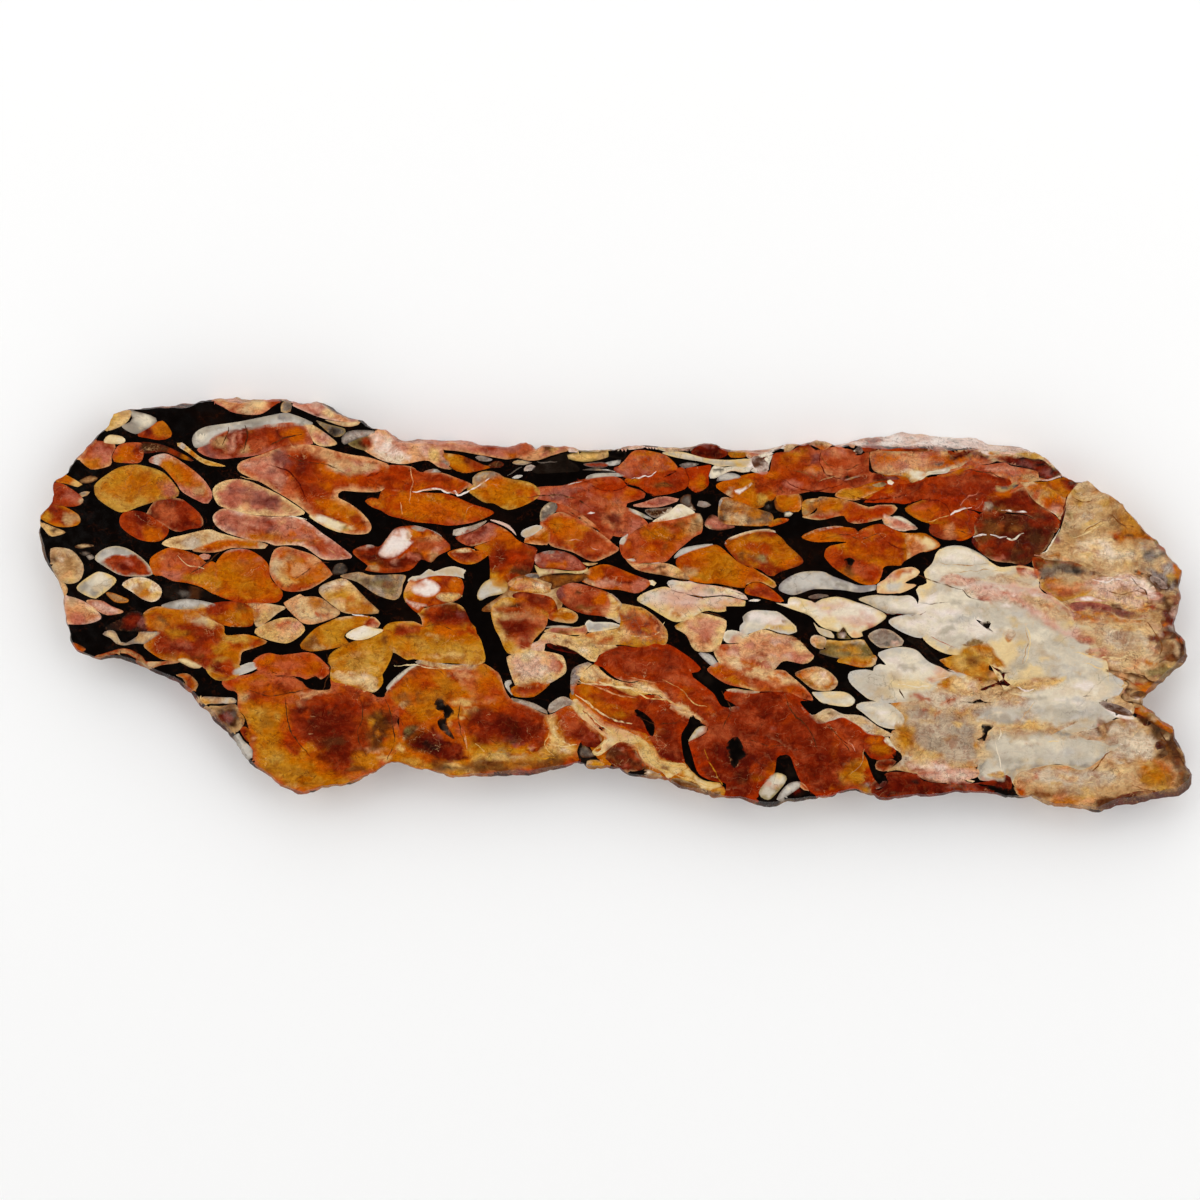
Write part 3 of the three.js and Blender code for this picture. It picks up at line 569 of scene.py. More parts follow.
 orange 202 -3 14 6,straw 56 -20 16,ivory 110 -12 18,amber 146 -16 14 4
white pearl|224 20,30 -8,4 -6,-12 1,-14 5
straw cream|115 -48,35 20,16 6,38 -8,15 -8,0 -10,-13 -41,-10 -9,-32 -2,-14 10,-12 24,-20 12|
 rose 51 -20 22 18,terracotta 55 -30 14 9,gold 27 9 10,gold 11 -2 8,terracotta 35 -22 6,
 straw 81 -18 8 20
pearl steel|163 -103,13 1,14 -5,13 -19,-11 -4
white bone crumb|274 294,40 10,20 2,4 8,-42 -2,-14 -2,18 3,12 -13,-8 -26,-8 -21,-32 11,-8 6|
 peach 6 -28 10 4,ivory 16 -8 16
tan pink|332 309,14 10,20 1,38 7,36 -5,38 6,2 -10,-6 -10,-38 8,-22 -12,-26 10,-22 2,-22 -16,-10 0|
 brown 66 14 8 4,umber 78 13 4,peach 88 5 12 7,orange 76 3 8,sand 10 -1 9,plum 32 10 9 3
brick terracotta|310 290,8 8,28 4,26 13,14 -2,12 -9,32 6,40 -6,6 -10,12 0,16 6,0 -38,12 -4,6 -14,
 -22 -8,-26 -8,-24 -2,-16 -8,-38 4,-36 -6,-44 -2,-16 10,-6 16,4 16,8 8|rust 10 -2 16,
 amber 36 -8 24 18,gold 60 2 16 9,brick 64 18 18 6,orange 16 -32 24 10,plum 84 -10 24 16,
 rust 54 -50 30 18,rose 38 -58 20 10,terracotta 126 -4 24 18,plum 124 9 20 8,brown 126 -28 24 10,
 brick 170 -10 24,rust 130 -60 24 10,brick 100 -42 20,orange 70 -26 16 6,maroon 164 8 9,
 rose 136 14 14 4,brown 190 -10 6 20
orange amber|318 212,22 2,24 1,4 -29,-14 -6,-28 10|amber 24 -8 20,orange 36 -23 12 6,
 rust 28 -1 20 4
olive amber|370 194,6 10,28 3,2 -11,-22 -22,-12 -2|brown 19 -2 8,gold 6 -2 7
terracotta tan|370 170,36 -6,34 7,14 1,6 -10,14 -5,26 2,44 12,17 17,-7 6,-34 0,-16 -4,-44 14,-40 6,
 -18 -2,-2 -24,-10 -8|orange 54 22 20 10,amber 64 34 26 5,rust 100 16 16 10,red 134 6 40 12,
 red 170 14 18 8,red 110 -4 26 8,brick 80 13 20 5,pink 44 11 18 3,rose 156 21 26 2,rust 44 2 24 5,
 orange 86 6 10
sand ash|381 201,9 5,36 3,-6 -4,-30 -6
amber orange|436 212,20 17,24 -1,18 5,18 -3,20 -1,-32 -15,-28 -11|gold 44 10 18 8,gold 14 4 10,
 brown 80 17 10 4,orange 68 7 14 6
brick red|494 200,32 22,22 6,16 8,22 1,38 12,20 3,40 8,26 6,30 2,24 -4,16 -10,10 -20,-6 -20,
 -18 -10,-26 -4,-30 4,-26 5,-24 -5,-36 0,-18 0,-30 -8,-20 2,-46 -1|red 42 12 26 10,
 maroon 96 26 30 12,rust 142 34 26 16,terracotta 72 10 14 9,maroon 192 48 30 10,rust 112 40 8 4,
 orange 52 16 10 4
maroon umber|514 256,12 2,16 -8,16 2,8 -6,-32 -3,-24 -1|plum 36 -9 10 4
peach tan crumb|506 299,20 3,44 -1,50 1,40 -1,0 -13,2 -16,-12 -6,-24 -2,-26 -24,-14 0,-4 8,-26 6,
 -16 0,-26 8,-6 14|tan 30 -23 24 18,orange 22 -9 20 9,peach 64 -21 20,pink 94 -27 18 10,
 rose 114 -13 24 11,gold 72 -46 12 7,straw 90 -45 12,slate 128 -29 16 6,brown 6 -23 6 18,
 terracotta 84 -2 40 3,bone 70 -31 12 4
maroon rust|486 316,10 4,44 -15,40 4,50 -5,30 -2,26 -8,-6 -4,-24 7,-30 3,-36 0,-30 0,-30 1,-22 -2,
 -16 5|brick 14 -2 14 6,brown 134 -13 20 3
pink peach|480 322,24 14,22 2,20 -2,-38 -12,-22 -6
ivory ash|474 303,6 7,9 -2,2 -8,-13 -4|slate 9 0 4
ivory bone|556 256,24 13,34 -7,16 0,34 7,-4 -11,-36 -4,-16 -10,-24 0,2 8,-10 7|gold 24 -5 10 5,
 peach 54 2 12 4,straw 42 -10 8
white cream|540 242,6 3,8 -6,-4 -5,-8 2
ash straw|446 254,8 -2,2 -6,42 14,-12 -10,-32 -8,-10 6
black umber|454 252,8 2,4 -5,-8 -4
olive umber crumb|510 234,22 6,8 -4,-10 -6,-12 -1
ivory black|333 179,11 3,8 -5,-8 -7,-9 1
orange rust|300 154,20 13,24 -1,-10 -8,-28 -8
black soot|292 194,10 10,14 1,10 -21,-8 -6,-24 6|slate 16 -2 6 4
amber brick|215 114,2 8,13 7,36 11,36 4,28 -16,9 -12,25 -22,9 -13,-11 -9,-36 -12,-12 -8,-14 2,
 -12 10,-34 10,-14 8|amber 95 6 26 16,amber 125 -20 18,orange 21 4 16,rust 73 -10 24 14,
 brick 75 -32 18 10,orange 127 -36 22 10,brick 91 -52 14,rust 45 6 18,brick 55 -20 16,
 olive 69 -28 9,brown 31 -18 10
sand pearl|215 116,9 12,40 14,40 4,14 -7,-32 1,-22 -4,-38 -14,-7 -8
orange amber|256 36,8 34,16 -7,36 -23,-2 -12,-24 11,-16 2|gold 52 1 12 6,rust 12 26 14
red orange|264 36,30 0,34 -26,6 -8,-8 -3,-42 11,-28 8|brick 30 -14 14 8,amber 6 -4 14 6,
 red 54 -27 12,brick 10 -20 12 6
cream white|263 2,11 4,13 -2,-5 -3
amber orange|369 130,25 14,36 7,24 -1,22 -3,6 -7,10 7,36 9,42 -17,40 -1,14 -5,23 -19,-23 -13,
 -18 -2,-33 -19,-5 -7,-34 -3,-12 -32,-28 -3,-30 14,-32 21,-18 22,2 10,10 10,33 7,-19 2,-44 -1|
 orange 35 2 26 10,rust 67 8 24 8,terracotta 87 2 16 8,rust 65 -38 20 18,amber 77 -20 24 6,
 rust 107 -6 26,orange 121 -16 24 14,brick 107 -42 30 10,umber 101 -58 12,brown 95 -66 16 8,
 red 171 -6 34 30,brick 191 -26 24,brick 157 -40 16,terracotta 139 14 20 8,rust 129 8 20 8,
 amber 221 -4 22 10,amber 213 -30 16 14,rust 155 8 20,brick 131 -10 14 5,umber 135 -36 10 4
cream straw|594 124,12 9,16 -2,25 -17,-23 -12,-14 -1,-2 11|gold 14 0 6
blush tan|370 130,26 15,40 7,18 -2,-20 -3,-44 -10|pearl 30 16 20 4
red terracotta|464 64,20 18,16 1,14 -7,12 -2,6 -10,-11 -25,-25 -3|red 40 -8 22 16,
 terracotta 18 4 14,brick 36 -24 14 4,rust 14 -8 8
pearl steel|323 28,9 14,34 17,44 2,20 -9,36 -13,20 -6,34 1,-2 -9,-32 -6,-36 5,-46 2,-18 -2,-32 -10,
 -24 6|pearl 53 16 36 14,ash 131 6 14 7,steel 167 1 12 4,pearl 187 0 8
cream peach|520 19,1 17,13 8,22 19,34 7,16 -10,-6 -8,-24 -14,23 -4,-25 -14,-18 -3|peach 60 41 18 6,
 rust 58 37 12 4,pink 30 31 18 6,pearl 34 9 16 7,rose 26 21 14 3,orange 44 35 8,bone 10 15 6
blush ivory|532 180,12 -8,26 -6,32 -19,-16 -3,-20 -2,-32 14|rose 22 -24 18 7,peach 6 -16 10,
 pink 44 -31 14 4
ivory bone|550 169,14 3,14 -6,20 -15,-12 3
rust amber|577 182,5 10,30 12,12 -1,36 1,40 -14,-4 -12,-16 -12,-36 -10,-36 6|amber 39 18 16 3,
 brick 47 0 26 12,orange 47 -17 24 3,rust 83 2 20
terracotta brick|630 156,34 4,18 6,18 -8,10 -14,-10 -14,-42 -6,-32 14|orange 20 -4 16,
 brick 10 -20 14,peach 36 2 10 3
bone pearl|251 -30,19 13,40 -1,16 -4,32 -27,2 -10,-24 -6,-38 11,-38 -10,-14 4,0 12,7 8|
 ash 7 4 12 8,gold 75 -18 22 10,ochre 81 -16 12 9,straw 95 -26 14 7,straw 55 -20 14 4
bone ivory|212 -70,4 10,14 4,34 -10,-10 -13,-34 -3
terracotta cream|254 -70,36 15,34 -9,28 -5,14 -8,18 -21,10 -10,-6 -10,-16 -6,-38 6,-20 -18,-24 -10,
 -30 -4,-24 4,-22 12,-20 32,8 16,38 3|terracotta 40 -6 22 12,peach 64 -14 30 14,sand 86 -16 20 12,
 cream 114 -20 14,rose 118 -40 20 9,terracotta 94 -36 16 8,brick 30 -44 20 12,rust -40 -22 14,
 peach 6 -20 20,orange 0 -56 20,pink 62 -36 16 10,cream -20 -44 14,sand 52 -56 16,rose 40 -64 12
ivory cream|341 -4,2 10,11 4,34 -8,8 -4,14 8,34 4,40 -12,30 -10,25 -16,-21 -19,-29 -13,3 -8,-22 -3,
 -18 21,-6 -10,-36 10,-24 22,-34 13,-34 13|straw 89 -2 20 7,white 143 -16 40 14,straw 31 1 12 5,
 white 15 4 16 5,straw 105 -40 20 6,peach 143 -42 18 8,terracotta 167 -46 12 5,peach 135 -60 12 6,
 cream 75 -34 16,sand 85 -16 14 4
bone sand|393 -40,9 -10,26 -9,6 -13,-28 8
peach bone|386 -76,8 10,24 -7,-6 -21,-20 6|sand 20 2 8
olive straw|414 -90,2 14,34 -2,38 3,10 -7,20 -34,-6 -12,-18 -2,-36 8,-18 14|gold 26 4 18 7,
 ochre 40 -16 16 5,bone 68 8 12 5,brown 56 0 12 5,moss 86 -6 10
moss slate|404 -102,12 8,20 -4,12 -8,0 -8
amber gold|440 -118,24 16,40 -3,13 -2,2 -11,-25 -13,-36 7|gold 24 8 16 8,amber 60 -2 20,
 orange 40 -6 18 4
umber moss|452 -48,8 -8,0 -10,8 -8,-26 2,-3 8|white -3 -17 4 3
steel ash|382 10,12 5,16 1,14 -4,-30 -6
bone ash|483 6,33 8,48 -2,22 1,14 -13,0 -24,-40 1,-16 -1,-40 19|bone 67 -6 40 10
bone pearl|543 -38,29 12,42 0,4 -14,-4 -28,-16 -3,-36 15
ash|502 -68,22 14,26 -4,24 -20,-4 -9,-34 -5,-16 4|ash 32 0 16,slate 42 -12 8 6,blush 62 -15 8 5,
 straw 38 -22 14 2
tan sand|886 142,12 44,2 22,24 30,26 6,30 -16,20 -10,20 -14,18 -18,12 -20,10 -22,14 -24,16 -24,
 10 -24,-16 -14,-28 -2,-30 0,-32 -4,-30 2,-10 6,-40 20,-50 4,-18 8,12 10,18 30|sand 74 -46 50 30,
 straw 64 -68 30 10,tan 44 58 30 20,sand 84 72 30 10,amber 124 -8 20 14,ash 28 18 20,
 tan -6 -32 20 14,brown 114 44 20 10,sand 84 -12 30 10,ochre 34 78 14 5,gold 24 52 10,
 amber -10 -50 16 5,peach 18 -56 20 5,plum -12 -16 10 14,straw 124 68 16 6,brown 68 80 20 4
bone cream|640 100,14 8,36 1,28 -11,26 -16,22 -12,30 2,28 -3,10 -5,0 -12,10 -8,0 -14,10 -12,20 -8,
 26 -20,10 -10,6 -20,24 -6,16 -14,-2 -20,16 -20,10 -20,4 -30,-4 -30,-40 -20,-60 0,-60 10,-40 10,
 -20 30,-20 30,-40 12,-40 4,-30 14,-20 20,-10 30,-2 24,6 22,-6 18,6 8,16 6,-6 22,16 17|
 bone 40 -110 60 34,bone 10 -30 30 14,cream 100 -36 30 10,bone 240 -200 50 34,cream 140 -200 30,
 bone 160 -130 30 20,pearl 20 -136 30 20,cream 190 -240 30 24,bone 40 -170 40 16,sand 220 -256 40 20
rose pink|644 44,22 15,34 -9,16 4,16 -10,-38 -14,-34 6|rose 42 -4 20 7,terracotta 70 2 12 4,
 pink 22 8 12 6
pink plum|690 26,26 12,14 -4,14 -8,46 0,40 -8,18 0,24 -8,28 -20,12 -10,4 -14,-12 -6,-20 0,-18 -4,
 -16 4,-14 21,-32 3,-34 13,-40 4,-18 6|rose 48 -20 12 5,orange 194 -40 20 10,orange 208 -54 12 7
straw cream|734 54,16 6,40 -4,24 -14,14 -4,16 -12,-40 6,-48 6,-18 6|straw 32 -4 20 6
terracotta peach|796 66,8 8,40 -10,6 -10,-10 -10,-32 2|rose 14 -2 10 7,plum 38 -18 8 4
umber rust|832 90,30 -10,28 1,40 -7,-4 -8,-14 -2,38 -4,6 -6,-12 -6,-20 -1,-14 5,-30 -10,-16 4,
 -26 18
slate ash|840 54,8 5,14 -5,6 -8,-24 1
amber ochre|844 36,10 4,32 5,38 -3,28 -12,-14 -16,-14 -3,-28 -9,-14 2,-36 24|ochre 20 -4 16 8,
 gold 36 -14 14
white pink|914 4,28 8,28 -8,16 -1,-16 -2,-40 1
plum rose|908 -2,36 2,40 -6,8 -6,-6 -6,-28 6,-30 -6,-18 2|plum 16 -6 16 5,rose 46 -4 10 4
white pink|909 -15,15 1,16 0,-4 -3,-26 0
blush cream crumb|934 32,26 16,44 3,36 3,20 -24,-10 -16,-20 -8,-34 -10,-14 8,-30 8,4 12|
 ivory 56 12 24 5,tan 30 -12 14 6,ochre 80 -8 14,gold 92 8 14
umber tan crumb|980 2,30 -6,14 6,26 -22,-10 -14,-36 4,-10 10|white 36 -12 8 6,straw 50 -14 10,
 umber 20 -14 8 5,tan 56 -28 10
tan amber crumb|912 -20,38 4,38 -6,16 -10,36 -4,20 -4,10 -30,-10 -30,-16 -26,-24 -8,-20 4,-40 16,
 -36 12,10 8,20 4,6 12,-2 14,-12 12,-36 8,0 12|amber 22 -9 20 6,orange 58 -16 24 6,rose 64 -38 24 9,
 straw 94 -28 24 8,rust 94 -86 20 6,tan 58 -66 20,peach 118 -90 20 10,rose 64 -82 14 5,
 gold 38 -78 12 5
rose pink|902 -42,14 -4,36 -8,10 -10,-8 -24,-36 6,-6 8,-12 22|plum 32 -37 22 5,peach 38 -24 14 6,
 pink 24 -29 12 5
ochre amber|704 -87,32 7,14 -8,14 -22,12 -8,4 -14,-20 -2,-14 8,-26 -24,-20 -6,-30 20,-26 18,24 10|
 ochre -4 -31 24 14,amber 30 -11 14,amber 60 -33 12 9,gold -36 -31 12,orange 46 -19 8,
 amber 10 -53 20 10
gold amber|768 -56,12 5,14 -5,5 -10,-17 -17|amber 14 -12 9
olive slate|676 -88,20 6,14 10,26 -6,-6 -8,-36 -3|slate 24 2 10 3
soot black|717 -35,13 -4,14 1,4 -5,-4 -9,10 -8,-12 4
black soot|585 -68,25 -10,8 -10,30 -32,10 -8,-32 12,-24 24,-24 18
white blush crumb|504 320,14 12,46 9,26 5,34 0,20 -6,26 -4,30 0,28 -4,22 -10,24 -6,26 0,30 2,
 14 -12,6 -10,-30 4,-46 0,-32 -7,-26 13,-20 1,-26 -2,-50 3,-24 2,-46 -2,-22 2,-14 4|pink 26 10 24 5,
 ash 96 16 20 5,peach 82 6 16 6,peach 66 -6 20 3,ash 160 -2 20 4,pink 212 6 16 4,gold 226 -11 12 5,
 peach 252 -8 18 6,ash 280 -10 10 6,sand 262 -18 14 4,amber 250 -20 8 3
straw sand|798 296,36 17,22 -21,26 -23,-10 0,-22 15,-20 2|ivory 34 8 9,gold 18 2 9,pink 72 -18 8 5,
 ochre 42 -4 10
orange sand crumb|620 302,44 -4,16 4,38 4,26 -12,14 3,22 -3,18 2,12 -6,-34 -10,-16 2,-16 -6,-20 0,
 -20 6,-14 -10,-30 -8,-40 0|rust 14 -8 12 6,brown 44 -18 12,maroon 64 -10 20 6,amber 36 -14 10,
 slate 24 -32 20 4,brick 88 1 12 3,plum 94 -12 16 5,tan 114 -18 18 8,sand 134 -11 10 5,
 olive 78 -16 10,slate 118 -20 8 5
white ash|620 258,20 4,20 8,20 2,-34 -15
amber terracotta crumb|640 253,46 13,18 9,22 -2,10 -7,18 -2,26 4,46 -3,16 -5,2 -11,16 -4,-40 -5,
 -40 4,-40 12,-20 10,-20 -4,-14 -9,-32 -4|amber 38 6 12 6,peach 126 3 24 6,terracotta 154 11 20 6,
 tan 186 1 16 8,orange 150 -7 20 4,brick 20 -1 8 4
terracotta plum crumb|696 278,18 7,18 -11,46 6,6 -6,16 -4,26 -4,-20 -2,-26 2,-24 -3,-42 5|
 rose 78 -4 14 6
maroon soot|708 292,16 7,16 -3,6 -8,34 8,34 -8,36 -3,26 -17,12 -2,4 -9,-22 -11,-16 -1,-20 17,-16 7,
 -34 7,-30 7,-14 -5|plum 112 -14 24 6,plum 152 -30 16 7,soot 136 -12 20 3,brick 156 -40 14 4,
 soot 172 -30 9 4,plum 52 -6 10 4
pink white|832 247,28 -1,28 9,12 -3,-14 -2,-26 -8
maroon amber|860 241,34 8,22 -7,8 1,-12 -17,-16 -18,-28 18,-34 13|orange 24 -9 14 8,
 amber 34 -19 10,brick 48 -5 12,amber 20 1 12 4,soot 56 1 8 3,maroon 54 -8 10 5,white 58 -1 4 2
orange tan|806 239,18 3,32 -9,34 -17,8 -9,-2 -23,-10 -20,-8 10,-26 15,-22 18,-14 22|
 sand 14 -3 14 4,gold 54 -19 18 10,tan 38 -30 12 8,terracotta 30 -23 9 10,pink 76 -53 12 10,
 blush 74 -63 8 7,orange 80 -39 10,gold 50 -25 10,plum 80 -45 8 4
brick maroon|750 246,14 -2,6 -6,-30 -4,-10 4
steel slate|746 226,8 5,32 3,18 0,-24 -15,-14 -2|ochre 40 -2 12 6
brick rust|736 214,10 6,30 -7,38 17,12 -22,12 -12,30 -17,19 -21,-11 -20,-12 6,-36 26,-22 7,-26 3,
 -20 6,-22 18|brown 24 -6 18 8,amber 18 0 12 5,brick 74 -24 24,red 134 -54 16 10,rust 54 -20 20,
 maroon 80 0 10 16,umber 104 -24 16 6
maroon brown|800 220,9 10,8 -4,3 -10,24 -20,26 -14,-14 0,-38 16
umber maroon|726 176,14 4,44 -4,26 -2,20 -6,36 -26,8 -8,-22 -34,-32 -24,-16 -2,-14 4,-40 6,-36 28,
 -4 14,6 14,-2 16|maroon 94 -56 40 30,maroon 74 -16 40 14,brown 50 -22 24 10,rust 22 -62 26 10,
 brick 40 -76 30 10,maroon 8 -52 16 8,rose 38 -88 20 4,rust -2 -58 10,brick 4 -22 14
rust red|622 162,18 2,20 10,40 10,26 -10,-6 -14,-6 -26,-30 -12,-20 16,6 10,-6 9,-38 -3|
 brick 78 -6 20 16,orange 64 -26 16 10,brown 48 -34 10 8,brick 44 4 10,olive 44 -30 8 9
brick red|620 246,20 3,44 3,30 14,16 -4,16 -16,-20 -18,12 -38,-8 -10,-30 6,-40 -10,-38 -13,-22 7,
 -10 14,10 14,10 6,-6 20|red 24 -20 30 14,rust 20 -52 30 20,maroon 94 4 18 10,brick 60 -36 30 20,
 maroon 46 -10 24 5,red 86 -26 20 10,rust 86 -48 16 8,orange 10 -70 16 6,maroon 14 -40 20 3
ochre ash|736 202,10 2,10 -10,24 -13,-30 -11,-20 12|bone 8 -11 9 8
brown olive|964 222,20 -6,34 -16,14 -16,24 -25,-2 -11,6 -6,24 -10,2 -10,6 -6,-38 3,-18 5,-36 -6,
 -10 6,-4 10,24 26,10 14,-10 12,-20 14,-20 12|amber 70 -52 14 10,orange 80 -72 12 9,
 rust 42 -88 14 8,gold 56 -32 10 5,amber 50 -93 10 5,ochre 110 -93 10 5,brick 66 -92 10 4,
 straw 22 -10 16 4,soot 66 -96 8 3
umber tan|986 193,8 2,6 -3,-8 -5
slate olive|894 160,10 0,2 -10,-10 1
steel tan crumb|1044 116,12 11,14 -5,33 -10,-1 -12,22 -22,14 -12,-6 -18,-3 -18,-3 -12,-34 -4,
 -22 22,-30 24,-2 14,20 22,-2 12|slate 12 -44 14 8,straw 50 -36 16 8,pearl 60 -52 12 5,
 rose 50 -8 9 8,orange 82 -56 10 9,amber 84 -66 6 12,ochre 64 -66 12 9,tan 36 -56 10 8,
 olive 60 -82 10 12,straw 62 -100 14 6,umber 80 -80 5 8,plum 30 0 8 4,brown 84 -46 6 3
white slate|1043 119,7 1,8 -3,-6 -3,-6 2
white pink|1062 122,10 0,4 -3,-10 -1
umber soot|1030 64,12 2,8 -6,30 -10,14 -2,4 -10,14 0,-14 -16,-9 4,-27 22,-12 4,-8 -8|
 soot 56 -20 9 5,orange 12 -6 5
blush ivory|1056 50,10 -6,12 -22,-8 -2,-28 18
rust pink|1062 14,24 6,8 -6,-6 -8,-24 -2
maroon tan crumb|1066 -4,44 -2,14 4,10 10,0 -22,-6 -44,8 -8,-6 -8,-20 2,-36 -8,-10 8,26 20,-4 12,
 4 12,-26 12|brown 24 -34 14 7,sand 60 -10 8 16,pearl 48 -46 12 6,rust 8 -6 10 5,blush 58 -34 8,
 orange 26 -38 8 4
sand tan|1004 -40,26 1,26 5,22 -2,2 -14,-24 -22,10 -12,36 2,10 -12,-4 -12,-28 -18,-10 -20,-20 -6,
 -24 10,-20 12,-20 4,14 10,26 -2,18 -6,-4 14,-42 18,-18 0,-4 10,40 6,-6 18,-20 7|straw 22 -20 18 14,
 sand 56 -56 26 16,tan 50 -8 20 7,peach 82 -50 16 6,amber 56 -80 16 5,peach 20 -90 18 6
orange straw crumb|1006 -4,14 6,40 -4,6 -12,-12 -8,-20 0,-26 8|straw 14 -6 10 6,gold 44 -5 8 4,
 cream 28 -6 10 4
plum umber|1100 -84,14 6,20 -10,-8 -18,10 -4,-4 -12,-24 4,-18 0,-8 -4,10 12,22 14|maroon 26 -28 8 5
orange tan|1130 -70,18 -6,2 -32,-8 -6,-10 16,4 10|amber 14 -16 7 9,tan 16 -36 5
olive tan|1110 -120,20 -10,-24 -20,-16 -4,-12 10,8 12
tan rust|-950 -120,40 1,44 4,-14 -7,-30 -4,-20 -6,-16 2
sand tan|-946 -124,12 5,16 -2,-4 -8,-12 -5
orange tan|-886 -147,26 4,20 -16,1 -11,-13 -13,-18 31|brick 34 -17 9 12
brick ochre|-823 -132,17 22,20 2,20 -6,12 -14,0 -14,-12 -12,-36 -2|maroon 23 6 20 12,rust 43 12 16,
 amber 17 -14 14 6,amber 53 -14 12 8,ochre 3 -2 5 8
amber gold|-576 -116,10 17,40 21,26 3,38 17,12 -10,2 -26,-5 -20,-16 -24,1 -24,-16 -18,-16 2,-44 14,
 -22 4,-8 10,2 18|gold 90 20 28,amber 46 18 24,orange 30 -4 20 8,gold 90 -10 20 16,
 cream 46 -28 20 4,straw 72 -42 30 9,tan 10 -14 9 10,orange 36 -14 16 6,gold 90 -24 16 8,
 bone 92 -58 10 4,brown 110 44 10
pearl bone|-772 -140,10 8,26 11,14 -1,4 -8,-12 -8,-32 -10
orange terracotta|-728 -118,14 11,18 5,22 -4,22 2,42 2,32 -26,5 -12,-19 -15,-10 7,-20 -7,-12 5,
 -36 3,-30 1,-26 16|rust 22 -8 18 7,terracotta 74 -2 24 10,orange 122 -8 18 10,red 136 -20 12,
 rust 98 8 16 5,brick 109 -8 5,peach 130 -33 8 3
orange terracotta|-790 -164,4 10,16 5,38 5,18 8,34 -13,20 2,16 -4,14 -8,16 -15,40 0,2 24,32 -10,
 20 -8,32 -16,8 -6,14 0,6 6,4 12,8 -8,12 -40,-4 -20,6 -16,0 -44,4 -18,-16 0,-18 -8,-32 -23,-38 -11,
 -12 -8,-18 -4,-40 -3,-16 -8,-20 0,-16 7,-30 20,-30 26,-13 16,1 16,-8 14,2 18,-10 36,-14 16,-2 32,
 -18 6|red 20 4 18 9,orange 56 6 24 12,amber 70 -10 20,tan 44 -20 22 10,brick 84 -26 34 14,
 terracotta 126 -4 26 14,terracotta 136 -34 24 10,sand 156 -20 12 7,peach 186 -18 24 5,
 brick 186 -64 54 36,brick 260 -32 40 26,maroon 270 -42 30 10,rust 222 -90 50 34,red 146 -102 36 18,
 brick 144 -122 14,amber 96 -60 30 18,gold 90 -96 24 18,orange 62 -102 10,rust 130 -130 24 12,
 amber 110 -150 36 22,gold 134 -166 40 20,amber 156 -190 34 10,maroon 226 -150 44 16,
 brick 246 -166 44 14,maroon 214 -126 20 8,gold 220 -194 34 8,amber 294 -166 30 10,
 brown 276 -172 20 8,amber 326 -112 26 20,orange 336 -96 18 10,amber 300 -90 16,rust 326 -52 24 14,
 maroon 340 -72 16 10,straw 330 -142 20 4,gold 344 -142 14 8,rust 184 -32 30 6,peach 290 -126 30 5,
 tan 150 -202 20 5,brown 94 -170 16 8
umber tan|-664 -360,18 1,36 -5,4 -6,-14 -2,-36 6
sand ash|-838 -192,12 3,42 -2,18 -1,4 -10,-32 -2,-34 0|gold 10 -4 10 5,pearl 60 -3 12 4,
 tan 34 -2 14 4,slate 54 -11 12 2
umber tan crumb|-824 -210,34 2,20 4,12 -4,4 -12,8 -10,0 -14,-20 -18,-28 26|maroon 38 -18 14 9,
 slate 62 -14 12 8,tan 70 -32 8 10,plum 48 -16 10,sand 18 -3 10 3,soot 72 -26 7 4
brick rust|-754 -256,10 7,30 -25,-12 -8,-14 4|maroon 10 -4 8 6,peach 24 -16 8 4
pearl ash|-764 -266,10 0,6 -10,19 -20,-7 -20,-24 28|pearl 20 -28 12
bone ash|-462 -172,20 23,28 20,18 5,-30 -23,-26 -29
tan bone|-404 -120,16 5,18 -4,40 -6,46 1,-6 -7,-30 -5,-30 0,-30 6
orange rust|-464 -184,24 30,32 24,16 7,22 -3,40 -6,20 0,38 10,28 -15,10 -10,12 -33,16 -19,16 -3,
 32 -16,16 -7,12 1,26 15,14 1,10 -6,16 -36,-2 -20,-8 -12,-6 -18,4 -16,-14 -6,-30 -5,-30 -9,-30 -4,
 -34 0,-30 -2,-30 -6,-50 -1,-34 9,-46 9,-16 5,-26 14,-4 32,14 30,-4 30,-20 20|brick 50 22 24 12,
 rust 80 44 24 12,terracotta 54 38 10 5,brown 104 14 30 16,amber 78 -12 30 14,brick 36 6 18 10,
 brick 136 32 16 14,rust 38 -28 18 10,tan 40 -18 14 5,amber 84 -38 24 14,orange 174 34 24 16,
 amber 194 48 30 10,amber 158 4 30 10,sand 158 51 24 4,brown 124 24 6 14,orange 210 26 24 10,
 red 222 14 14 8,terracotta 204 -4 24 9,rust 230 -10 14 10,straw 154 -20 30 8,straw 178 -36 18 9,
 orange 200 -30 14 8,rust 248 -36 24 16,brick 284 -46 40 20,brick 234 -62 44 24,
 maroon 198 -96 24 16,brick 174 -66 16 18,red 278 -76 40 24,terracotta 308 -72 18 12,
 maroon 298 -104 24 10,pink 289 -106 5 4,plum 264 -94 20 7,gold 250 -114 34 9,ochre 344 -120 24 12,
 gold 368 -110 16 9,straw 336 -90 6 24,straw 334 -56 5 18,rust 370 -50 24 16,brick 380 -80 20 14,
 orange 326 -112 8 14,brown 294 -126 20 8,olive 234 -126 34 12,tan 268 -126 24 7,
 brick 300 -140 30 10,brick 250 -146 24 8,plum 264 -152 20 5,gold 190 -124 22 18,
 brown 200 -140 20 12,straw 128 -150 24 8,straw 164 -154 24 7,gold 144 -158 16 6,
 amber 58 -130 30 12,gold 88 -142 24 8,peach 108 -152 12 4,orange 36 -116 10 12,straw 30 -104 6 8,
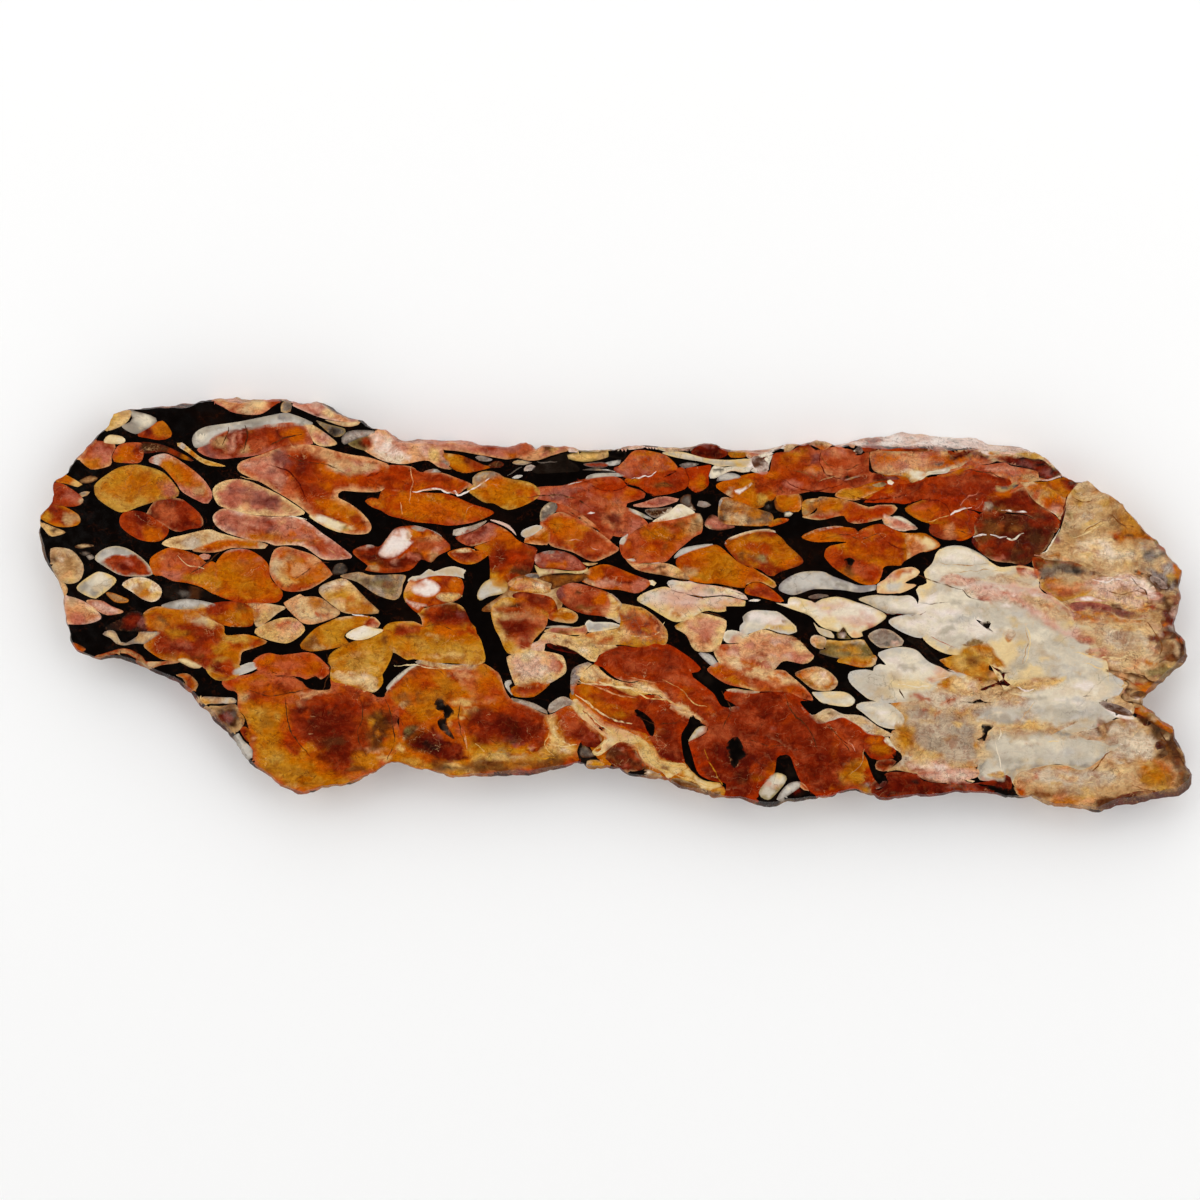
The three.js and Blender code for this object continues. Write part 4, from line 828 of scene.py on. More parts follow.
 rust 348 -139 16 4,sand 334 -45 12 4
maroon maroon|-420 -284,14 8,20 24,26 12,4 -14,26 -24,14 4,9 12,3 -22,14 -26,-30 -14,-36 5,-20 11,
 -36 14|black 70 -12 24 8,brick 36 22 16 14,brick 96 -18 14 10,plum 60 20 10 16,brick 110 -14 8 14
rust amber|-340 -240,24 18,14 -2,8 -10,-12 -44,-10 0,-18 26|straw 8 0 8 10,straw 32 11 10 4,
 terracotta 30 -16 8 10,maroon 24 -34 6
soot umber|-366 -204,4 8,10 4,26 -26,0 -6,-15 -16,16 -34,-23 14,-8 10,-3 12,13 12,-16 12|
 black 20 -12 18 12,black 16 -40 8 12
umber tan|-428 -250,35 8,1 -6,-24 -26,-13 -4|moss 12 -4 14 9,black 0 -20 5 8,black 30 3 6 5
pearl bone|-224 -159,11 3,3 -6,-6 -6,7 -19,-14 17
orange amber|-206 -188,30 -3,16 5,26 24,-36 4,-42 -14|rust 48 20 10 6,terracotta 30 5 16 5,
 amber 10 14 12 6,umber 66 22 6 4
straw cream crumb|-220 -118,4 11,36 11,22 0,40 -8,12 -8,5 -24,-9 -12,-34 -19,-12 5,-30 -7,-14 1,
 -7 8|straw 30 -2 24 14,cream 54 -28 20 10,sand 74 8 16 7,tan 36 12 16 5,ivory 88 -38 12 5
red terracotta|-144 -114,10 6,24 -10,6 -10,-14 -16,-24 22|brick 28 -8 8
ash mist|-212 -192,44 -10,28 -16,1 -6,-27 10,-30 10
ash mist|-136 -206,22 16,14 -1,16 -11,-2 -6,-14 1,-34 -16
black maroon|-240 -339,20 -3,24 2,26 -2,24 4,42 11,24 8,14 -1,-4 -12,-30 -6,-40 -8,-40 -8,-30 -2,
 -34 0,-56 -2,-50 0,-10 16,20 -6,30 -2,40 0
brick red|-46 -124,20 25,20 9,22 2,22 -3,36 8,20 0,18 -6,32 -21,14 -12,10 -12,-6 -6,-13 -2,3 -8,
 28 -22,14 -12,8 -14,8 -10,18 -4,10 2,-8 8,-14 8,-3 10,7 8,16 0,20 -5,24 -1,30 2,30 0,20 -8,14 -8,
 10 -2,-18 -2,26 -30,18 -9,24 3,16 6,20 -8,34 -23,22 -3,14 -12,16 -18,2 -14,-12 -6,-26 -2,-14 5,
 -10 11,12 -40,8 -16,10 -12,-12 -6,-24 -2,-24 4,-46 -16,-26 0,-14 10,-20 32,-14 36,-14 4,-12 -6,
 -6 -32,-22 -22,-8 -14,-4 -16,-20 -2,-24 6,-20 3,2 25,-18 4,-24 8,-16 14,-12 40,-5 18,7 6,16 4,12 8,
 4 10,-6 6,-10 4,-10 8,-10 4,-4 -12,-10 -16,-4 -14,4 -34,4 -14,-14 -2,-22 3,-16 11,-20 38,-16 10,
 -38 8,-20 6,-16 8,-18 12,-10 16,-12 14,-16 10,-6 12,16 10,32 4,30 -4,30 -12,24 -10,36 0,12 -8,
 -22 30,-16 8,-24 -4,-24 4,-20 12,-16 14|rust 66 -2 50 24,red 152 0 40 24,rust 90 -20 40 9,
 terracotta 166 -40 30 20,red 200 -66 30 24,brick 226 -90 26 20,amber -4 -62 24 18,
 orange 0 -82 24 14,rust 50 -76 40 20,brick 70 -112 30 10,red 110 -86 20 10,brick 62 -122 30 8,
 rust 150 -100 30 24,red 162 -136 30 20,maroon 140 -152 26 16,maroon 150 -180 24 12,
 orange 132 -132 14 8,rust 172 -86 14 10,brick 232 -166 30 24,maroon 236 -200 30 24,
 red 216 -192 16 20,maroon 246 -228 24 10,maroon 292 -236 30 24,maroon 306 -176 20 50,
 brick 302 -100 40 30,brick 376 -96 40 30,red 322 -216 24,orange 350 -214 10 16,amber 332 -230 18 8,
 brick 426 -146 30,red 416 -186 18 30,rust 466 -166 34 20,maroon 462 -226 34 24,
 brick 486 -132 30 12,rust 520 -154 20 12,amber 512 -210 34 16,gold 516 -226 26 12,
 orange 532 -190 10 14,amber 580 -170 20 14,orange 566 -150 20 7,orange 492 -240 20 5,
 rust 496 -186 20 14,brick 346 -76 40 14,maroon 340 -186 20
steel ash|-92 -144,8 14,26 10,8 -4,-12 -10,-16 -26,-10 -26,-5 10
straw gold crumb|-70 -144,20 18,10 2,6 -10,26 -20,38 -8,20 6,18 0,10 -8,18 -28,-14 6,-18 2,-30 -6,
 -16 6,-32 14,-20 6,-38 4|amber 44 -10 14 5,cream 140 -22 10 8,cream 16 -2 14 8,gold 24 16 9 5,
 orange 110 -18 16 5,straw 132 -34 16 5
cream straw crumb|-90 -198,10 4,20 -24,10 -10,30 -20,40 -10,34 -18,10 -10,4 -14,22 -18,40 -4,10 -8,
 -28 -18,-12 -2,-10 10,-40 26,-12 24,-32 10,-30 -20,-14 -8,-12 8,24 24,-6 12,-28 24,-16 10,-18 24|
 gold 186 -136 24 10,amber 214 -130 14 5,peach 70 -96 14 9,gold 50 -100 10 5,orange 68 -80 10 6
black umber|-34 -254,5 4,7 -3,-4 -6,-7 1
rust maroon|-90 -240,10 -6,14 0,28 -24,6 -14,-8 -8,-30 6,-4 12,-16 10|maroon 44 -44 14 7
rust maroon|2 -282,30 -8,16 -26,10 -10,-8 -10,-40 -2,-28 20,-4 10|brick 18 -12 14 7,
 maroon 8 -44 24 8
gold tan|-60 -318,16 4,24 -12,-10 -7,-34 -1|bone 4 -1 10 3,amber 10 -12 14 5
slate umber|-72 -286,12 -4,16 -18,-26 -3,-6 11|ash 14 -18 8 5,moss 4 -4 5
black soot|-76 -284,7 2,-3 -26,12 -4,36 -4,6 -10,12 -6,-4 -5,-16 5,0 8,-14 8,-20 -2,-8 -8,-8 8
tan ash|56 -334,30 -8,14 -16,-14 0,-30 14|gold 28 -15 10 4,ivory 4 -4 8 3
black soot|58 -326,26 -10,16 -18,-12 8,-28 14
cream gold|172 -356,34 -6,5 -6,-27 -8,-16 6,-22 20,-14 8,10 8|gold -16 10 7,straw 14 -10 16 5
brown tan|126 -368,20 4,38 -14,20 -1,6 -7,-6 -8,-12 1,-12 9,-24 6,-22 2|tan 70 -18 10 5,
 brown 24 -2 14 4
umber black|106 -356,14 4,40 -14,14 -10,-20 8,-32 -4,-12 8
black black|34 -224,6 10,34 -26,-2 -29,-10 7,-10 24
black black|134 -256,8 10,2 12,8 8,22 -21,-14 -2,-17 -21,-1 -16,11 -36,-5 -18,-10 12,-8 38
bone straw|143 -280,15 26,12 6,11 -2,-2 -10|ivory 23 22 10 6
black soot|218 -286,18 17,10 -7,11 -24,6 -6,-13 -7,-18 -21,-7 24
black soot|-48 -299,18 10,-2 -7,-8 -6
black black|154 -142,12 2,2 12,6 2,10 -14,30 -22,40 -8,14 -4,-32 2,-24 -12,2 -12,24 -11,-28 -2,
 -18 27,-32 28
orange terracotta|180 -134,14 10,14 4,22 -10,30 -2,30 -4,40 0,14 -8,36 -32,12 -20,-18 2,-44 12,
 -26 3,-24 0,-16 5,-44 10,-32 20|amber 66 -12 24 10,rust 36 -10 18 8,orange 126 -26 26 14,
 cream 88 -22 6 16,cream 100 -6 24 6,straw 84 -34 20 3,amber 156 -26 16 14,rust 184 -40 14 8,
 maroon 200 -54 10 5,brick 154 -8 10 5
bone tan|218 -176,16 3,20 -3,32 -3,-12 -5,-42 2
tan bone|223 -212,11 3,12 -1,-4 -10,-14 1
black black|319 -130,21 5,30 -1,26 10,4 12,30 -12,14 -8,16 -5,46 -3,10 6,-8 -10,-38 -1,-8 -9,2 -14,
 12 -14,30 -22,14 -3,-40 -1,-14 14,-16 7,-30 -1,-26 1,-8 9,-32 26
gold sand|356 -142,40 13,28 -10,18 -21,-14 -17,-34 2,-28 21|amber 20 2 14 7,straw 50 -18 8 16,
 brown 76 -22 8,amber 64 -26 8 6,gold 60 -6 16 9,orange 12 -2 10 6,rose 80 -14 5 6
bone cream|390 -182,12 2,52 0,22 -16,-12 -13,-36 3,-18 4|cream 44 -12 24 8,pearl 10 -6 9 6,
 ivory 80 -17 8 5
black black|386 -200,14 2,40 -11,20 -1,16 4,18 -14,30 -28,14 -6,-14 2,-34 24,-36 4,-16 9,-18 1,
 -20 -9,-10 13,-24 11
sand bone|368 -206,22 -20,22 10,16 3,24 -11,38 -4,32 -21,30 -17,-16 -3,-36 5,-12 12,-20 12,-20 8,
 -38 -12,-14 4,-24 22|moss 54 -20 9 4,bone 126 -40 18 9,cream 32 -28 10,straw 158 -54 14 5
bone pearl|466 -140,32 5,14 -3,2 8,12 6,12 -2,-16 20,8 8,34 8,34 -6,26 -24,36 -14,40 -12,0 -24,
 -30 -6,-30 -10,-40 -12,-30 -2,-30 -2,-32 6,-16 10,-27 26|bone 104 20 40 20,bone 44 -20 30 14,
 cream 114 -20 40 16,peach 168 -10 24 7,pink 184 2 20 6,terracotta 162 -10 10 5,sand 94 -46 30 10
bone pearl|478 -210,10 9,38 2,20 -5,26 -22,2 -16,-14 -12,-34 6,-34 26
sand tan|546 -204,18 4,20 1,22 7,24 6,30 6,30 8,30 6,30 12,20 -16,30 -16,40 -8,40 -6,40 -4,20 -16,
 -20 -20,-40 -20,-40 -20,-40 -16,-40 -14,-40 -16,-40 -8,-40 -2,-30 -8,-30 4,-22 4,-18 -3,30 25,
 -6 14,-12 12,-6 14,4 16,14 6,10 12,-4 16,-10 10|tan 74 -26 30 20,gold 34 -70 18 16,ochre 30 -30 10,
 straw 60 -80 20 14,brown 60 -10 24 4,amber 18 -6 16 3,straw 114 -36 24 20,bone 34 -110 20 10,
 bone 74 -112 14 7,pink 104 -122 20 6,sand 94 0 30 8,amber 50 6 24 4,rust 50 -105 5 3,
 tan 154 -16 40 24,sand 214 -16 40 20,straw 274 -36 40 20
maroon brick|534 -346,16 6,40 -2,14 -6,10 -10,46 -6,30 0,30 2,30 6,30 10,10 -14,-10 -20,-60 -8,
 -60 -1,-60 -1,-40 -2,-20 -4,-30 10,-2 12,16 -2,12 8,6 10|brick 50 -6 20 9,maroon 46 -28 40 12,
 brick 112 -28 24 6,soot 12 -40 16 6,maroon 186 -28 30 10
blush peach crumb|600 -344,20 6,24 4,26 4,30 0,24 -6,-4 -14,-30 -8,-30 -4,-30 2,-18 6|
 rose 60 10 18 5,bone 24 -6 10 5,pink 40 -10 16 4
rust brick|520 -318,30 4,9 -5,-19 -19,-22 4|brick 8 -6 12 4
black black|490 -298,8 -2,8 -12,12 -3,-2 -21,22 -12,2 -8,-11 -6,-11 8,-14 32
black black|550 -306,10 8,8 -4,2 -8,-16 -2
pink bone|514 -366,10 0,8 8,8 0,-4 -10,-18 -6
brown tan|478 -370,28 12,4 -12,-2 -14,-6 -5|gold 18 -6 8,ash 26 6 5
ivory tan|542 -270,20 -28,-8 4,-14 8,-8 10|slate -2 -14 6 3
black black|322 -312,22 6,12 -28,14 -30,28 -25,-8 -9,-30 -1,-30 -5,-30 -4,-24 6,10 10,24 8,22 14,
 8 14,-6 12,-14 4|maroon 38 -68 8 6
bone olive|282 -376,8 12,24 22,24 -6,-2 -14,-22 -26,-12 -8,-14 6|cream 44 28 9 6,rust 36 10 9 5,
 maroon 28 4 10 4,olive 14 -10 8 6,pink 22 17 8 4,tan 42 7 12 3
pearl ash|322 -388,20 24,24 5,0 -11,-22 -16,-18 -12|ivory 28 22 8 5
rust peach|366 -360,10 -6,8 -12,-10 2,-8 6
bone pearl|780 -190,30 2,34 6,26 4,26 14,24 24,30 10,26 -6,24 -14,14 -12,-10 -24,-30 -12,12 -20,
 18 -8,-24 -14,-30 -10,-40 -4,-40 2,-36 6,-10 26|bone 120 -10 50 24,cream 160 40 30 14,
 pearl 140 -30 30 14
sand tan|980 -196,20 12,14 -14,20 -8,-4 -24,-30 -2,-16 8
bone ash|736 -274,8 18,20 2,46 -2,30 2,40 -4,40 -8,26 -14,28 -6,16 -6,-30 -28,-20 -12,-24 2,-36 6,
 -40 -6,-56 -10,-8 -20,-26 2,-24 2,-6 16,6 30|ash 54 -6 24 20,bone 144 -32 40 14,pink 14 -82 16 5
black soot|622 -110,42 -26,12 -5,-14 2,-16 10,-30 15
tan straw|624 -168,20 8,16 12,20 6,36 -12,12 -10,-4 -26,-18 -8,-18 -1,-24 -17,-20 6,-34 20|
 gold 46 4 18 9,straw 70 -16 22 10,ivory 86 2 12 10,brown 30 -26 20 4,sand 16 -32 16 6,
 bone 82 12 10 4,amber 30 -2 10 4
ochre brown|666 -132,28 23,26 5,24 -6,0 -26,16 -3,8 -15,-36 -15,-8 10,-34 19|amber 58 -8 14 9,
 rust 68 -18 9,peach 90 -15 9 8,orange 74 -30 10 3,ochre 34 8 20 12
black maroon|749 -128,23 -10,14 -3,-10 -3,-2 -10,20 -18,-28 6,-34 -12,-8 2,12 6,30 12,4 10
tan sand|790 -164,40 16,30 2,26 -3,10 -9,-30 -20,-22 -2,-44 -8,-40 -1,-20 5,-4 6,38 6|
 amber 86 8 16 7,peach 40 10 20 8,straw 40 -4 20 6,brown -26 -20 16 5,sand 0 -16 20 5
soot black|690 -199,20 0,16 5,8 -5,22 -2,-46 -2
soot black|730 -244,24 -4,-12 -12,-6 -18,-20 4,14 4
tan amber|620 -246,44 6,20 -8,22 -8,20 -28,4 -16,-10 -30,-40 -2,-40 16,-20 6,-16 14,0 26|
 straw 40 -44 20 12,gold 86 -44 12 14,tan 20 -24 20 10,amber 96 -74 8 9,bone 50 -68 16 6
rust tan|648 -226,16 7,20 3,8 7,10 -5,2 -10,-10 -5,-34 -1|brick 48 8 7
bone straw|714 -244,6 18,14 12,26 8,30 -2,24 2,10 -10,-24 -26,-14 -8,-22 0,-18 8|straw 56 20 30 12,
 olive 76 8 16 5,bone 20 18 14 8,sand 86 30 16 6
tan sand|806 -274,38 -6,20 0,16 4,6 10,34 6,30 6,26 10,24 10,30 4,24 -10,-28 -36,-12 -8,-14 0,
 -14 -4,-22 10,-28 2,-30 -2,-22 -6,-24 -2,-40 -6,-12 6|rose 184 2 16 7,peach 164 6 14 5,
 rust 220 36 20 6,brown 228 28 18 5
peach tan|806 -340,38 10,26 4,30 -2,24 -8,20 6,32 28,18 4,16 -12,14 -16,26 -4,44 20,16 10,16 -4,
 8 -14,-14 -32,6 -16,-12 -14,-34 -2,-34 6,-26 -4,-20 -10,-16 -10,-44 -14,-30 4,-30 0,-40 14,-44 26,
 -2 14|tan 118 -40 30 12,brown 54 -46 26 8,amber 94 -62 30 7,ochre 130 -52 24 6,straw 218 4 20 10,
 tan 180 10 20 12,brown 210 -30 20 8,amber 268 10 24 10,gold 278 -14 30 14,ochre 274 -30 30 7,
 brown 300 26 20 7,brown 168 -54 16 8
bone cream crumb|698 -354,10 -2,8 -2,-4 -3,-12 3
rust pink crumb|656 -358,10 10,12 4,18 -14,18 -6,6 -6,30 -10,14 -6,-24 1,-30 1,-30 1,-20 -1,-10 8,
 12 10|maroon 28 2 10 4,rose 24 -18 16 5,rust 60 -19 20 4,olive 88 -22 10 3,brown 40 -12 10 3
black soot|720 -364,34 -4,32 -6,16 2,-4 -10,4 -7,-26 -1,-26 13
rust tan|796 -370,14 0,12 -8,-6 -10,-14 0
ochre tan|738 -344,28 8,10 -8,-4 -10,-26 2|tan 22 0 8
tan umber|976 -134,40 -8,20 0,34 -16,20 -1,10 5,-24 -18,-18 -18,-2 -10,2 -8,-44 12,-6 10,14 20,
 -8 8,-30 14|peach 34 -14 16 5,amber 84 -34 14 8,rust 68 -28 18 4,umber 52 -42 10 4,
 orange 86 -44 8 6,pink 40 -49 8 4,brown 48 -58 10 5,white 66 -61 9 3,sand 60 -20 12 4,
 maroon 66 -54 10 3,gold 76 -50 8 5,brown 74 -69 8 3
olive tan|1024 -146,16 10,20 2,34 16,20 -4,18 -2,-8 -12,-26 -20,-28 0,-30 13|moss 36 6 16 5,
 plum 58 -6 10 4,straw 82 16 12 5,brown 72 12 8 4,tan 52 14 10 4,umber 70 -8 6 3
amber rust|1034 -212,32 -2,28 -16,26 -18,6 -9,-4 -10,-48 21,-28 20,-12 4|olive 40 -16 10 4,
 orange 70 -34 14 6,sand 42 -26 9 4,umber 80 -48 10 3,rust 64 -40 10 4,tan 16 -4 8 4,pink 30 -8 6 3
umber maroon|1040 -224,26 -14,2 -6,-12 -4,-18 14|black 16 -17 8 3
slate olive|1072 -258,14 2,34 -14,12 -10,-6 -4,-32 12,-12 -2
maroon umber crumb|1078 -280,32 1,28 -11,16 -28,-10 -2,-20 18,-30 10,-14 -4|soot 66 -30 9 6
sand rust crumb|1100 -332,16 6,30 6,18 -20,-8 -14,0 -12,-30 -26,-6 8,10 14,-4 14,4 10,-28 8|
 plum 50 -12 9 6,ash 40 -32 9 7,slate 34 -44 7 5
brick maroon crumb|960 -418,30 18,14 10,40 12,42 -4,24 0,16 -6,-26 -8,-40 -8,-30 2,-20 -4,-36 -10
umber black|964 -198,12 0,32 -12,12 -2,-16 -1,-34 9
white ivory|976 -209,46 -6,12 -5,-16 -7,-30 9
straw ivory crumb|1006 -172,6 8,8 -2,-6 -6
brick rust wash|-660 -200,90 20,60 -14,36 -36,8 -50,-24 -34,-60 -14,-104 52|brick 90 -40 70 40,
 maroon 130 -110 50 14,rust 60 -4 40 14,red 100 -10 40 12,orange 174 -50 14 20,amber 176 -76 12 10
honey amber wash|-744 -196,80 -24,4 -64,44 -32,56 -20,60 -8,0 -26,-80 -10,-80 6,-50 48,-30 56|
 honey 54 -34 30 20,ochre 70 -22 20 10,gold 44 -108 30 20,amber 114 -144 50 16,honey 174 -154 40 12,
 amber 30 -64 20
rust terracotta wash|-766 -154,46 8,94 -22,-4 -26,-44 -10,-86 24|terracotta 46 -6 24 8,
 brick 100 -20 26 12,orange 16 -16 16 8
peach terracotta wash|-644 -206,18 22,42 2,-26 -10,-20 -22
maroon brick wash|-420 -294,48 48,16 -18,46 -12,10 -28,-36 -18|maroon 60 8 30 16,black 54 -2 16 8,
 brick 90 -2 16 14
honey ochre wash|-434 -294,58 -28,42 -12,-26 -10,-100 20|ochre 24 -22 20 8
orange brown wash|-446 -158,82 20,30 -24,-40 -36,6 -28,-36 -6,-60 44|brown 20 -36 22 12,
 rust 60 -2 30 10,brown 66 -28 20 8,amber 42 -56 16 8,umber 10 -62 14 6
terracotta peach wash|-334 -130,58 0,50 -50,-18 -22,-42 2|peach 40 -16 20 6,orange 70 -36 20 10,
 rust 84 -60 16 6
brick rust wash|-296 -216,92 18,70 -48,2 -38,-32 -12,-60 8,-62 0|maroon 42 -44 30 14,
 plum 72 -60 24 8,brick 116 -30 30 20,red 86 -4 30 8
ochre amber wash|-300 -294,50 2,50 -12,54 10,10 34,50 -28,6 -22,-50 -16,-80 -14,-70 2|
 straw 80 -16 30 8,brown 44 -26 20 6,ochre 190 -4 20 8,umber 120 -34 30 5,gold 16 -12 16 8
cream straw wash|-138 -226,10 -2,14 -52,-10 -16,-10 32
brick maroon wash|-390 -14,30 18,60 -18,14 -30,-24 -12,-76 16|maroon 54 -14 24 14,rust 24 4 16 8,
 plum 76 -6 10
brick rust wash|-448 -46,48 2,2 -18,-26 -8,-22 4
honey gold wash|-390 -60,50 -6,44 10,28 -54,-96 -4,-66 20|gold 86 -36 20 14,straw 30 -44 30 8,
 honey 50 -20 30 10,orange -16 -24 20 8
honey gold wash|-566 -100,96 36,0 -70,-44 4,-46 -16|gold 76 6 24 16,brown 30 -24 24 6,
 honey 26 -4 20 10
cream straw wash|-546 -138,32 0,36 -12,-6 -20,-36 12|ivory 40 -14 16 5,brown 36 -4 16 3
rust terracotta wash|-248 -4,88 14,18 -26,-2 -18,-100 6|brown 28 -2 16 6,soot 48 -4 14 4,
 orange 84 -14 16 8
maroon brick wash|-240 -32,86 -8,-8 -20,-32 -20,-32 20|maroon 34 -14 26 8,brick 52 -38 14 10
brick orange wash|-40 -64,34 2,30 42,36 -10,30 -30,-6 -18,-44 2,-86 -2|rust 90 8 24 14,
 brick 114 4 12 10,orange 24 -6 20 6
terracotta rose wash|-146 -104,22 2,20 -34,-20 -10,-22 16|rose 26 -26 10 8
terracotta orange wash|-206 -170,32 6,28 -6,-18 -18,-36 2
brick rust wash|-40 -104,50 14,104 0,40 -34,10 -12,-110 -10,-54 4|brick 110 -2 40 10,
 rust 34 -16 20 10,maroon 124 6 30 4
cream orange wash|-74 -126,30 6,28 -22,90 -24,30 -20,-8 -14,-32 16,-94 28,-36 4|cream 18 -10 16 8,
 straw 154 -54 14 8,peach 94 -38 20 6
orange rust wash|-84 -154,94 -26,36 -24,-20 -30,-36 -2,-74 52|amber 24 -16 20 10,rust 74 -46 30 14,
 brick 104 -64 16 8,orange 44 -50 20 8
rust orange wash|86 -174,38 24,76 -66,-34 -14,-50 24|rust 58 -10 30 12,terracotta 28 -6 14 8
amber cream wash|120 -206,24 0,40 -40,-34 8,-26 16|straw 20 -12 10 6
rust amber fill|-94 -192,30 12,94 -50,60 -70,40 -16,16 -30,-62 -10,-34 26,-40 14,-34 -10,-32 42,
 26 10|orange 30 -12 20 8,orange 148 -88 20 8,amber 198 -134 20 10,brick 114 -88 20 8
brick maroon fill|-82 -210,18 -4,34 -62,-40 -2,-16 38
brick rust wash|-130 -228,40 20,54 -56,-10 -18,-74 14|rust 36 -2 20 12,maroon 74 -42 16 6
peach cream wash|-88 -196,22 -8,36 -36,44 -16,56 -62,66 -16,-36 -10,-44 20,-32 40,-54 24|
 straw 178 -134 20 8,cream 88 -62 20 6
brick maroon wash|-14 -296,28 12,40 -36,-24 -12,-36 8
brick maroon wash|80 -254,40 -10,10 -26,-16 -26,-28 16|maroon 30 -26 14
ochre amber fill|94 -330,36 6,50 -40,34 -6,-10 -22,-84 18|straw 76 -34 16 6,brown 46 -40 20 8
maroon black fill|-330 -336,70 -6,80 0,104 30,-24 -24,-80 -20,-100 -2
brick maroon wash|150 -284,66 12,14 -72,-24 -12,-32 20|brick 36 -12 20,maroon 54 -46 20 12
brick maroon wash|220 -176,120 0,60 -60,40 6,70 -54,-14 -46,20 -44,-56 -10,-60 -2,-40 26,-12 50,
 -32 0,-6 -36,-26 -24,-4 -26,-56 10,6 56,-14 50,-32 22,16 28,26 14|rust 200 -94 50 16,
 maroon 50 -190 30 20,maroon 200 -190 40 16,brick 80 -64 60 30,maroon 86 -104 26 14,
 rust 120 -24 30 10,terracotta 250 -110 20 12,red 140 -124 20 14
honey ochre wash|436 -344,24 26,28 4,6 -50,-30 -8|gold 38 -2 16 12
peach cream wash|120 -44,50 14,40 -6,-16 -60,-34 0|rose 50 -24 24 16,orange 26 -10 10 6
peach cream wash|60 10,60 6,110 -12,-80 -30,-60 6|cream 30 -10 20 8,blush 90 -10 30 6,
 orange 50 -30 14 4
peach blush wash|220 -76,80 20,40 -12,46 -44,-46 -8,-24 -10,-82 16,-24 18|rose 80 -4 30 10,
 terracotta 20 -18 20 8,rose 64 -38 20 8,plum 150 -34 12 6,cream 106 -20 20 8
terracotta orange wash|190 -128,50 4,40 -16,50 -4,40 -30,-100 0|orange 40 -12 20 8,
 peach 120 -22 20 6,rust 160 -42 20 6
blush ivory wash|380 4,60 2,60 -16,26 -24,-46 -26,-80 36|ivory 80 -24 40 14,straw 40 -14 16 6,
 peach 104 -60 14 6
moss gold wash|400 -80,90 0,26 -24,-16 -20,-80 18|gold 60 -14 30 8,moss 30 -6 14 8,
 ochre 90 -34 20 6,soot 86 -4 14 4
orange terracotta wash|366 -140,34 10,30 -14,6 -22,-36 -8|straw 40 -14 10 14,peach 20 -6 10 6
pearl mist wash|820 -144,80 20,70 -16,36 -30,-26 -36,20 -28,-80 -10,-80 4,-50 14,14 40,56 12,20 18|
 pearl 120 -30 34 16,mist 60 -76 50 14,bone 20 -56 20 10
tan sand wash|790 -154,96 4,-6 -14,-50 -12,-36 2|peach 40 -6 30 6
mist pearl wash|746 -270,54 10,80 -6,100 -38,-30 -20,-90 -4,-70 -6,-40 -6|mist 54 -20 30 20,
 pearl 154 -30 50 12,sand 94 -46 30 8
mist bone wash|640 0,80 10,80 -10,100 -40,0 -60,-40 -30,-80 -10,20 60,-40 26,-60 -10,-80 4|
 pearl 60 -20 50 20,bone 200 -80 30
tan straw wash|556 -200,64 10,80 -16,30 -84,-20 -44,-70 4,-70 20|brown 64 -20 40 8,
 sand 104 -70 40 20,tan 134 -40 30 12,terracotta 104 -16 30 5,straw 64 -100 30 10,brown 24 -6 30 5
gold amber wash|550 -250,24 16,20 -22,-2 -30,-22 -16|honey 20 -20 16,ochre 28 0 14 10
tan brown wash|800 -340,60 10,60 -2,50 18,40 8,110 -24,14 -30,-74 -20,-80 -20,-80 0,-80 24|
 sand 80 -20 50 12,mist 160 -10 40 20,ash 130 -40 30 10,tan 200 4 30 14,brown 80 -50 40 8,
 honey 290 -4 34 16,umber 230 -46 40 8
mist bone fill|870 -246,70 -10,90 30,-30 -38,-60 -10,-60 8
mist sand fill|760 -334,40 10,130 0,46 24,14 -10,-40 -34,-90 6,-60 -12,-10 -14,-30 4
tan brown fill|980 -310,60 70,-10 50,50 -10,50 -50,40 -60,0 -50,-50 -40,-80 -16,-120 6,-114 26,
 -6 24,40 30,80 0|mist 70 26 22 24,moss 106 40 14 16,umber 130 40 24 10,maroon 156 10 16 20,
 tan 40 10 20 10,maroon 60 -84 50 8,brown -100 -84 40 8,ash 166 -60 10 14,umber 120 4 20 10
tan brown fill|860 0,60 40,60 40,60 50,60 -30,60 -60,10 -120,-50 -60,-100 -60,-40 40,-80 80|
 pink 180 40 40 12,brown 220 0 30 10,plum 260 -20 16 30,sand 160 -40 50 20,umber 246 -66 20 6,
 olive 220 -130 30 16,cream 180 -80 30 10,brown 140 -136 40 5
terracotta peach wash|508 300,72 2,70 -6,20 -16,-90 -22,-60 0|peach 92 -20 30 10,rose 62 -26 20 6,
 orange 32 -10 30 8
maroon maroon|656 282,28 16,32 8,-6 -10,-30 -14
terracotta pink wash|700 292,50 -6,96 -26,-56 -14,-90 24|pink 60 -22 30 6,brick 20 -28 16 8,
 tan 110 -38 20 5,rose 90 -30 16 5
brick rust wash|520 220,120 30,60 14,50 -16,40 -10,-40 -28,-20 -24,-90 -16,-20 24,-60 6|
 rust 80 0 40 12,brick 180 10 30 14,maroon 200 38 20 6,red 140 -20 30 10
orange rust wash|576 186,24 14,40 -2,20 -20,-70 -8|terracotta 34 -2 20 8
maroon brown wash|710 130,30 40,60 10,84 -34,-24 -46,-34 -20,-66 0|umber 90 20 50 16,
 brick 30 -16 20 10,maroon 90 -30 40 12,brown 50 18 20 10,umber 140 0 20 14
brick orange wash|740 200,20 24,40 4,76 -68,-56 18|orange 30 14 20 8,brick 80 -4 30 10
olive tan|756 234,24 -2,20 10,-6 -12,-20 -12,-16 4|slate 18 -4 10 4
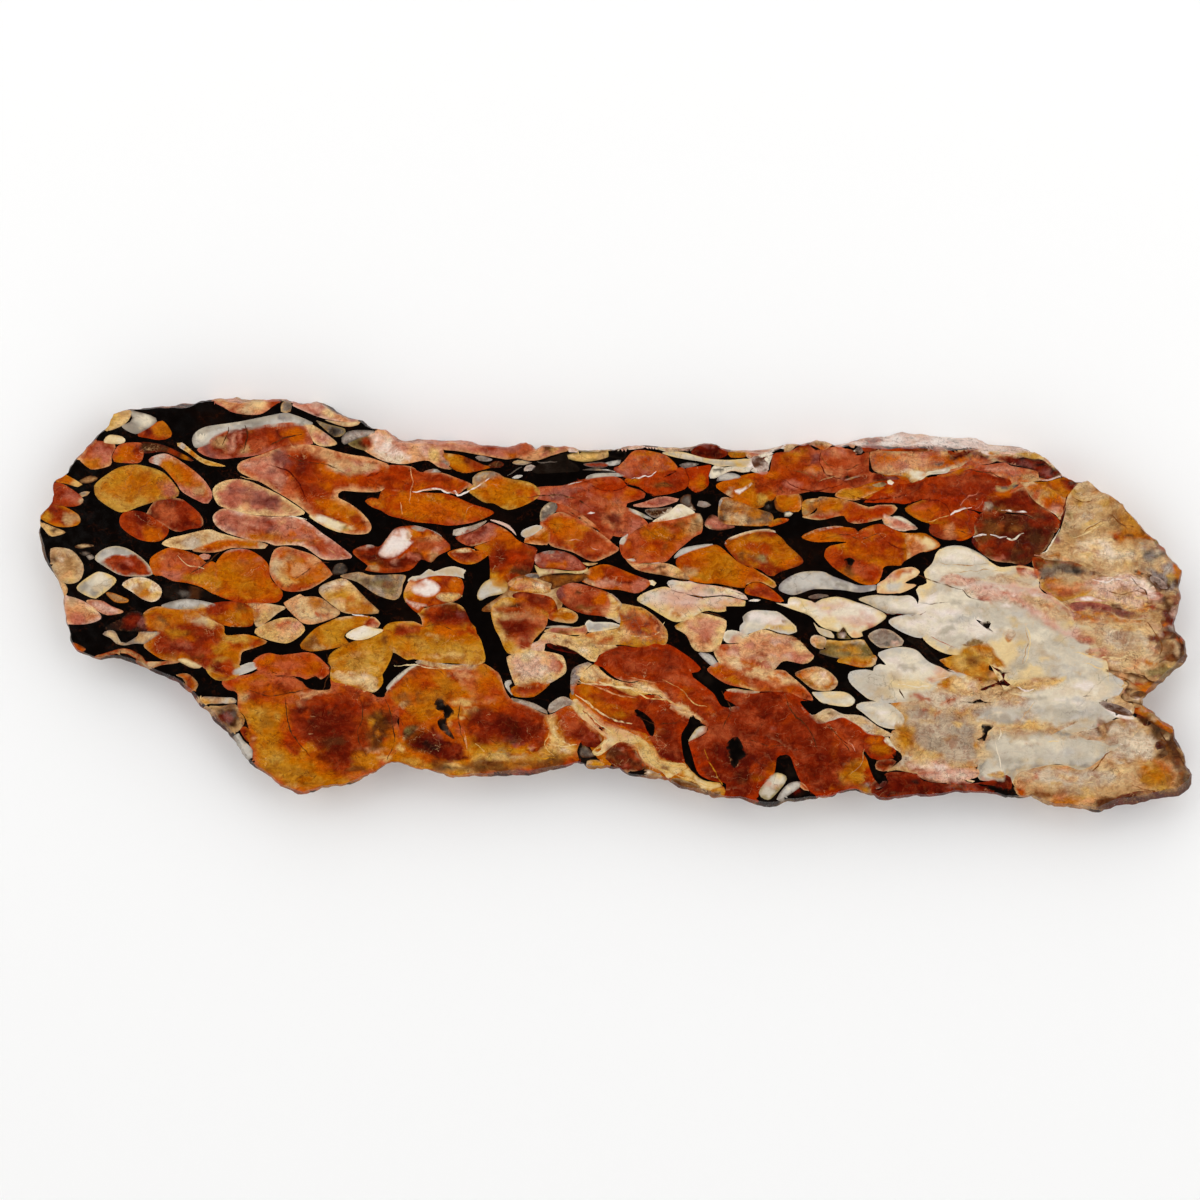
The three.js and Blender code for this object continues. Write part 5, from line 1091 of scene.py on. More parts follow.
orange peach wash|824 226,36 10,36 -12,-2 -38,-10 -16|tan 22 -6 16 8,pink 58 -38 10
olive tan wash|910 226,80 -10,60 -70,-40 -16,-100 -10,-24 6|brown 20 -24 16 8,ash -4 -66 10 14,
 ochre 60 -40 30 10,brown 116 -66 16,straw 36 -80 20 6,umber 10 -18 10 5
cream tan wash|970 126,60 -10,20 -26,-30 -28,-60 -2,-76 36|cream 0 -32 36 20,tan -50 -40 20 10,
 straw 40 -46 20 10
ash brown wash|1046 96,24 18,24 -10,-8 -30,-32 -6
amber brown wash|1000 134,30 22,60 -32,-30 -4,-40 2|honey 40 2 20 8,umber 20 -8 14 4
brown tan fill|830 90,50 6,60 -12,40 -26,-70 -64,-50 22
brown umber wash|840 86,90 -12,40 -18,-100 -4,-30 14|slate 76 -26 24 8,umber 50 -12 16 5,
 rust 20 -16 12 8
tan orange wash|850 36,90 6,14 -16,-44 -18,-40 2|rust 74 -8 16 8,tan 24 -6 16 8
ivory bone|636 94,20 16,34 2,34 -14,20 -18,-34 -6,-40 2,-26 6
ivory bone|616 58,20 18,38 0,36 -4,36 4,20 -12,-36 -8,-40 0,-46 -6
blush pink wash|690 14,40 30,50 12,50 20,14 -36,36 -34,50 -32,-50 -14,-60 24,-60 16|rose 40 6 24 8,
 cream 100 30 20 6,peach 170 -30 30 8,rose 150 6 16 6,pink 210 -44 20 6,ivory 110 52 20 6
pink rose wash|644 46,82 8,-6 -16,-40 -6,-30 4|rose 46 -2 20 5
brown umber wash|250 194,40 0,40 -30,-30 -10,-40 2|amber 20 -18 20 8,soot 50 -18 10 6,
 gold 66 -30 14 4,black 34 -30 10 3
orange brown fill|320 216,44 0,6 -26,-24 -12,-28 8
rust orange wash|456 200,44 -12,50 4,6 -12,-90 -16|red 54 -22 30 8
amber brown wash|376 196,34 12,40 -6,0 -26,-70 -2|orange 44 -6 20 8,brown 24 -16 16 6
rust amber fill|430 224,40 22,50 10,100 -6,-40 -14,-80 -30|gold 40 2 20 6,amber 70 14 20 6,
 rust 130 10 30 6
rust orange wash|420 110,100 34,50 -10,6 -34,-26 -24,-90 20,-36 -2|orange 30 0 20 10,
 brick 110 10 24 14,rust 60 20 30 8,orange 130 -14 14 10
red terracotta wash|464 74,26 12,34 -10,6 -20,-20 -18|terracotta 26 -8 10 8
peach cream wash|580 134,30 -4,30 -14,-54 -36,-8 24|orange 10 -18 10,cream 40 -16 12 8
black soot|454 86,12 3,10 -7,-8 -10,-10 2
terracotta rose wash|404 264,16 40,30 0,14 -24,-38 -30
brick rust wash|476 304,28 -4,0 -40,-34 -8,-12 12
ash slate|-154 178,10 16,15 7,9 -6,-2 -13,-28 -24|ivory 18 12 8 5,slate 6 -8 5 8
terracotta brick fill|-150 208,80 -12,44 -50,18 -10,-18 -12,-70 50,-34 8,10 14|brick 90 -30 20 8,
 rust 114 -60 10
orange rust wash|-140 174,80 -8,50 -52,-6 -24,-34 -4,-84 36|amber 16 -18 16 10,brick 80 -54 30 14,
 terracotta 100 -74 20 10,orange 40 -38 20 10
terracotta brick wash|-110 206,60 20,80 -32,-10 -20,26 -20,10 20,14 -8,-60 -32,-36 10,-20 30|
 maroon 106 -40 16 14,brick 70 -16 24 10,rose 150 -52 10 14
red orange wash|-64 224,18 22,66 4,14 -20,26 -16,-60 -12|red 58 10 26 10,orange 94 -8 16 8
terracotta orange wash|4 274,22 26,64 -4,30 -22,-10 -14,-90 -4|rust 56 10 20 8,orange 102 -2 10 6,
 terracotta 26 2 14 10
rust orange wash|14 120,22 26,74 26,36 -6,-2 -24,-54 -54,-60 6|amber 66 14 30 14,brown 112 36 16 8,
 orange 46 -20 20 8,terracotta 20 0 10 14,brown 72 -16 10
tan brown wash|136 180,38 -20,-6 -16,-22 -2,0 24|umber 24 -22 6
ivory bone wash|74 160,36 30,16 6,18 -6,12 -10|white 50 26 14 4
amber orange wash|126 84,64 26,30 -4,30 -32,34 -24,-74 -18|orange 24 -4 16 8,amber 84 -4 30 16,
 honey 130 -28 20 8,amber 54 -24 20 10
amber brown wash|220 124,70 18,0 -52,-20 -6,-46 26|rust 40 -14 20 10,brown 60 6 14 6,
 honey 20 0 10 6
blush peach wash|46 10,24 18,90 8,90 -26,4 -20,-104 -8,-90 10|ivory 30 6 20 8,pink 94 -16 20 6,
 cream 134 -4 20 6,mist 14 -6 10 6,peach 174 -14 20 5,pink 114 16 20 4,tan 144 10 14 4
blush white|-100 306,40 4,40 -2,40 7,40 2,40 -2,40 -5,6 -8,-46 4,-40 2,-30 -3,-50 -2,-40 -3,-36 0|
 brown 60 0 14 3,pink 130 4 20 3,white 180 6 20 3,tan 20 -2 10 3,brown 220 3 10 3
mist ash wash|90 302,70 -14,80 -10,0 -8,-100 10|tan 40 -12 20 4,olive 90 -22 20 3,bone 130 -28 14 3
soot umber wash|-168 262,38 16,24 20,26 -34,-30 -8|black 48 12 20 7,steel 78 6 7 3
ash brown wash|-288 244,12 16,26 4,26 -8,-56 -20|tan 28 12 14 3
amber honey wash|-284 224,64 22,62 -22,-12 -18,-66 -16|amber 44 0 30 10,orange 104 0 16 8,
 honey 64 -20 20 6,rust 88 -10 10 6
brick maroon wash|-254 114,64 8,28 -36,-24 -22,-64 -8|maroon 22 -24 18 14,red 58 -24 20 12,
 brick 34 -50 20 6,rust 64 -2 16 6
rust orange wash|-280 110,50 36,24 -10,22 -16,-36 0|orange 60 24 14 8,terracotta 20 6 10 5
brick rose wash|-320 130,50 26,24 2,-34 -34,-30 -6|maroon 60 18 12 5,rose 20 -2 12 5,
 brick 40 6 14 6
brick terracotta wash|-334 98,48 -20,18 12,-2 10,-26 4|maroon 34 -6 16 5,orange 54 -4 8 5
peach cream wash|-210 36,54 12,22 -14,0 -12,-66 2|ivory 56 0 14 3,pink 20 -4 12 4,cream 40 6 14 3
brick maroon wash|-210 14,76 6,12 -20,-12 -20,-76 14|maroon 50 -8 20 8,rust 70 0 10 5,
 orange 20 -8 12 6
tan brown fill|-254 48,104 10,34 -18,-4 -60,-120 0,-30 6,50 40|peach 34 -8 14 6,brown 54 -26 14 5
brick rust wash|-670 296,64 14,16 -30,36 -46,-46 -38,-66 54,6 26|maroon 40 -26 12 20,
 rust 74 -56 24 12,orange 94 -66 14 8,brick 40 -70 14 10,orange 46 0 10
orange rust wash|-610 196,34 18,66 -30,10 -42,-34 2|amber 46 -8 20 8,brick 90 -30 14 8,
 rust 102 -38 6,orange 24 -2 10 6
tan terracotta wash|-596 312,36 -14,86 -26,-56 -24,-26 8|peach 42 -36 20 10,pink 80 -42 14 6,
 tan 20 -16 12 7,rose 56 -50 10 5
rust orange wash|-546 250,46 4,80 18,90 -20,34 -14,-64 -6,-100 -6,-60 2|rust 56 -10 24 8,
 red 106 4 24 8,brick 186 0 24 6,orange 226 -6 16 5
orange amber wash|-480 206,24 18,96 -2,106 -48,-46 -14,-70 -2,-90 30|orange 50 -2 20 10,
 amber 120 -2 30 10,orange 180 -20 20 8,rust 24 4 10 7
pink tan wash|-626 356,52 -26,10 -14,-20 -2,-26 8|rose 32 -28 10 6,tan 16 -14 8 6,peach 46 -36 8 4
mist ash wash|-840 350,100 18,90 12,40 -14,-50 -2,-120 -14,-50 -16|slate 176 22 14 4,
 ivory 80 10 20 3
amber tan wash|-750 126,50 -7,94 -5,16 12,-30 8,-110 6|orange 40 4 16 5,gold 110 -2 16 4,
 plum 134 2 8 5
rose brick wash|-790 170,40 8,90 -10,24 -14,-24 -16,-50 2,-70 14|maroon 26 -12 12 8,
 brick 90 -16 12 10,peach 120 -10 12 6,rose 60 -4 16 6
amber orange wash|-800 86,70 16,30 -22,30 -62,-80 -12,-50 14|brown 50 -6 14 8,orange 90 -42 16,
 honey 30 -36 20 14,amber 70 -62 24 8,rust 86 -12 10 8
amber tan wash|-686 84,20 22,36 -2,52 -44,-58 -32,-34 8|peach 46 -20 16 10,orange 86 -18 12 8,
 tan 22 2 10 8,plum 38 10 5 4,orange 30 -44 12 6
gold amber wash|-590 22,30 14,30 -10,40 -44,-86 18|orange 64 -18 14 7,cream 24 4 12 4,
 peach 40 -18 10 6
olive ash wash|-550 54,80 -4,38 0,-4 -26,-18 -18|umber 50 -14 16 5,bone 74 -30 8 6,
 brown 90 -16 12 6,bone 26 -6 10 3
maroon brick wash|-528 104,28 6,54 -24,36 18,26 -6,0 -20,-36 -14,-80 8|brick 28 -8 14 6,
 maroon 68 -24 20 8,rose 114 -18 16 6
terracotta rose wash|-414 134,60 -2,16 -20,-42 -18,-36 26|brick 14 -10 8,pink 50 -28 10 6,
 brown 40 -6 14 5
white ivory wash|-454 146,34 2,6 -22,-46 -34,-8 12|pink 16 -12 8 6
white blush wash|-490 320,14 14,66 -44,-20 -8,-54 18|white 36 -6 14 10,pink 14 0 8
amber gold wash|-1046 224,56 44,84 -8,22 -24,0 -20,-106 -30|gold 36 16 16 10,amber 86 6 30 18,
 brown 112 38 20 5,orange 140 0 14 8,honey 66 -24 20 6
amber peach wash|-920 280,30 8,60 -42,16 -30,-16 -12,-30 16|orange 60 -30 16 10,tan 86 -56 10 9,
 honey 24 -6 10 5
tan bone wash|-1128 90,18 18,24 -8,12 -50,-46 -2|brown 32 0 7 5,ivory 14 -6 6 8,peach 28 -36 14 6
amber orange wash|-840 60,46 38,24 4,-30 -42,10 -36,-40 20|gold 16 -4 10 6
terracotta orange wash|-916 98,70 -2,16 -20,-20 -22,-70 4|peach 16 -8 14 6,brown 56 -12 10 6,
 orange 36 -36 16 5
amber rust wash|-940 -30,90 14,50 -4,60 12,30 -16,-20 -26,-60 2,-50 10,-90 -22|brown 30 -10 16 8,
 amber 150 -4 24 8,orange 200 0 16 8
brick brown wash|-940 -90,90 34,50 0,16 -24,-26 -30,-90 -4|maroon 60 0 24 10,rust 120 10 16 10,
 brick 30 -10 14 7,orange 94 24 16 5
terracotta brick fill|750 256,50 0,24 -16,-20 -24,-34 -2
terracotta peach fill|610 268,50 18,50 8,-6 -26,-64 -10
blush rose fill|720 308,80 0,10 -20,-70 -4
brick rust wash|720 170,4 16,56 0,-4 -16,-30 -6
umber brown wash|720 120,6 46,44 18,104 -28,-30 -66,-54 -10|brick 26 -6 16 8,maroon 60 -24 20 6,
 umber 120 14 30,brown 40 34 20 10
tan brown wash|836 90,104 -10,30 -26,-20 -34,-50 -16,-46 20|umber 40 -22 10 6,slate 80 -30 20 7,
 amber 40 -50 20 8,brown 8 -10 8,terracotta 88 -56 16 6,sand 74 -46 20 5
tan amber wash|888 130,22 94,70 0,70 -74,-100 -24|brown 38 70 10 6,ash 20 30 8 12,ochre 82 74 24 9,
 straw 62 30 24 9,amber 132 40 14,sand 46 6 24 6,brown 108 44 8 5,umber 126 64 6,sand 52 94 14 6
sand cream wash|890 94,80 36,80 -30,-16 -30,-54 -14,-60 12|cream 84 4 34 18,straw 124 -8 14 10,
 tan 26 -4 12 6
sand ash wash|1036 120,38 8,36 -48,-26 -24,-38 8|slate 30 -30 12 8,tan 60 -34 10 8,
 bone 14 -10 10 6,brown 50 -56 8 5
blush cream wash|936 50,94 14,70 -44,-14 -30,-56 -10,-90 34|white 48 -4 20 7,tan 74 -34 20 8,
 brown 106 -12 5 10,ivory 126 -16 12 10,brown 70 -22 10 3,pink 18 -10 10 5,cream 114 -44 16 5
bone sand wash|530 -166,70 -4,120 -6,26 -22,-26 -18,-80 -8,-70 8|rust 70 -28 26 4,
 terracotta 134 -36 20 5,cream 160 -18 16 5,brown 166 -48 8 4,ivory 36 -18 16 8
cream straw wash|660 -140,66 -16,-2 -28,-34 -6,-26 16|amber 6 -18 6 8,ivory 44 -30 12 7
blush rose wash|580 -320,50 4,54 -10,46 -24,-24 -18,-106 18|white 70 -16 18 7,rose 40 -30 16 6,
 brick 26 -20 10 4,bone 114 -30 10 6
sand tan wash|800 -330,60 10,70 0,60 10,50 -4,10 -36,-30 -30,-60 -16,-70 6,-90 30|pink 40 -16 20 6,
 bone 100 -16 30 6,tan 160 -36 30 8,terracotta 24 -26 8,straw 140 -50 30 5,brown 110 -54 20 5,
 cream 200 0 20 8
amber tan wash|1036 -316,38 10,36 -14,14 -34,-34 -20,-44 4|gold 40 -30 20 10,straw 24 -10 14 5,
 brown 70 -44 8
maroon umber wash|960 -394,110 18,56 6,10 -16,-46 -16,-70 -10,-50 -4|umber 80 0 30 5,
 amber 140 14 14 4
umber brown wash|1074 -254,30 -8,30 -34,0 -64,-58 80|tan 32 -40 8 10,maroon 54 -62 6 10
bone fill|916 -268,88 -14,0 -18,-44 2,-44 10
bone fill|876 -244,104 10,14 -12,-64 -18,-54 2
bone ivory wash|930 -290,80 34,50 0,22 -30,-12 -30,-50 -10,-86 12|ivory 116 0 20 12,sand 54 4 16 6,
 pearl 40 -16 16 6,tan 84 -26 14 4
bone tan wash|880 -250,100 22,70 -12,-20 -24,-90 -12|brown 100 4 20 4,tan 134 4 14 6,
 straw 34 0 16 4,rust 94 12 6 4
sand blush wash|900 -20,60 -2,70 -6,50 -12,20 -40,-70 -60,-50 4,-70 66|straw 110 -36 30 13,
 rose 36 -54 18 6,pink 60 -74 20 7,brown 170 -50 11 7,ivory 90 -96 26 5,terracotta 26 -10 18 5,
 cream 140 -70 20 10,tan 80 -16 20 6
brown umber wash|1086 -50,34 -10,20 -34,-50 -40,-14 34|tan 18 -36 10 7,umber 34 -54 8,
 bone 8 -66 6 4
cream peach wash|-220 -104,54 18,50 -20,-8 -50,-66 -8,-26 20|rust 92 -20 16 11,ivory 44 -6 16 7,
 straw 16 -24 10,peach 60 -42 20 7,orange 76 -4 7 5
rust orange wash|-210 -168,26 8,48 -10,-18 -16,-56 2|red 24 -12 14 4
brick tan wash|-246 -30,76 10,24 -20,-4 -34,-70 -6|maroon 42 -24 20 8,tan 16 -38 12 5,
 terracotta 76 -4 12 6,peach 80 -46 10 5
cream straw wash|-154 -60,34 0,66 -24,20 -24,-22 -6,-74 30|brown 54 -20 14 4,ivory 88 -36 10 6,
 orange 28 -10 8 3
peach terracotta wash|-60 -60,50 0,20 14,-4 32,24 8,64 -34,6 -30,-30 -12,-50 2,-50 -8|
 brick 130 24 16 10,cream 80 36 16 6,rust 96 4 22 6,cream 80 -14 26 4,orange 30 -10 20 5,
 maroon 146 6 6 10,straw 110 -12 14 4,cream 156 -4 3 8
cream peach wash|-74 -128,48 -26,76 -4,46 -32,-76 16,-96 20|orange 40 -30 12 3,ivory 138 -42 14 4,
 straw 10 -14 9 5,rust 94 -40 12 3
peach orange wash|-94 -194,38 -10,30 -28,76 -32,50 -66,-34 2,-28 30,-82 34,-34 38|
 cream 42 -30 14 4,cream 124 -76 15 3,rust 72 -60 9 4,orange 20 -12 8 4
black|34 -214,16 -5,16 -14,9 -20,-4 -15,-11 9,-8 20
black|-38 -252,8 5,6 -5,-6 -6
straw amber wash|-146 -230,26 2,6 -32,34 -26,0 -20,-80 0,22 36|cream 18 -20 4 16,gold 6 -68 16 7,
 ivory 42 -70 12 4,brown 26 -76 10 3
cream orange wash|106 -204,24 2,26 -18,20 -22,-56 18|straw 30 -10 10 4
rust orange wash|-90 -164,50 -2,90 -32,30 -26,-80 4,-86 32|orange 40 -16 24 6,red 110 -40 20 6,
 amber 20 -10 10 6,brick 140 -48 12 6
cream orange wash|384 -136,30 4,20 -18,-8 -20,-30 -2,-20 18|white 26 -12 10 7,amber 0 -26 8 5
peach cream wash|126 -46,28 18,60 -16,-24 -50,-30 0|terracotta 44 -22 18 12,ivory 28 6 12 4,
 brick 50 -28 8 5,cream 72 -34 6 8
white bone wash|260 -20,30 6,40 -12,26 -24,-96 4|brown 74 -28 12 5,pearl 16 -14 10 5
blush cream wash|280 -62,40 -8,60 -40,-30 -12,-40 6,-40 -6,-50 6,-10 20|terracotta 30 -24 16 8,
 rose 80 -48 12 5,orange -44 -42 12 6,brick 10 -44 12 5,cream -10 -14 14 5
brick maroon wash|170 -240,50 30,60 16,60 -6,60 -26,40 -40,26 -64,-36 -44,-50 4,-26 50,-24 20,
 -34 -10,-76 -50,-50 24,-16 56|maroon 90 -16 30 14,maroon 230 -90 30 20,brick 140 10 40 16,
 rust 40 14 16 6,maroon 20 -70 20,terracotta 210 -20 20 8,rust 130 -46 16 8,maroon 190 -40 20 12,
 orange 266 -56 8 14
brick rust wash|-36 -116,26 22,100 6,76 -46,-22 -10,-124 -2|maroon 126 6 30 8,red 50 -8 20 8,
 rust 96 -20 20 6,brick 172 -12 16 6
rust brick wash|60 -156,60 10,40 -18,40 -54,-40 4,-84 38|brick 90 -28 20 10,red 54 -10 16 8
brick maroon wash|50 -196,50 -4,40 -26,6 -24,-18 -30,-4 -38,-64 38,18 24,-12 30,-32 16|
 maroon 40 -60 20 16,maroon 56 -100 12 14,rust 26 -18 16 5
brick rose wash|-110 -228,24 14,42 -52,-4 -18,-66 24|maroon 34 -38 14 9,rust 16 -8 8
brick rose wash|-24 -304,20 18,34 -2,16 -46,-60 12|maroon 48 -10 14 9,pink 28 10 8 3
orange amber wash|-300 -146,36 12,30 -20,28 -50,-20 -4,-64 12|rust 54 -34 16 10,amber 20 -14 14 10
brick terracotta|-820 310,10 20,30 14,60 9,60 7,34 -4,14 -16,-8 -22,-60 -18,-80 -10,-46 2|
 tan 26 4 10 12,pink 46 8 7 14,maroon 80 28 20 6,tan 74 -6 10,orange 174 24 18 13,rust 124 18 10 16,
 rose 60 20 4 12,terracotta 104 0 6 12,maroon 146 30 5 12
pink rose wash|-760 266,20 22,74 2,2 -26,-26 -18|rose 44 10 20 6,brick 76 18 5 10,plum 60 -6 14 6,
 blush 20 8 8 4
terracotta brick wash|360 260,40 34,60 16,60 -6,0 -54,-50 -12,-70 2|rust 80 20 20 10,
 brick 130 24 10 16,orange 46 6 16 7,maroon 100 -10 20 4
rust brick wash|260 230,20 40,90 36,30 -16,-20 -36,-90 -38|orange 50 20 14 10,brick 90 56 14 8,
 red 106 26 10 6,maroon 40 54 8 5
ivory bone wash|600 26,100 -30,20 -26,-60 -14,-60 10,-40 28|white 60 -50 30 8,pearl 0 -32 20 8
white ivory wash|900 -160,80 -4,20 -22,-40 -18,-50 4,-30 20|pearl 20 -24 16 8
bone ivory wash|730 -4,60 -2,50 -24,70 -76,40 -18,30 -26,-60 0,-60 20,-80 60,-40 30|
 ivory 110 -66 20 10,straw 60 -36 14 8,pearl 170 -126 20 6
ochre brown wash|656 -100,34 20,44 -4,30 -26,-14 -36,-40 -14,-40 26|brown 60 -20 16 12,
 amber 84 -30 10 8,straw 18 -6 10 6,gold 44 0 14 6
rose tan wash|700 36,40 -2,100 -40,90 -62,-20 -12,-100 50,-100 34|pink 50 -20 20 7,
 tan 100 -36 20 8,rose 150 -60 20 6,terracotta 180 -82 12 6
black|962 -200,24 -3,24 -11,-20 1,-20 5
white bone|974 -212,20 -3,30 -11,16 -9,-20 -1,-30 8
brown umber wash|1066 -246,60 -28,10 -32,-26 -4,-42 44|tan 24 -22 8 5
umber brown wash|1040 -214,80 -56,36 -90,-36 -36,-80 0,-70 -18,-40 4,40 20,70 12,60 6,20 42,-60 74|
 brown 90 -116 10 20,tan 96 -82 8 10,soot 20 -30 14 6,tan 10 -176 20 4,brown 50 -170 20 5,
 soot 100 -146 6 16,sand 64 -52 8 5
gold brown wash|1070 -316,46 -30,-16 -22,-36 -2,-22 16|amber 10 -34 14 8,straw -10 -18 10 5,
 brown 34 -40 6
bone ivory wash|930 -280,86 30,52 -46,-18 -24,-100 10|mist 70 -6 24 10,cream 30 -16 10 6,
 ivory 110 -4 10
bone tan wash|780 -334,60 8,60 -4,90 0,20 -24,-50 -26,-120 10,-46 14|sand 40 -10 14 5,
 rose 54 -12 6 5,cream 120 -16 20 5,mist 160 -32 14 5,ochre 90 -32 16 4,brown 174 -6 10 3
maroon umber wash|530 -342,50 -2,120 -30,-40 -10,-60 2,-90 2|brick 50 -12 14 5,umber 20 -32 14 6,
 rose 130 -24 10 3
maroon brown wash|524 -314,26 6,16 -12,-16 -16,-34 10|brick 16 -6 8 5
ivory bone wash|546 -90,54 -4,60 -42,-20 -24,-60 -6,-74 32|mist 34 -40 20 8,white 0 -24 10 6,
 blush 94 -56 10 5,pearl 64 -26 14 5
ivory bone wash|496 -208,34 2,36 -22,10 -22,-30 0|white 34 -12 14 5
ivory bone wash|764 -200,56 26,80 32,60 0,40 -24,-14 -40,-66 -10,-80 2,-60 0|mist 76 4 30 6,
 white 166 36 26 10,pearl 156 4 26 8,cream 36 -2 14 4
straw bone wash|766 -146,84 -10,50 8,-20 -22,-100 -4|tan 64 -14 24 4,cream 24 -20 12 4
brown umber wash|966 -226,24 -18,-14 -30,-20 14,-2 22|tan 4 -24 6 10,rose -2 -14 6 4
ivory cream wash|916 126,68 4,20 -18,32 -8,10 -18,-36 -16,-44 2,-40 22|cream 44 -16 20 8,
 mist 100 -36 16 6,straw 24 -30 14 5,bone 70 -40 16 5
sand bone wash|880 170,50 58,30 -2,26 -26,-66 -50|ochre 46 30 14 8,moss 24 6 8,brown 44 34 6 3,
 straw 86 26 14 6,bone 60 4 14 5
ochre brown wash|1000 174,26 20,48 -58,-34 -6,-34 10|brown 20 -14 8 4,gold 40 -18 10 7,
 umber 56 -28 5 6,straw 16 6 8 5
slate ash wash|844 64,36 22,74 -22,-4 -14,-50 2,-40 -6|soot 70 -2 14 4,olive 26 10 14 5,
 soot 32 16 6 4,sand 96 -6 8 3
slate ash wash|1044 110,52 0,8 -16,-30 -20,-26 8|steel 22 -14 10 6,bone 40 -6 8 4
umber brown wash|1054 56,50 -20,0 -16,-20 2,-24 16|soot 32 -20 10 5,maroon 10 -8 6 3
white blush wash|1006 54,34 4,44 -44,-18 -10,-58 28|tan 28 -18 12 4,brown 44 -38 10 3,
 cream 10 -8 8 4,white 50 -26 6
terracotta tan wash|846 40,34 6,70 -22,-60 -20,-30 16|orange 34 -10 14 5,brown 74 -16 10 4,
 pink 14 -4 8 4
plum rose wash|880 -6,90 2,90 -22,-20 -8,-100 14|maroon 100 -6 16 3,cream 60 -6 12 3,
 brown 150 -22 16 3
bone cream wash|970 -44,86 -10,10 -50,-56 -2,-40 20|mist 50 -22 20 10,sand 76 -46 10 8,
 ivory 26 -16 12 6
maroon brown wash|1060 -68,24 4,14 -10,-12 -12,-22 6|soot 26 -10 6 3
umber tan wash|1090 -50,24 4,22 -24,4 -34,-20 -22,-24 10,12 26|sand 30 -46 6 12,rust 40 -26 5 8,
 brown 14 -60 8 6
umber rust wash|1080 16,26 2,20 -14,0 -38,-26 -2|tan 30 -16 6 8,blush 36 -40 5 8,maroon 14 -36 5 6
maroon umber wash|754 86,66 -4,60 44,-6 34,-104 12,-32 -62|brown 46 60 20 10,umber 86 34 20 14,
 brick 26 24 14 8,rust 12 64 12 8,umber 46 10 20 6
pink rose wash|760 46,40 2,80 -38,20 -34,-40 0,-80 40|blush 40 -12 16 4,white 80 -32 12 4,
 tan 110 -50 14 5
maroon brick wash|-650 -200,50 14,50 -8,30 -26,6 -50,-26 -46,-50 2,-70 74|brick 40 -10 20 10,
 umber 80 -80 20 10,maroon 100 -40 16 14,rust 20 -30 12 8
gold amber wash|-750 -204,40 8,30 -24,-10 -66,-64 46|ochre 30 -16 14 8,amber 50 -56 14 8
gold amber wash|-734 -284,34 4,84 -44,56 -22,60 2,20 10,-40 -26,-80 -16,-60 2,-50 38|
 ochre 54 -26 16 8,amber 104 -66 20 7,straw 88 -80 8 4,brown 154 -82 16 4
umber brown wash|-504 -200,58 -26,-2 -44,-22 -34,-30 14|gold 14 -40 8,rust 40 -80 10 8,
 amber 24 -66 8 5
maroon soot wash|-424 -266,44 12,56 -46,-12 -24,-84 24|soot 54 -20 16 8,umber 24 -34 10 5,
 brick 84 -48 8 4
maroon brick wash|-310 -210,40 10,100 -24,26 -26,-16 -34,-60 -10,-60 8,-30 36|brick 60 -20 20 10,
 umber 110 -66 20 7,rust 26 -46 10 8,maroon 134 -46 12 10
brown umber wash|-380 -314,60 -6,70 6,70 4,70 6,0 -26,-90 -10,-100 -6,-60 6|gold 90 -4 12 4,
 straw 160 -2 8 3,umber 120 -20 24 3,ochre 220 -2 9 4,soot 40 -22 16 3,amber 250 -6 8 4
orange brown wash|-440 -160,40 30,60 -6,40 -30,-20 -30,-110 2|rust 60 -4 18 8,tan 110 10 10 5,
 amber 20 -16 10 7,brown 80 -26 12 4
plum rose wash|-794 224,34 14,60 -12,56 -42,-106 6|rose 44 -14 16 7,maroon 104 -24 16 4,
 pink 14 0 6,terracotta 128 -34 10 4
rose maroon wash|-796 166,56 4,60 -12,60 -12,20 -22,-40 -6,-60 14,-60 2|brick 76 -16 18 5,
 pink 20 -12 8 5,orange 146 -30 14 5,plum 106 -22 12 4
maroon umber wash|740 204,76 22,30 -30,34 -22,4 -24,-44 -10,-60 16,-40 -2|brown 40 -14 18 8,
 umber 100 -34 16 7,brick 14 -24 8,maroon 70 2 12 6
ivory white wash|504 14,96 -8,60 22,50 6,20 -24,-40 -30,-70 -4,-70 6|white 116 -14 20 8,
 mist 176 -10 14 4,cream 56 -12 14 4
ivory white wash|550 -34,40 6,100 -6,50 4,40 -16,-20 -24,-70 -4,-70 6,-50 12|mist 110 -22 20 5,
 white 50 -10 16 6,white 180 -16 14 6
brick maroon wash|-36 -96,106 8,80 -46,-50 -20,-70 2|rust 96 -18 24 8,maroon 146 -40 20 6,
 brick 46 -18 16 8
brick maroon wash|220 -200,60 16,60 -6,90 -60,40 -46,-30 -44,-60 -6,-30 46,-50 30,-50 0,-36 30|
 maroon 80 -20 26 10,brick 160 -60 20 10,rust 130 -40 16 7,maroon 190 -110 20 12,rose 94 -54 8 5,
 umber 220 -70 10 8
maroon brick wash|180 -280,50 14,70 -38,10 -32,-40 -30,-60 -8,-26 34|brick 40 -60 14 10,
 umber 70 -76 16 6,maroon 20 -20 10 14,rust 100 -54 8 10
amber brown wash|-76 -170,86 -40,14 -26,-44 2,-40 26|rust 66 -46 14 5,brick 26 -20 12 5,
 orange 46 -34 10 4
straw ochre wash|-80 -200,40 -34,50 -26,50 -14,34 -36,46 -20,40 -34,-110 34,-40 34,-100 62|
 gold 120 -90 12 6,cream 80 -60 10 5,brown 170 -134 14 4,gold 210 -140 10 4,tan 40 -44 10 5
umber brown wash|-20 -286,40 -10,60 -44,-50 6,-50 20|maroon 36 -22 12 7,rust 70 -40 8 4
gold straw wash|-446 -80,46 16,60 -2,56 -18,10 -32,-56 -6,-114 18|straw 116 -26 20 5,
 ochre 56 -4 16 7,orange 146 -4 10 5,cream 76 -32 16 3,amber 22 -10 10 6
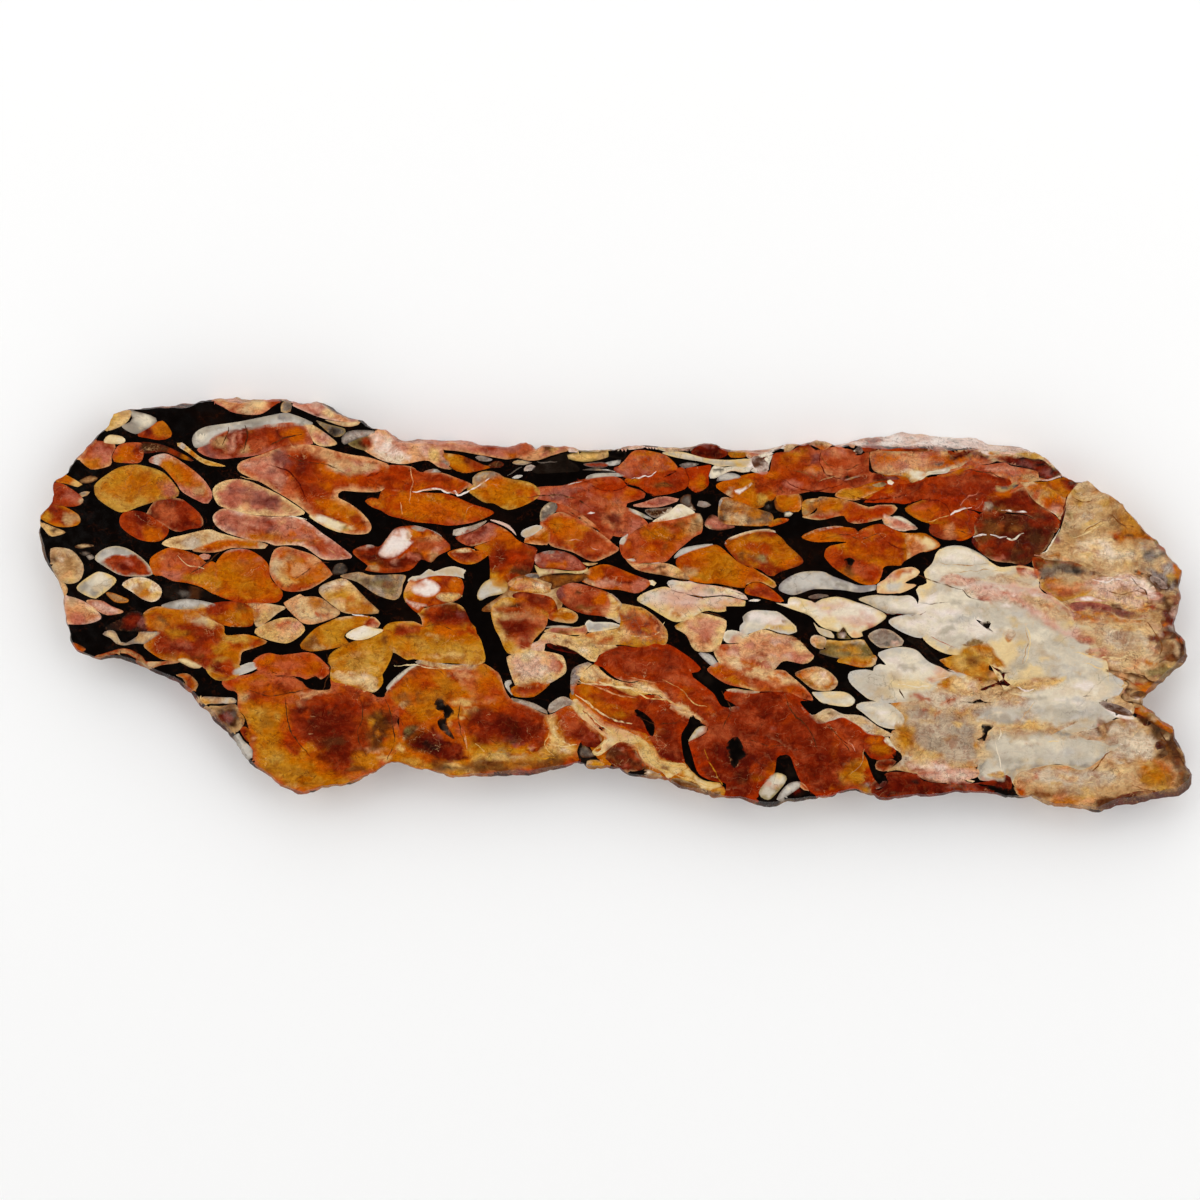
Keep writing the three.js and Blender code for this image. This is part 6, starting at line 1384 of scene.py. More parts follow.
ochre gold wash|-574 -110,34 16,80 8,-20 -68,-90 20|straw 54 6 14 6,amber 20 -14 10 7,
 gold 84 -14 14 8,brown 104 0 5 8
cream straw wash|-570 -140,40 -4,62 -28,-22 -10,-76 26|ivory 44 -14 14 3,tan 76 -30 10 3
blush straw wash|-220 -106,84 6,26 -20,-10 -30,-40 -20,-40 6|peach 74 -18 12 10,cream 34 -8 12 6,
 brown 26 -40 8 3,pink 90 -30 6 8,straw 50 -48 10 5
straw cream wash|-96 -54,46 -2,70 12,-6 -36,-54 -8,-50 8|orange 36 -10 16 4,rust 76 -20 12 4,
 brown 96 -4 8 3,cream 20 -24 10 4
rust orange wash|6 -16,34 2,50 -50,-20 -12,-40 10|brown 28 -18 14 6,gold 50 -42 10 5,straw 10 -8 6,
 maroon 58 -28 8 4
pink cream wash|130 -30,80 0,4 -30,-24 -30,-30 6|rose 50 -30 14 10,peach 26 -10 8 6,
 cream 70 -8 10 4,terracotta 56 -46 8 5
cream peach wash|210 -104,50 -16,110 -34,-20 -16,-60 10,-60 26|orange 100 -46 16 5,
 rust 50 -32 12 4,terracotta 140 -60 10 4,straw 74 -24 10 3
peach rose wash|240 -60,50 4,90 -38,6 -16,-116 -10,-30 14,-16 26|rose 30 -24 14 7,
 blush 80 -16 14 5,terracotta 110 -40 12 5,brick 50 -46 8 4,cream 14 -6 8 4,rose 134 -44 7 5
sand olive wash|880 150,30 30,30 -6,4 -30,-58 -18|moss 22 6 8 4,cream 46 -4 10 3
gold amber wash|580 -240,30 14,24 -24,-8 -36,-30 -18,-20 24|amber 24 -26 12,straw 34 -4 6 5
tan ochre wash|620 -210,90 -10,10 -50,-20 -40,-50 -10,-14 40|cream 30 -16 12 4,bone 70 -40 12 8,
 ochre 40 -74 12 6,rose 84 -80 6 4,straw 50 -94 12 4,tan 24 -44 8 6
blush bone wash|640 56,60 -2,70 -8,70 -26,60 -40,44 -46,-24 -18,-60 30,-70 34,-80 34,-60 20|
 rose 100 -24 12 3,pink 160 -40 16 5,cream 210 -66 14 4,tan 250 -96 12 4,plum 60 -28 10 2,
 bone 130 -52 14 4,pink 36 -16 10 4
bone mist wash|740 -274,40 20,80 2,80 -12,40 -20,-20 -32,-80 -8,-90 -2,-46 22|ivory 80 -6 24 6,
 pearl 160 -22 24 7,straw 120 12 16 3,bone 34 -36 14 5
bone pearl wash|680 -6,60 2,50 -22,30 -40,80 -54,-60 -10,-50 36,-40 44,-50 20|ivory 100 -48 14 8,
 straw 130 -80 10 6,white 50 -14 16 4,cream 176 -108 14 5
maroon soot wash|510 -366,30 16,100 -10,20 -14,-60 -8,-60 -2|maroon 60 2 16 6,brick 100 0 10 3
bone cream wash|710 74,110 -18,30 -20,-30 -8,-100 16,-30 10|ivory 50 -18 16 4,straw 90 -28 12 3,
 blush 80 -12 10 3
sand bone wash|820 26,80 -36,26 -34,-26 -16,-40 20,-60 50|peach 40 -32 16 4,tan 70 -60 14 3,
 cream 20 -18 10 4,plum 66 -42 9 2,straw 84 -72 8 4
bone mist wash|740 -4,50 10,90 -60,60 -26,-20 -20,-60 20,-90 54|pearl 60 -16 14 5,
 ivory 110 -50 12 4,sand 150 -72 12 4,white 40 -4 8 3
blush bone wash|700 32,90 -2,40 -16,-70 -8,-64 18|plum 50 -6 16 3,rose 80 -14 12 3,ivory 70 -8 9 2,
 white 104 -18 7 3
mist sand wash|570 -210,110 0,40 -30,16 -50,-16 -40,-110 20|sand 50 -30 20 5,tan 90 -60 18 5,
 bone 126 -90 16 6,peach 60 -14 14 3,straw 110 -36 12 4,rose 46 -4 10 2,brown 26 -94 8 3
pearl bone wash|700 -206,100 10,40 -8,0 -32,-50 -14,-84 16|ivory 60 -14 18 5,mist 110 -18 14 5
gold straw wash|554 -246,26 6,24 -20,-8 -34,-30 -2|amber 20 -24 10 8,straw 34 -8 6 5
maroon black wash|536 -344,44 4,110 -28,110 -12,-60 -10,-100 0,-90 4|soot 64 -20 16 5,
 brick 34 -12 8 3,brick 174 -34 10 3
"""

# Healed cracks, laid over the patches, and among them a few strips of painted glint where light
# catches open fractures:
# the ivory one that starts at -65.6, 17.2 mm, and the white and ivory ones between 66 and 83 mm
# across and 12 and 19 mm up.
# Each is a colour and a width in hundredths of a mm; then the first point of a line and the step to
# each next one, in tenths of a mm
CRACKS_AND_PAINTED_GLINTS = """
peach 30|-414 270,4 -30,-3 -30,-2 -14
white 50|-410 220,16 2,14 4,16 2,24 -8,16 2,6 -8,12 5,20 8,16 11,16 9
peach 30|-304 178,6 10,10 6
peach 30|-434 200,2 -16,4 -8
tan 30|-754 250,18 -4,16 -4
ivory 40|-656 172,16 -2,20 -4
maroon 50|-500 251,16 5,16 7
peach 30|-580 106,45 -19
slate 30|-220 254,30 16
slate 30|-160 279,40 3
white 30|-530 -25,32 -4
white 50|-60 175,8 2,8 0
ivory 60|-41 143,4 -1
black 45|-100 185,20 -12,18 -13,16 -12,20 -13,11 -5
white 40|28 247,16 2,12 4,12 1,10 8
black 40|94 251,10 5,14 7
umber 30|86 237,14 -2,12 -6
black 40|50 224,10 -7,16 -4,14 -1,20 4,18 5,12 7
maroon 30|136 266,6 -10,3 -12,-4 -14
umber 30|26 134,1 14,4 16
pearl 30|-100 233,16 5,16 3
pearl 30|-36 266,16 -2,16 -3
blush 25|-100 123,16 1,18 -2
blush 25|-52 112,10 -6,10 -2
brown 30|106 27,14 -6,30 -6,16 -6,14 -6
umber 30|102 20,18 -10,10 -8,20 -4,14 -7,10 -9,20 -5,22 -9
brown 25|120 43,24 -1,16 -3,20 -8,20 -2,20 0,20 -3
black 30|228 20,12 -2,14 -6
umber 40|140 157,14 -2,14 -1,4 12
brown 30|350 262,20 -3,20 -9,14 -10
brown 30|406 304,4 -14,10 -14,10 -12
tan 30|404 242,16 4,20 6
black 45|462 204,18 -3,16 -3,18 -2,20 2,20 -1,20 -3
umber 30|296 -53,22 -6,16 -6,16 -3,16 -11,14 -11
maroon 30|534 -24,22 0,24 -2,26 0,12 7
black 35|520 36,-1 -10,1 -8
black 40|504 15,26 0,30 1,26 -1
slate 30|604 0,20 -3,20 0,20 3
umber 40|602 54,12 -7,22 -7,24 -7,20 -5,10 -3
umber 35|690 25,10 -11,10 -7,16 -4
rose 30|620 -66,20 -8,20 -10,14 -8
cream 40|820 -50,5 -16,1 -18,-4 -20,-6 -20
tan 25|818 -50,4 -24,-4 -26,-6 -24
maroon 40|902 216,-3 -16,-3 -18,-6 -18,-6 -15
ivory 35|884 147,-4 -11,-8 -14,-8 -12,-6 -9,-10 -7
white 50|666 175,10 5,14 5,20 2
white 50|768 184,16 -2,20 -2,16 -1
white 45|712 130,12 3,15 1
white 45|746 135,10 -2,10 -3,14 0
ivory 60|780 128,10 -5,8 3,6 7,10 5
pink 30|834 94,10 -1,8 1
rose 30|686 192,8 10,10 10,14 4,10 12
rose 30|716 185,12 9,6 12
straw 30|622 162,18 4,24 8
cream 30|916 -100,14 -1,14 -2
cream 35|956 -114,14 -4,20 2,20 0,14 -2
cream 30|912 128,22 8,20 10,20 10
sand 30|930 142,24 14,16 10
brown 30|934 140,20 13,14 9
black 50|-648 -151,14 -4,12 -4
black 70|-690 -142,10 -2
black 50|-818 -206,22 1,16 1
straw 40|-283 -282,11 -10,10 -10
peach 40|-307 -258,4 -16,3 -20
brown 30|-364 -136,12 -6,8 -10
maroon 40|-446 -224,12 -12,6 -12
umber 30|12 -164,14 -5,16 -3
moss 30|-66 -218,12 -10,10 -10,8 -10
ivory 35|562 -164,18 -3,24 -3,22 3,16 -6
ivory 35|626 -162,8 7,16 3,14 1
umber 30|566 -173,4 -11,6 -8
maroon 30|438 -264,14 -12,14 -14,14 -14
pink 30|460 -276,10 -10,8 -12
ivory 30|766 -252,1 -12,-5 -12
ivory 35|754 -280,5 -16,5 -18,4 -16,4 -10
sand 25|766 -251,24 1,16 12,16 20,14 20
white 45|798 -171,12 -4,14 -2,10 1
ash 30|932 -187,14 -2,12 0
brown 35|950 -340,10 12,14 18,14 12
cream 35|936 -122,20 -6,24 -9
cream 30|860 -278,12 2,12 -1
cream 40|944 -353,6 4,6 -3
cream 40|942 -360,10 -2
white 40|1006 -284,6 -1
umber 35|1026 -144,14 0,14 -6,16 -9
slate 30|974 -209,12 -7,14 -6,16 -4
cream 50|-86 -144,36 -10,40 -12,40 -8,40 -10
peach 40|-80 -160,40 -10,40 -16,40 -4
cream 55|-84 -186,24 -14,20 -16,30 -18,40 -10
peach 45|60 -166,30 -14,20 -20,30 -16,30 -24
cream 40|-60 -230,26 -16,24 -20,-30 -28
straw 70|10 -260,30 -10,20 -20,20 -26,30 -10,30 -4
straw 55|80 -330,40 -16,30 -10,40 -14
peach 35|20 -152,30 -4,30 -8
cream 45|-126 -226,-2 -24,12 -24,26 -16
cream 35|-140 -284,30 -6,30 4
orange 55|-60 -208,40 -30,50 -20,40 -26
rust 50|-70 -216,30 -28,20 -20
peach 30|-200 -84,30 -8,26 12,24 -6
cream 35|-44 -66,44 4,40 -6,40 4,16 24
tan 25|638 80,32 -5,36 -2,40 5
tan 25|660 59,40 1,40 4,40 -6
white 60|950 46,30 -4,30 6,30 -4
brown 35|980 24,30 -8,30 6,30 -12
umber 35|1030 50,10 -16,16 -10,4 -18
umber 40|1060 58,20 -12,16 -16,14 -4
brown 35|996 -6,34 -8,40 4,40 -10
cream 50|920 -100,40 -10,40 -2,30 6
brown 35|1060 -40,16 -20,14 -24,-4 -26
umber 35|1100 -30,16 -20,8 -26,10 -14
brown 35|1000 -146,30 -14,20 -14
umber 45|1086 -260,14 -20,20 -20,14 -26
brown 35|1030 -366,30 -10,30 -8,30 4
brown 35|910 210,20 -10,20 2
brown 35|990 174,20 -18,24 -6
maroon 40|410 310,-4 -30,14 -24,30 -10,40 4
maroon 35|340 240,30 -14,40 -2,40 10
maroon 40|450 220,50 -14,60 4,40 14
maroon 35|576 184,14 16,36 4,34 -10,6 -20
umber 45|700 266,40 -6,36 -14
maroon 35|260 256,30 30,40 14
umber 35|-664 -190,4 -40,14 -40,32 -40
umber 30|-514 -186,6 -38,-10 -42,18 -44
umber 35|-740 -174,40 -12,44 2,40 10
umber 30|-580 -104,4 -36,-12 -36
umber 35|-464 -194,14 -42,6 -44,-16 -36
umber 30|-314 -200,-2 -44,12 -50
gold 40|-310 -296,50 -6,50 4,50 8
straw 35|-140 -224,6 -32,-12 -30,20 -24
gold 35|-180 -294,24 -16,36 -4
cream 30|-446 -128,46 2,40 -8,50 6
gold 30|-450 -64,40 -12,44 2,36 -16,40 -4
umber 30|-446 -46,46 -8,40 8,40 -14
cream 35|-90 -154,34 -10,46 -2,40 -10,40 -20
straw 40|30 -164,30 -26,40 -6,36 -18
straw 35|90 -156,36 -18,30 -30,24 -6
umber 30|46 -230,34 -14,36 4,20 14
umber 35|210 -178,16 -38,-16 -38
umber 35|336 -184,14 -36,36 -36,14 -40
umber 30|406 -236,34 -28,24 -36
umber 35|260 -274,40 -12,46 2
gold 35|210 -366,-20 36,-16 36
tan 30|466 -346,24 22,4 30
umber 40|-790 314,10 22,2 14
umber 35|-746 302,6 28,-4 24
umber 35|-694 314,34 16,30 4
maroon 35|-700 276,40 -14,24 -28,16 -34
umber 30|-666 296,46 -16,40 -4,40 -22
umber 35|-646 44,40 30,30 6
umber 35|-854 56,34 24,26 18
cream 30|-880 94,20 -20,34 -8
umber 35|-180 210,60 4,50 -14,40 -26
maroon 35|-80 246,50 -22,40 4,30 22
umber 30|40 164,40 -34,46 -6
umber 30|420 274,40 -10,40 18
umber 35|406 126,44 10,40 -12,40 20
maroon 40|520 140,30 -26,34 -14
umber 30|630 134,36 12,44 -12
"""


class SlabSizes(bpy.types.PropertyGroup):
    """How finely the slab is cut up and how rough it is broken."""

    front_grain: FloatProperty(
        name="Front grain",
        description="Spacing of the points that carry the pattern on the front face",
        default=0.0006,
        unit="LENGTH",
    )
    back_grain: FloatProperty(
        name="Back grain",
        description="Spacing of the points that carry the pattern on the back face",
        default=0.0011,
        unit="LENGTH",
    )
    outline_step: FloatProperty(
        name="Outline step",
        description="Spacing of the points along the outline of a patch",
        default=0.0007,
        unit="LENGTH",
    )
    chip_depth: FloatProperty(
        name="Chip depth",
        description="How deep the fine chips of the broken rim go",
        default=0.00022,
        unit="LENGTH",
    )
    halo: FloatProperty(
        name="Halo",
        description="Width over which a patch turns from its edge colour to its inner one",
        default=0.0018,
        unit="LENGTH",
    )
    back_drift: FloatProperty(
        name="Back drift",
        description="How far the pattern has wandered by the time it comes out at the back",
        default=0.0032,
        unit="LENGTH",
    )


class SlabFinish(bpy.types.PropertyGroup):
    """How the stone takes the light."""

    polish: FloatProperty(
        name="Polish roughness",
        description="Roughness of the sawn and polished faces",
        default=0.13,
        min=0.0,
        max=1.0,
        subtype="FACTOR",
    )
    broken: FloatProperty(
        name="Broken roughness",
        description="Roughness of the broken rim",
        default=0.62,
        min=0.0,
        max=1.0,
        subtype="FACTOR",
    )
    crack_colour: FloatVectorProperty(
        name="Crack colour",
        description="Colour of the fine dark cracks",
        default=(0.022, 0.008, 0.004),
        subtype="COLOR",
    )
    grit_colour: FloatVectorProperty(
        name="Grit colour",
        description="Colour of the specks in the gritty patches",
        default=(0.07, 0.026, 0.009),
        subtype="COLOR",
    )


class StageSettings(bpy.types.PropertyGroup):
    """The floor, the lights and the camera."""

    floor_colour: FloatVectorProperty(
        name="Floor colour",
        description="Colour of the plain floor",
        default=(0.95, 0.95, 0.95),
        subtype="COLOR",
    )
    side_light: FloatProperty(
        name="Side light",
        description="Power of each of the large soft lights",
        default=3.85,
        unit="POWER",
    )
    camera_height: FloatProperty(
        name="Camera height",
        description="Height of the camera over the front face",
        default=0.4,
        unit="LENGTH",
    )
    lens: FloatProperty(
        name="Lens",
        description="Focal length of the camera",
        default=60.0,
        unit="CAMERA",
    )


def linear_tint(code):
    """The linear colour of a six-figure daylight colour."""
    shown = np.array([int(code[i : i + 2], 16) / 255 for i in (0, 2, 4)])
    return np.where(shown <= 0.04045, shown / 12.92, ((shown + 0.055) / 1.055) ** 2.4)


STONE = {name: linear_tint(code) for name, code in TINTS.items()}


def lattice(cell, seed):
    """A fixed random number from 0 to 1 for each whole-numbered place."""
    mixed = seed * STIR[3]
    for column, factor in zip(cell.T, STIR):
        mixed = mixed ^ column * factor
    mixed = (mixed ^ (mixed >> 13)) * 1274126177 & 0x7FFFFFFF
    mixed = (mixed ^ (mixed >> 11)) * 668265263 & 0x7FFFFFFF
    return ((mixed ^ (mixed >> 15)) & 0xFFFF) / 65535.0


def grain(places, seed):
    """Smooth random values from 0 to 1 at places in the lattice's own units."""
    cell = np.floor(places).astype(np.int64)
    part = places - cell
    part = part * part * (3 - 2 * part)
    total = np.zeros(len(places))
    for dx in (0, 1):
        for dy in (0, 1):
            for dz in (0, 1):
                step = np.array([dx, dy, dz])
                share = np.where(step, part, 1 - part).prod(1)
                total += share * lattice(cell + step, seed)
    return total


def clouds(places, size, seed, octaves=4):
    """Layered random values round 0.5; size is the width of the largest cloud."""
    total = np.zeros(len(places))
    weight = 0.0
    for octave in range(octaves):
        gain = CLOUD_GAIN**octave
        finer = places * (CLOUD_STEP**octave / size) + CLOUD_SHIFT * octave
        total += gain * grain(finer, seed + octave)
        weight += gain
    return total / weight


def deep(plan, depth=0.0):
    """Places on a plane given a third number."""
    return np.column_stack([plan, np.broadcast_to(depth, len(plan))])


def swayed(places, layers):
    """A random shift in the plane at some places, from a layer of clouds for each way."""
    return np.column_stack([clouds(places, *layer) - 0.5 for layer in layers])


def smooth_step(low, high, values):
    """The values taken smoothly to 0 at low and to 1 at high, which may be the smaller one."""
    part = np.clip((values - low) / (high - low), 0, 1)
    return part * part * (3 - 2 * part)


def curve_part(before, here, after, beyond, step):
    """Places about a step apart on the smooth line from here up to after."""
    count = max(1, round(float(np.linalg.norm(after - here)) / step))
    for t in np.arange(count) / count:
        yield 0.5 * (
            2 * here
            + (after - before) * t
            + (2 * before - 5 * here + 4 * after - beyond) * t * t
            + (3 * here - before - 3 * after + beyond) * t**3
        )


def rounded(points, step):
    """A closed smooth line through the points, as places about a step apart."""
    fours = zip(*(np.roll(points, shift, 0) for shift in (1, 0, -1, -2)))
    return np.array([place for four in fours for place in curve_part(*four, step)])


def inside(points, outline):
    """Which points lie inside a closed outline."""
    x, y = points[:, :1], points[:, 1:2]
    ax, ay = outline[:, 0], outline[:, 1]
    bx, by = np.roll(ax, -1), np.roll(ay, -1)
    rise = np.where(by == ay, 1e-12, by - ay)
    crossed = ((ay > y) != (by > y)) & (x < (bx - ax) * (y - ay) / rise + ax)
    return crossed.sum(1) % 2 == 1


def in_blocks(work, points, block=2500):
    """Runs work on the points a block at a time, to keep the arrays small."""
    parts = [work(points[i : i + block]) for i in range(0, len(points), block)]
    return np.concatenate(parts) if parts else np.zeros(0)


def line_distance(points, outline):
    """Distance of each point from a closed outline."""
    start = outline
    run = np.roll(outline, -1, 0) - start
    length = np.maximum((run**2).sum(1), 1e-12)

    def near(some):
        away = some[:, None, :] - start
        along = np.clip((away * run).sum(2) / length, 0, 1)
        return np.sqrt((((away - run * along[..., None]) ** 2).sum(2)).min(1))

    return in_blocks(near, points)


class Patch:
    """One patch of stone, in mm."""

    def __init__(self, core, edge, manner, outline, spots):
        self.core = core
        self.edge = edge
        self.manner = manner
        self.gritty = manner == "crumb"
        self.outline = outline
        self.spots = spots
        self.milky = core in MILKY
        self.dark = core in DARK
        self.plain = self.dark or not spots and np.ptp(outline, axis=0).max() < PLAIN_WIDTH
        spread = outline - outline.mean(0)
        self.along = np.linalg.svd(spread, full_matrices=False)[2][0]


def traced(text):
    """The points of a line in mm, from its first point and the step to each next one."""
    steps = [[float(number) / 10 for number in pair.split()] for pair in text.split(",")]
    return np.cumsum(steps, axis=0)


def read_patches(step):
    """The patches and then the healed cracks and the painted glints, in the order in which they are
    laid down.
    """
    patches = []
    for record in re.split(r"\n(?=\S)", PATCHES.strip()):
        fields = [field.strip() for field in record.split("|")]
        words = fields[0].split()
        names = [word for word in words if word in TINTS]
        manner = "".join(word for word in words if word not in TINTS)
        outline = traced(fields[1])
        spots = []
        for spot in fields[2].split(",") if len(fields) > 2 else []:
            name, *sizes = spot.split()
            x, y, wide, *tall = [float(size) / 10 for size in sizes]
            x, y = outline[0] + (x, y)
            spots.append((name, x, y, wide, tall[0] if tall else wide))
        patches.append(Patch(names[0], names[-1], manner, rounded(outline, step), spots))
    # The second table holds healed cracks and a few painted glints: white and ivory strips where
    # light catches open fractures
    for number, record in enumerate(re.split(r"\n(?=\S)", CRACKS_AND_PAINTED_GLINTS.strip())):
        fields = record.split("|")
        name, width = fields[0].split()
        line = traced(fields[1])
        patches.append(Patch(name, name, "", ribbon(line, float(width) / 100, step, number), []))
        patches[-1].plain = True
    return patches


def ribbon(line, width, step, number):
    """A crack or a painted glint as a thin closed strip along a line, wider and narrower as it
    goes.
    """
    ends = np.vstack([2 * line[0] - line[1], line, 2 * line[-1] - line[-2]])
    fours = zip(ends, ends[1:], ends[2:], ends[3:])
    middle = np.array([*(place for four in fours for place in curve_part(*four, step)), line[-1]])
    way = np.gradient(middle, axis=0)
    way /= np.maximum(np.linalg.norm(way, axis=1, keepdims=True), 1e-9)
    side = np.column_stack([-way[:, 1], way[:, 0]])
    wobble = 0.15 + 1.15 * grain(deep(middle * 1.5, number * 3.7), 31)
    taper = np.sqrt(np.clip(np.sin(np.linspace(0.12, math.pi - 0.12, len(middle))), 0, 1))
    half = (0.5 * width * wobble * taper)[:, None]
    sway = side * (clouds(deep(middle, number * 1.9), *CRACK_AND_GLINT_SWAY)[:, None] - 0.5) * 0.9
    return np.vstack([middle + sway + side * half, (middle + sway - side * half)[::-1]])


def drift(plan, amount):
    """Where the pattern at the back was on its way in from the front."""
    far, fine = swayed(deep(plan, 5.0), BACK_DRIFT), swayed(deep(plan, 9.0), BACK_RIPPLE)
    return plan + 2.6 * amount * far + 0.9 * amount * fine


def drifted(patches, amount):
    """The patches as they come out at the back: moved by a few times the amount, and coarser."""
    back = []
    for patch in patches:
        moved = drift(patch.outline, amount)[::2]
        if len(moved) < 4:
            continue
        dx, dy = moved.mean(0) - patch.outline.mean(0)
        spots = [(name, x + dx, y + dy, wide, tall) for name, x, y, wide, tall in patch.spots]
        back.append(Patch(patch.core, patch.edge, patch.manner, moved, spots))
        back[-1].plain = patch.plain
    return back


def scattered(low, high, spacing, seed, taken):
    """Points of a shaken grid over a box, apart from those beside a place that is taken."""
    grid = []
    for number, y in enumerate(np.arange(low[1], high[1], spacing * ROW_SHARE)):
        x = np.arange(low[0] + (number % 2) * spacing / 2, high[0], spacing)
        grid.append(np.column_stack([x, np.full(len(x), y)]))
    grid = np.vstack(grid)
    random = np.random.default_rng(seed)
    grid = grid + random.uniform(-SHAKE_SHARE, SHAKE_SHARE, grid.shape) * spacing
    taken_cells, cells = (
        [tuple(cell) for cell in np.floor(points / (CELL_SHARE * spacing)).astype(int)]
        for points in (taken, grid)
    )
    taken_cells = set(taken_cells)
    return grid[np.array([cell not in taken_cells for cell in cells])]


def planar_map(rings, outlines, spacing, seed):
    """Triangles that fill the rings, with an edge along every outline; lengths in mm."""
    places, edges = [], []
    for ring in rings:
        first = len(places)
        places.extend(ring)
        edges.extend((first + i, first + (i + 1) % len(ring)) for i in range(len(ring)))
    outer = max(rings, key=lambda ring: np.ptp(ring[:, 0]))
    holes = [ring for ring in rings if ring is not outer]

    def usable(points, margin):
        """Which points lie in the face and no nearer to a ring than the margin."""
        good = in_blocks(lambda some: inside(some, outer), points)
        for ring in rings:
            low, high = ring.min(0) - margin, ring.max(0) + margin
            close = np.flatnonzero(good & (points > low).all(1) & (points < high).all(1))
            if ring is not outer:
                good[close[inside(points[close], ring)]] = False
            good[close[line_distance(points[close], ring) < margin]] = False
        return good

    drawn = np.vstack(outlines)
    kept = usable(drawn, RING_GAP)
    start = 0
    for outline in outlines:
        count = len(outline)
        keep = kept[start : start + count]
        first = len(places)
        index = np.cumsum(keep) - 1 + first
        places.extend(outline[keep])
        for i in range(count):
            j = (i + 1) % count
            if keep[i] and keep[j]:
                edges.append((int(index[i]), int(index[j])))
        start += count
    border = np.vstack(rings)
    grid = scattered(border.min(0), border.max(0), spacing, seed, np.array(places))
    places.extend(grid[usable(grid, GRID_GAP * spacing)])
    made = delaunay_2d_cdt([Vector(place) for place in places], edges, [], 0, 1e-4, False)
    corners = np.array([vector[:] for vector in made[0]])
    faces = np.array([face for face in made[2] if len(face) == 3])
    centres = corners[faces].mean(1)
    good = in_blocks(lambda some: inside(some, outer), centres)
    for hole in holes:
        good &= ~in_blocks(lambda some, hole=hole: inside(some, hole), centres)
    return corners, faces[good]


def patch_tint(patch, plan, reach, halo, number):
    """The colour of one patch at some places inside it; reach is how far inside they are."""
    core, edge = STONE[patch.core], STONE[patch.edge]
    light, dark = (STONE[name] for name in CLOUDS[patch.core])
    if patch.core == patch.edge and not patch.plain and not patch.milky:
        edge = core + EDGE_LIFT * (light - core)
        core = core + CORE_DROP * (dark - core)
    room = max(HALO_LEAST, min(halo, HALO_SHARE * reach.max()))
    fine = clouds(deep(plan, number * 3.1), *HALO_EDGE) - 0.5
    inner = smooth_step(0.0, 1.0, reach / room + 2.2 * fine)
    tint = edge + (core - edge) * inner[:, None]
    across = np.array([-patch.along[1], patch.along[0]])
    sway = swayed(deep(plan, number * 2.3), PATCH_SWAY)
    moved = plan + CLOUD_WANDER * sway
    grained = np.column_stack([moved @ patch.along / CLOUD_STRETCH, moved @ across])
    cloud = clouds(deep(grained, number * 1.7), *PATCH_CLOUDS)
    for goal, (strength, begin, full) in ((light, LIGHT_CLOUDS), (dark, DARK_CLOUDS)):
        tint += (goal - tint) * (strength * inner * smooth_step(begin, full, cloud))[:, None]
    moved = plan + SPOT_WANDER * sway
    ragged = clouds(deep(plan, number * 5.9), *SPOT_EDGE) - 0.5
    for name, x, y, wide, tall in patch.spots:
        away = np.hypot((moved[:, 0] - x) / wide, (moved[:, 1] - y) / tall) + 1.7 * ragged
        share = SPOT_SHARE * smooth_step(1.3, 0.55, away)
        tint += (STONE[name] - tint) * share[:, None]
    return tint


def seam_tint(patch, plan, reach, tint, number):
    """A patch's tint with the thin broken seam that runs round many of them."""
    kind = lattice(np.array([[number, 5, 9]]), 3)[0]
    if patch.plain or kind > SEAM_KINDS[1]:
        return tint
    seam = STONE["cream"] if kind < SEAM_KINDS[0] else STONE["umber"]
    broken = smooth_step(0.42, 0.58, clouds(deep(plan, number * 4.1), *SEAM_BREAKS))
    share = SEAM_SHARE * broken * smooth_step(SEAM_WIDTH, 0.0, reach)
    return tint + (seam - tint) * share[:, None]


def cover(patch, reach, ragged, under, over, ground):
    """How far a patch covers what lies below it, at places that lie reach inside it.

    A patch ends sharply on the dark ground and fades into any other patch below it.
    A wash only recolours stone, and a fill only takes the place of dark ground."""
    if patch.manner == "fill":
        return (ground[:, None] > 0.5).astype(float)
    if patch.manner == "wash":
        fade = min(WASH_FADE, 0.6 * reach.max())
        share = smooth_step(0.0, 1.0, reach / fade + 2.2 * ragged) * (1 - ground)
        return WASH_SHARE * share[:, None]
    if patch.plain:
        fade = np.full(len(reach), SHARP)
    else:
        unlike = np.abs(np.sqrt(under) - np.sqrt(np.maximum(over, 0))).max(1)
        fade = EDGE_FADE + LIKE_FADE * smooth_step(UNLIKE, ALIKE, unlike)
        fade = np.minimum(fade * (1 - ground), 0.5 * reach.max()) + SHARP
    share = smooth_step(0.0, 1.0, reach / fade + 1.5 * ragged * (fade > 0.1))
    share[ground > 0.5] = 1.0
    return share[:, None]


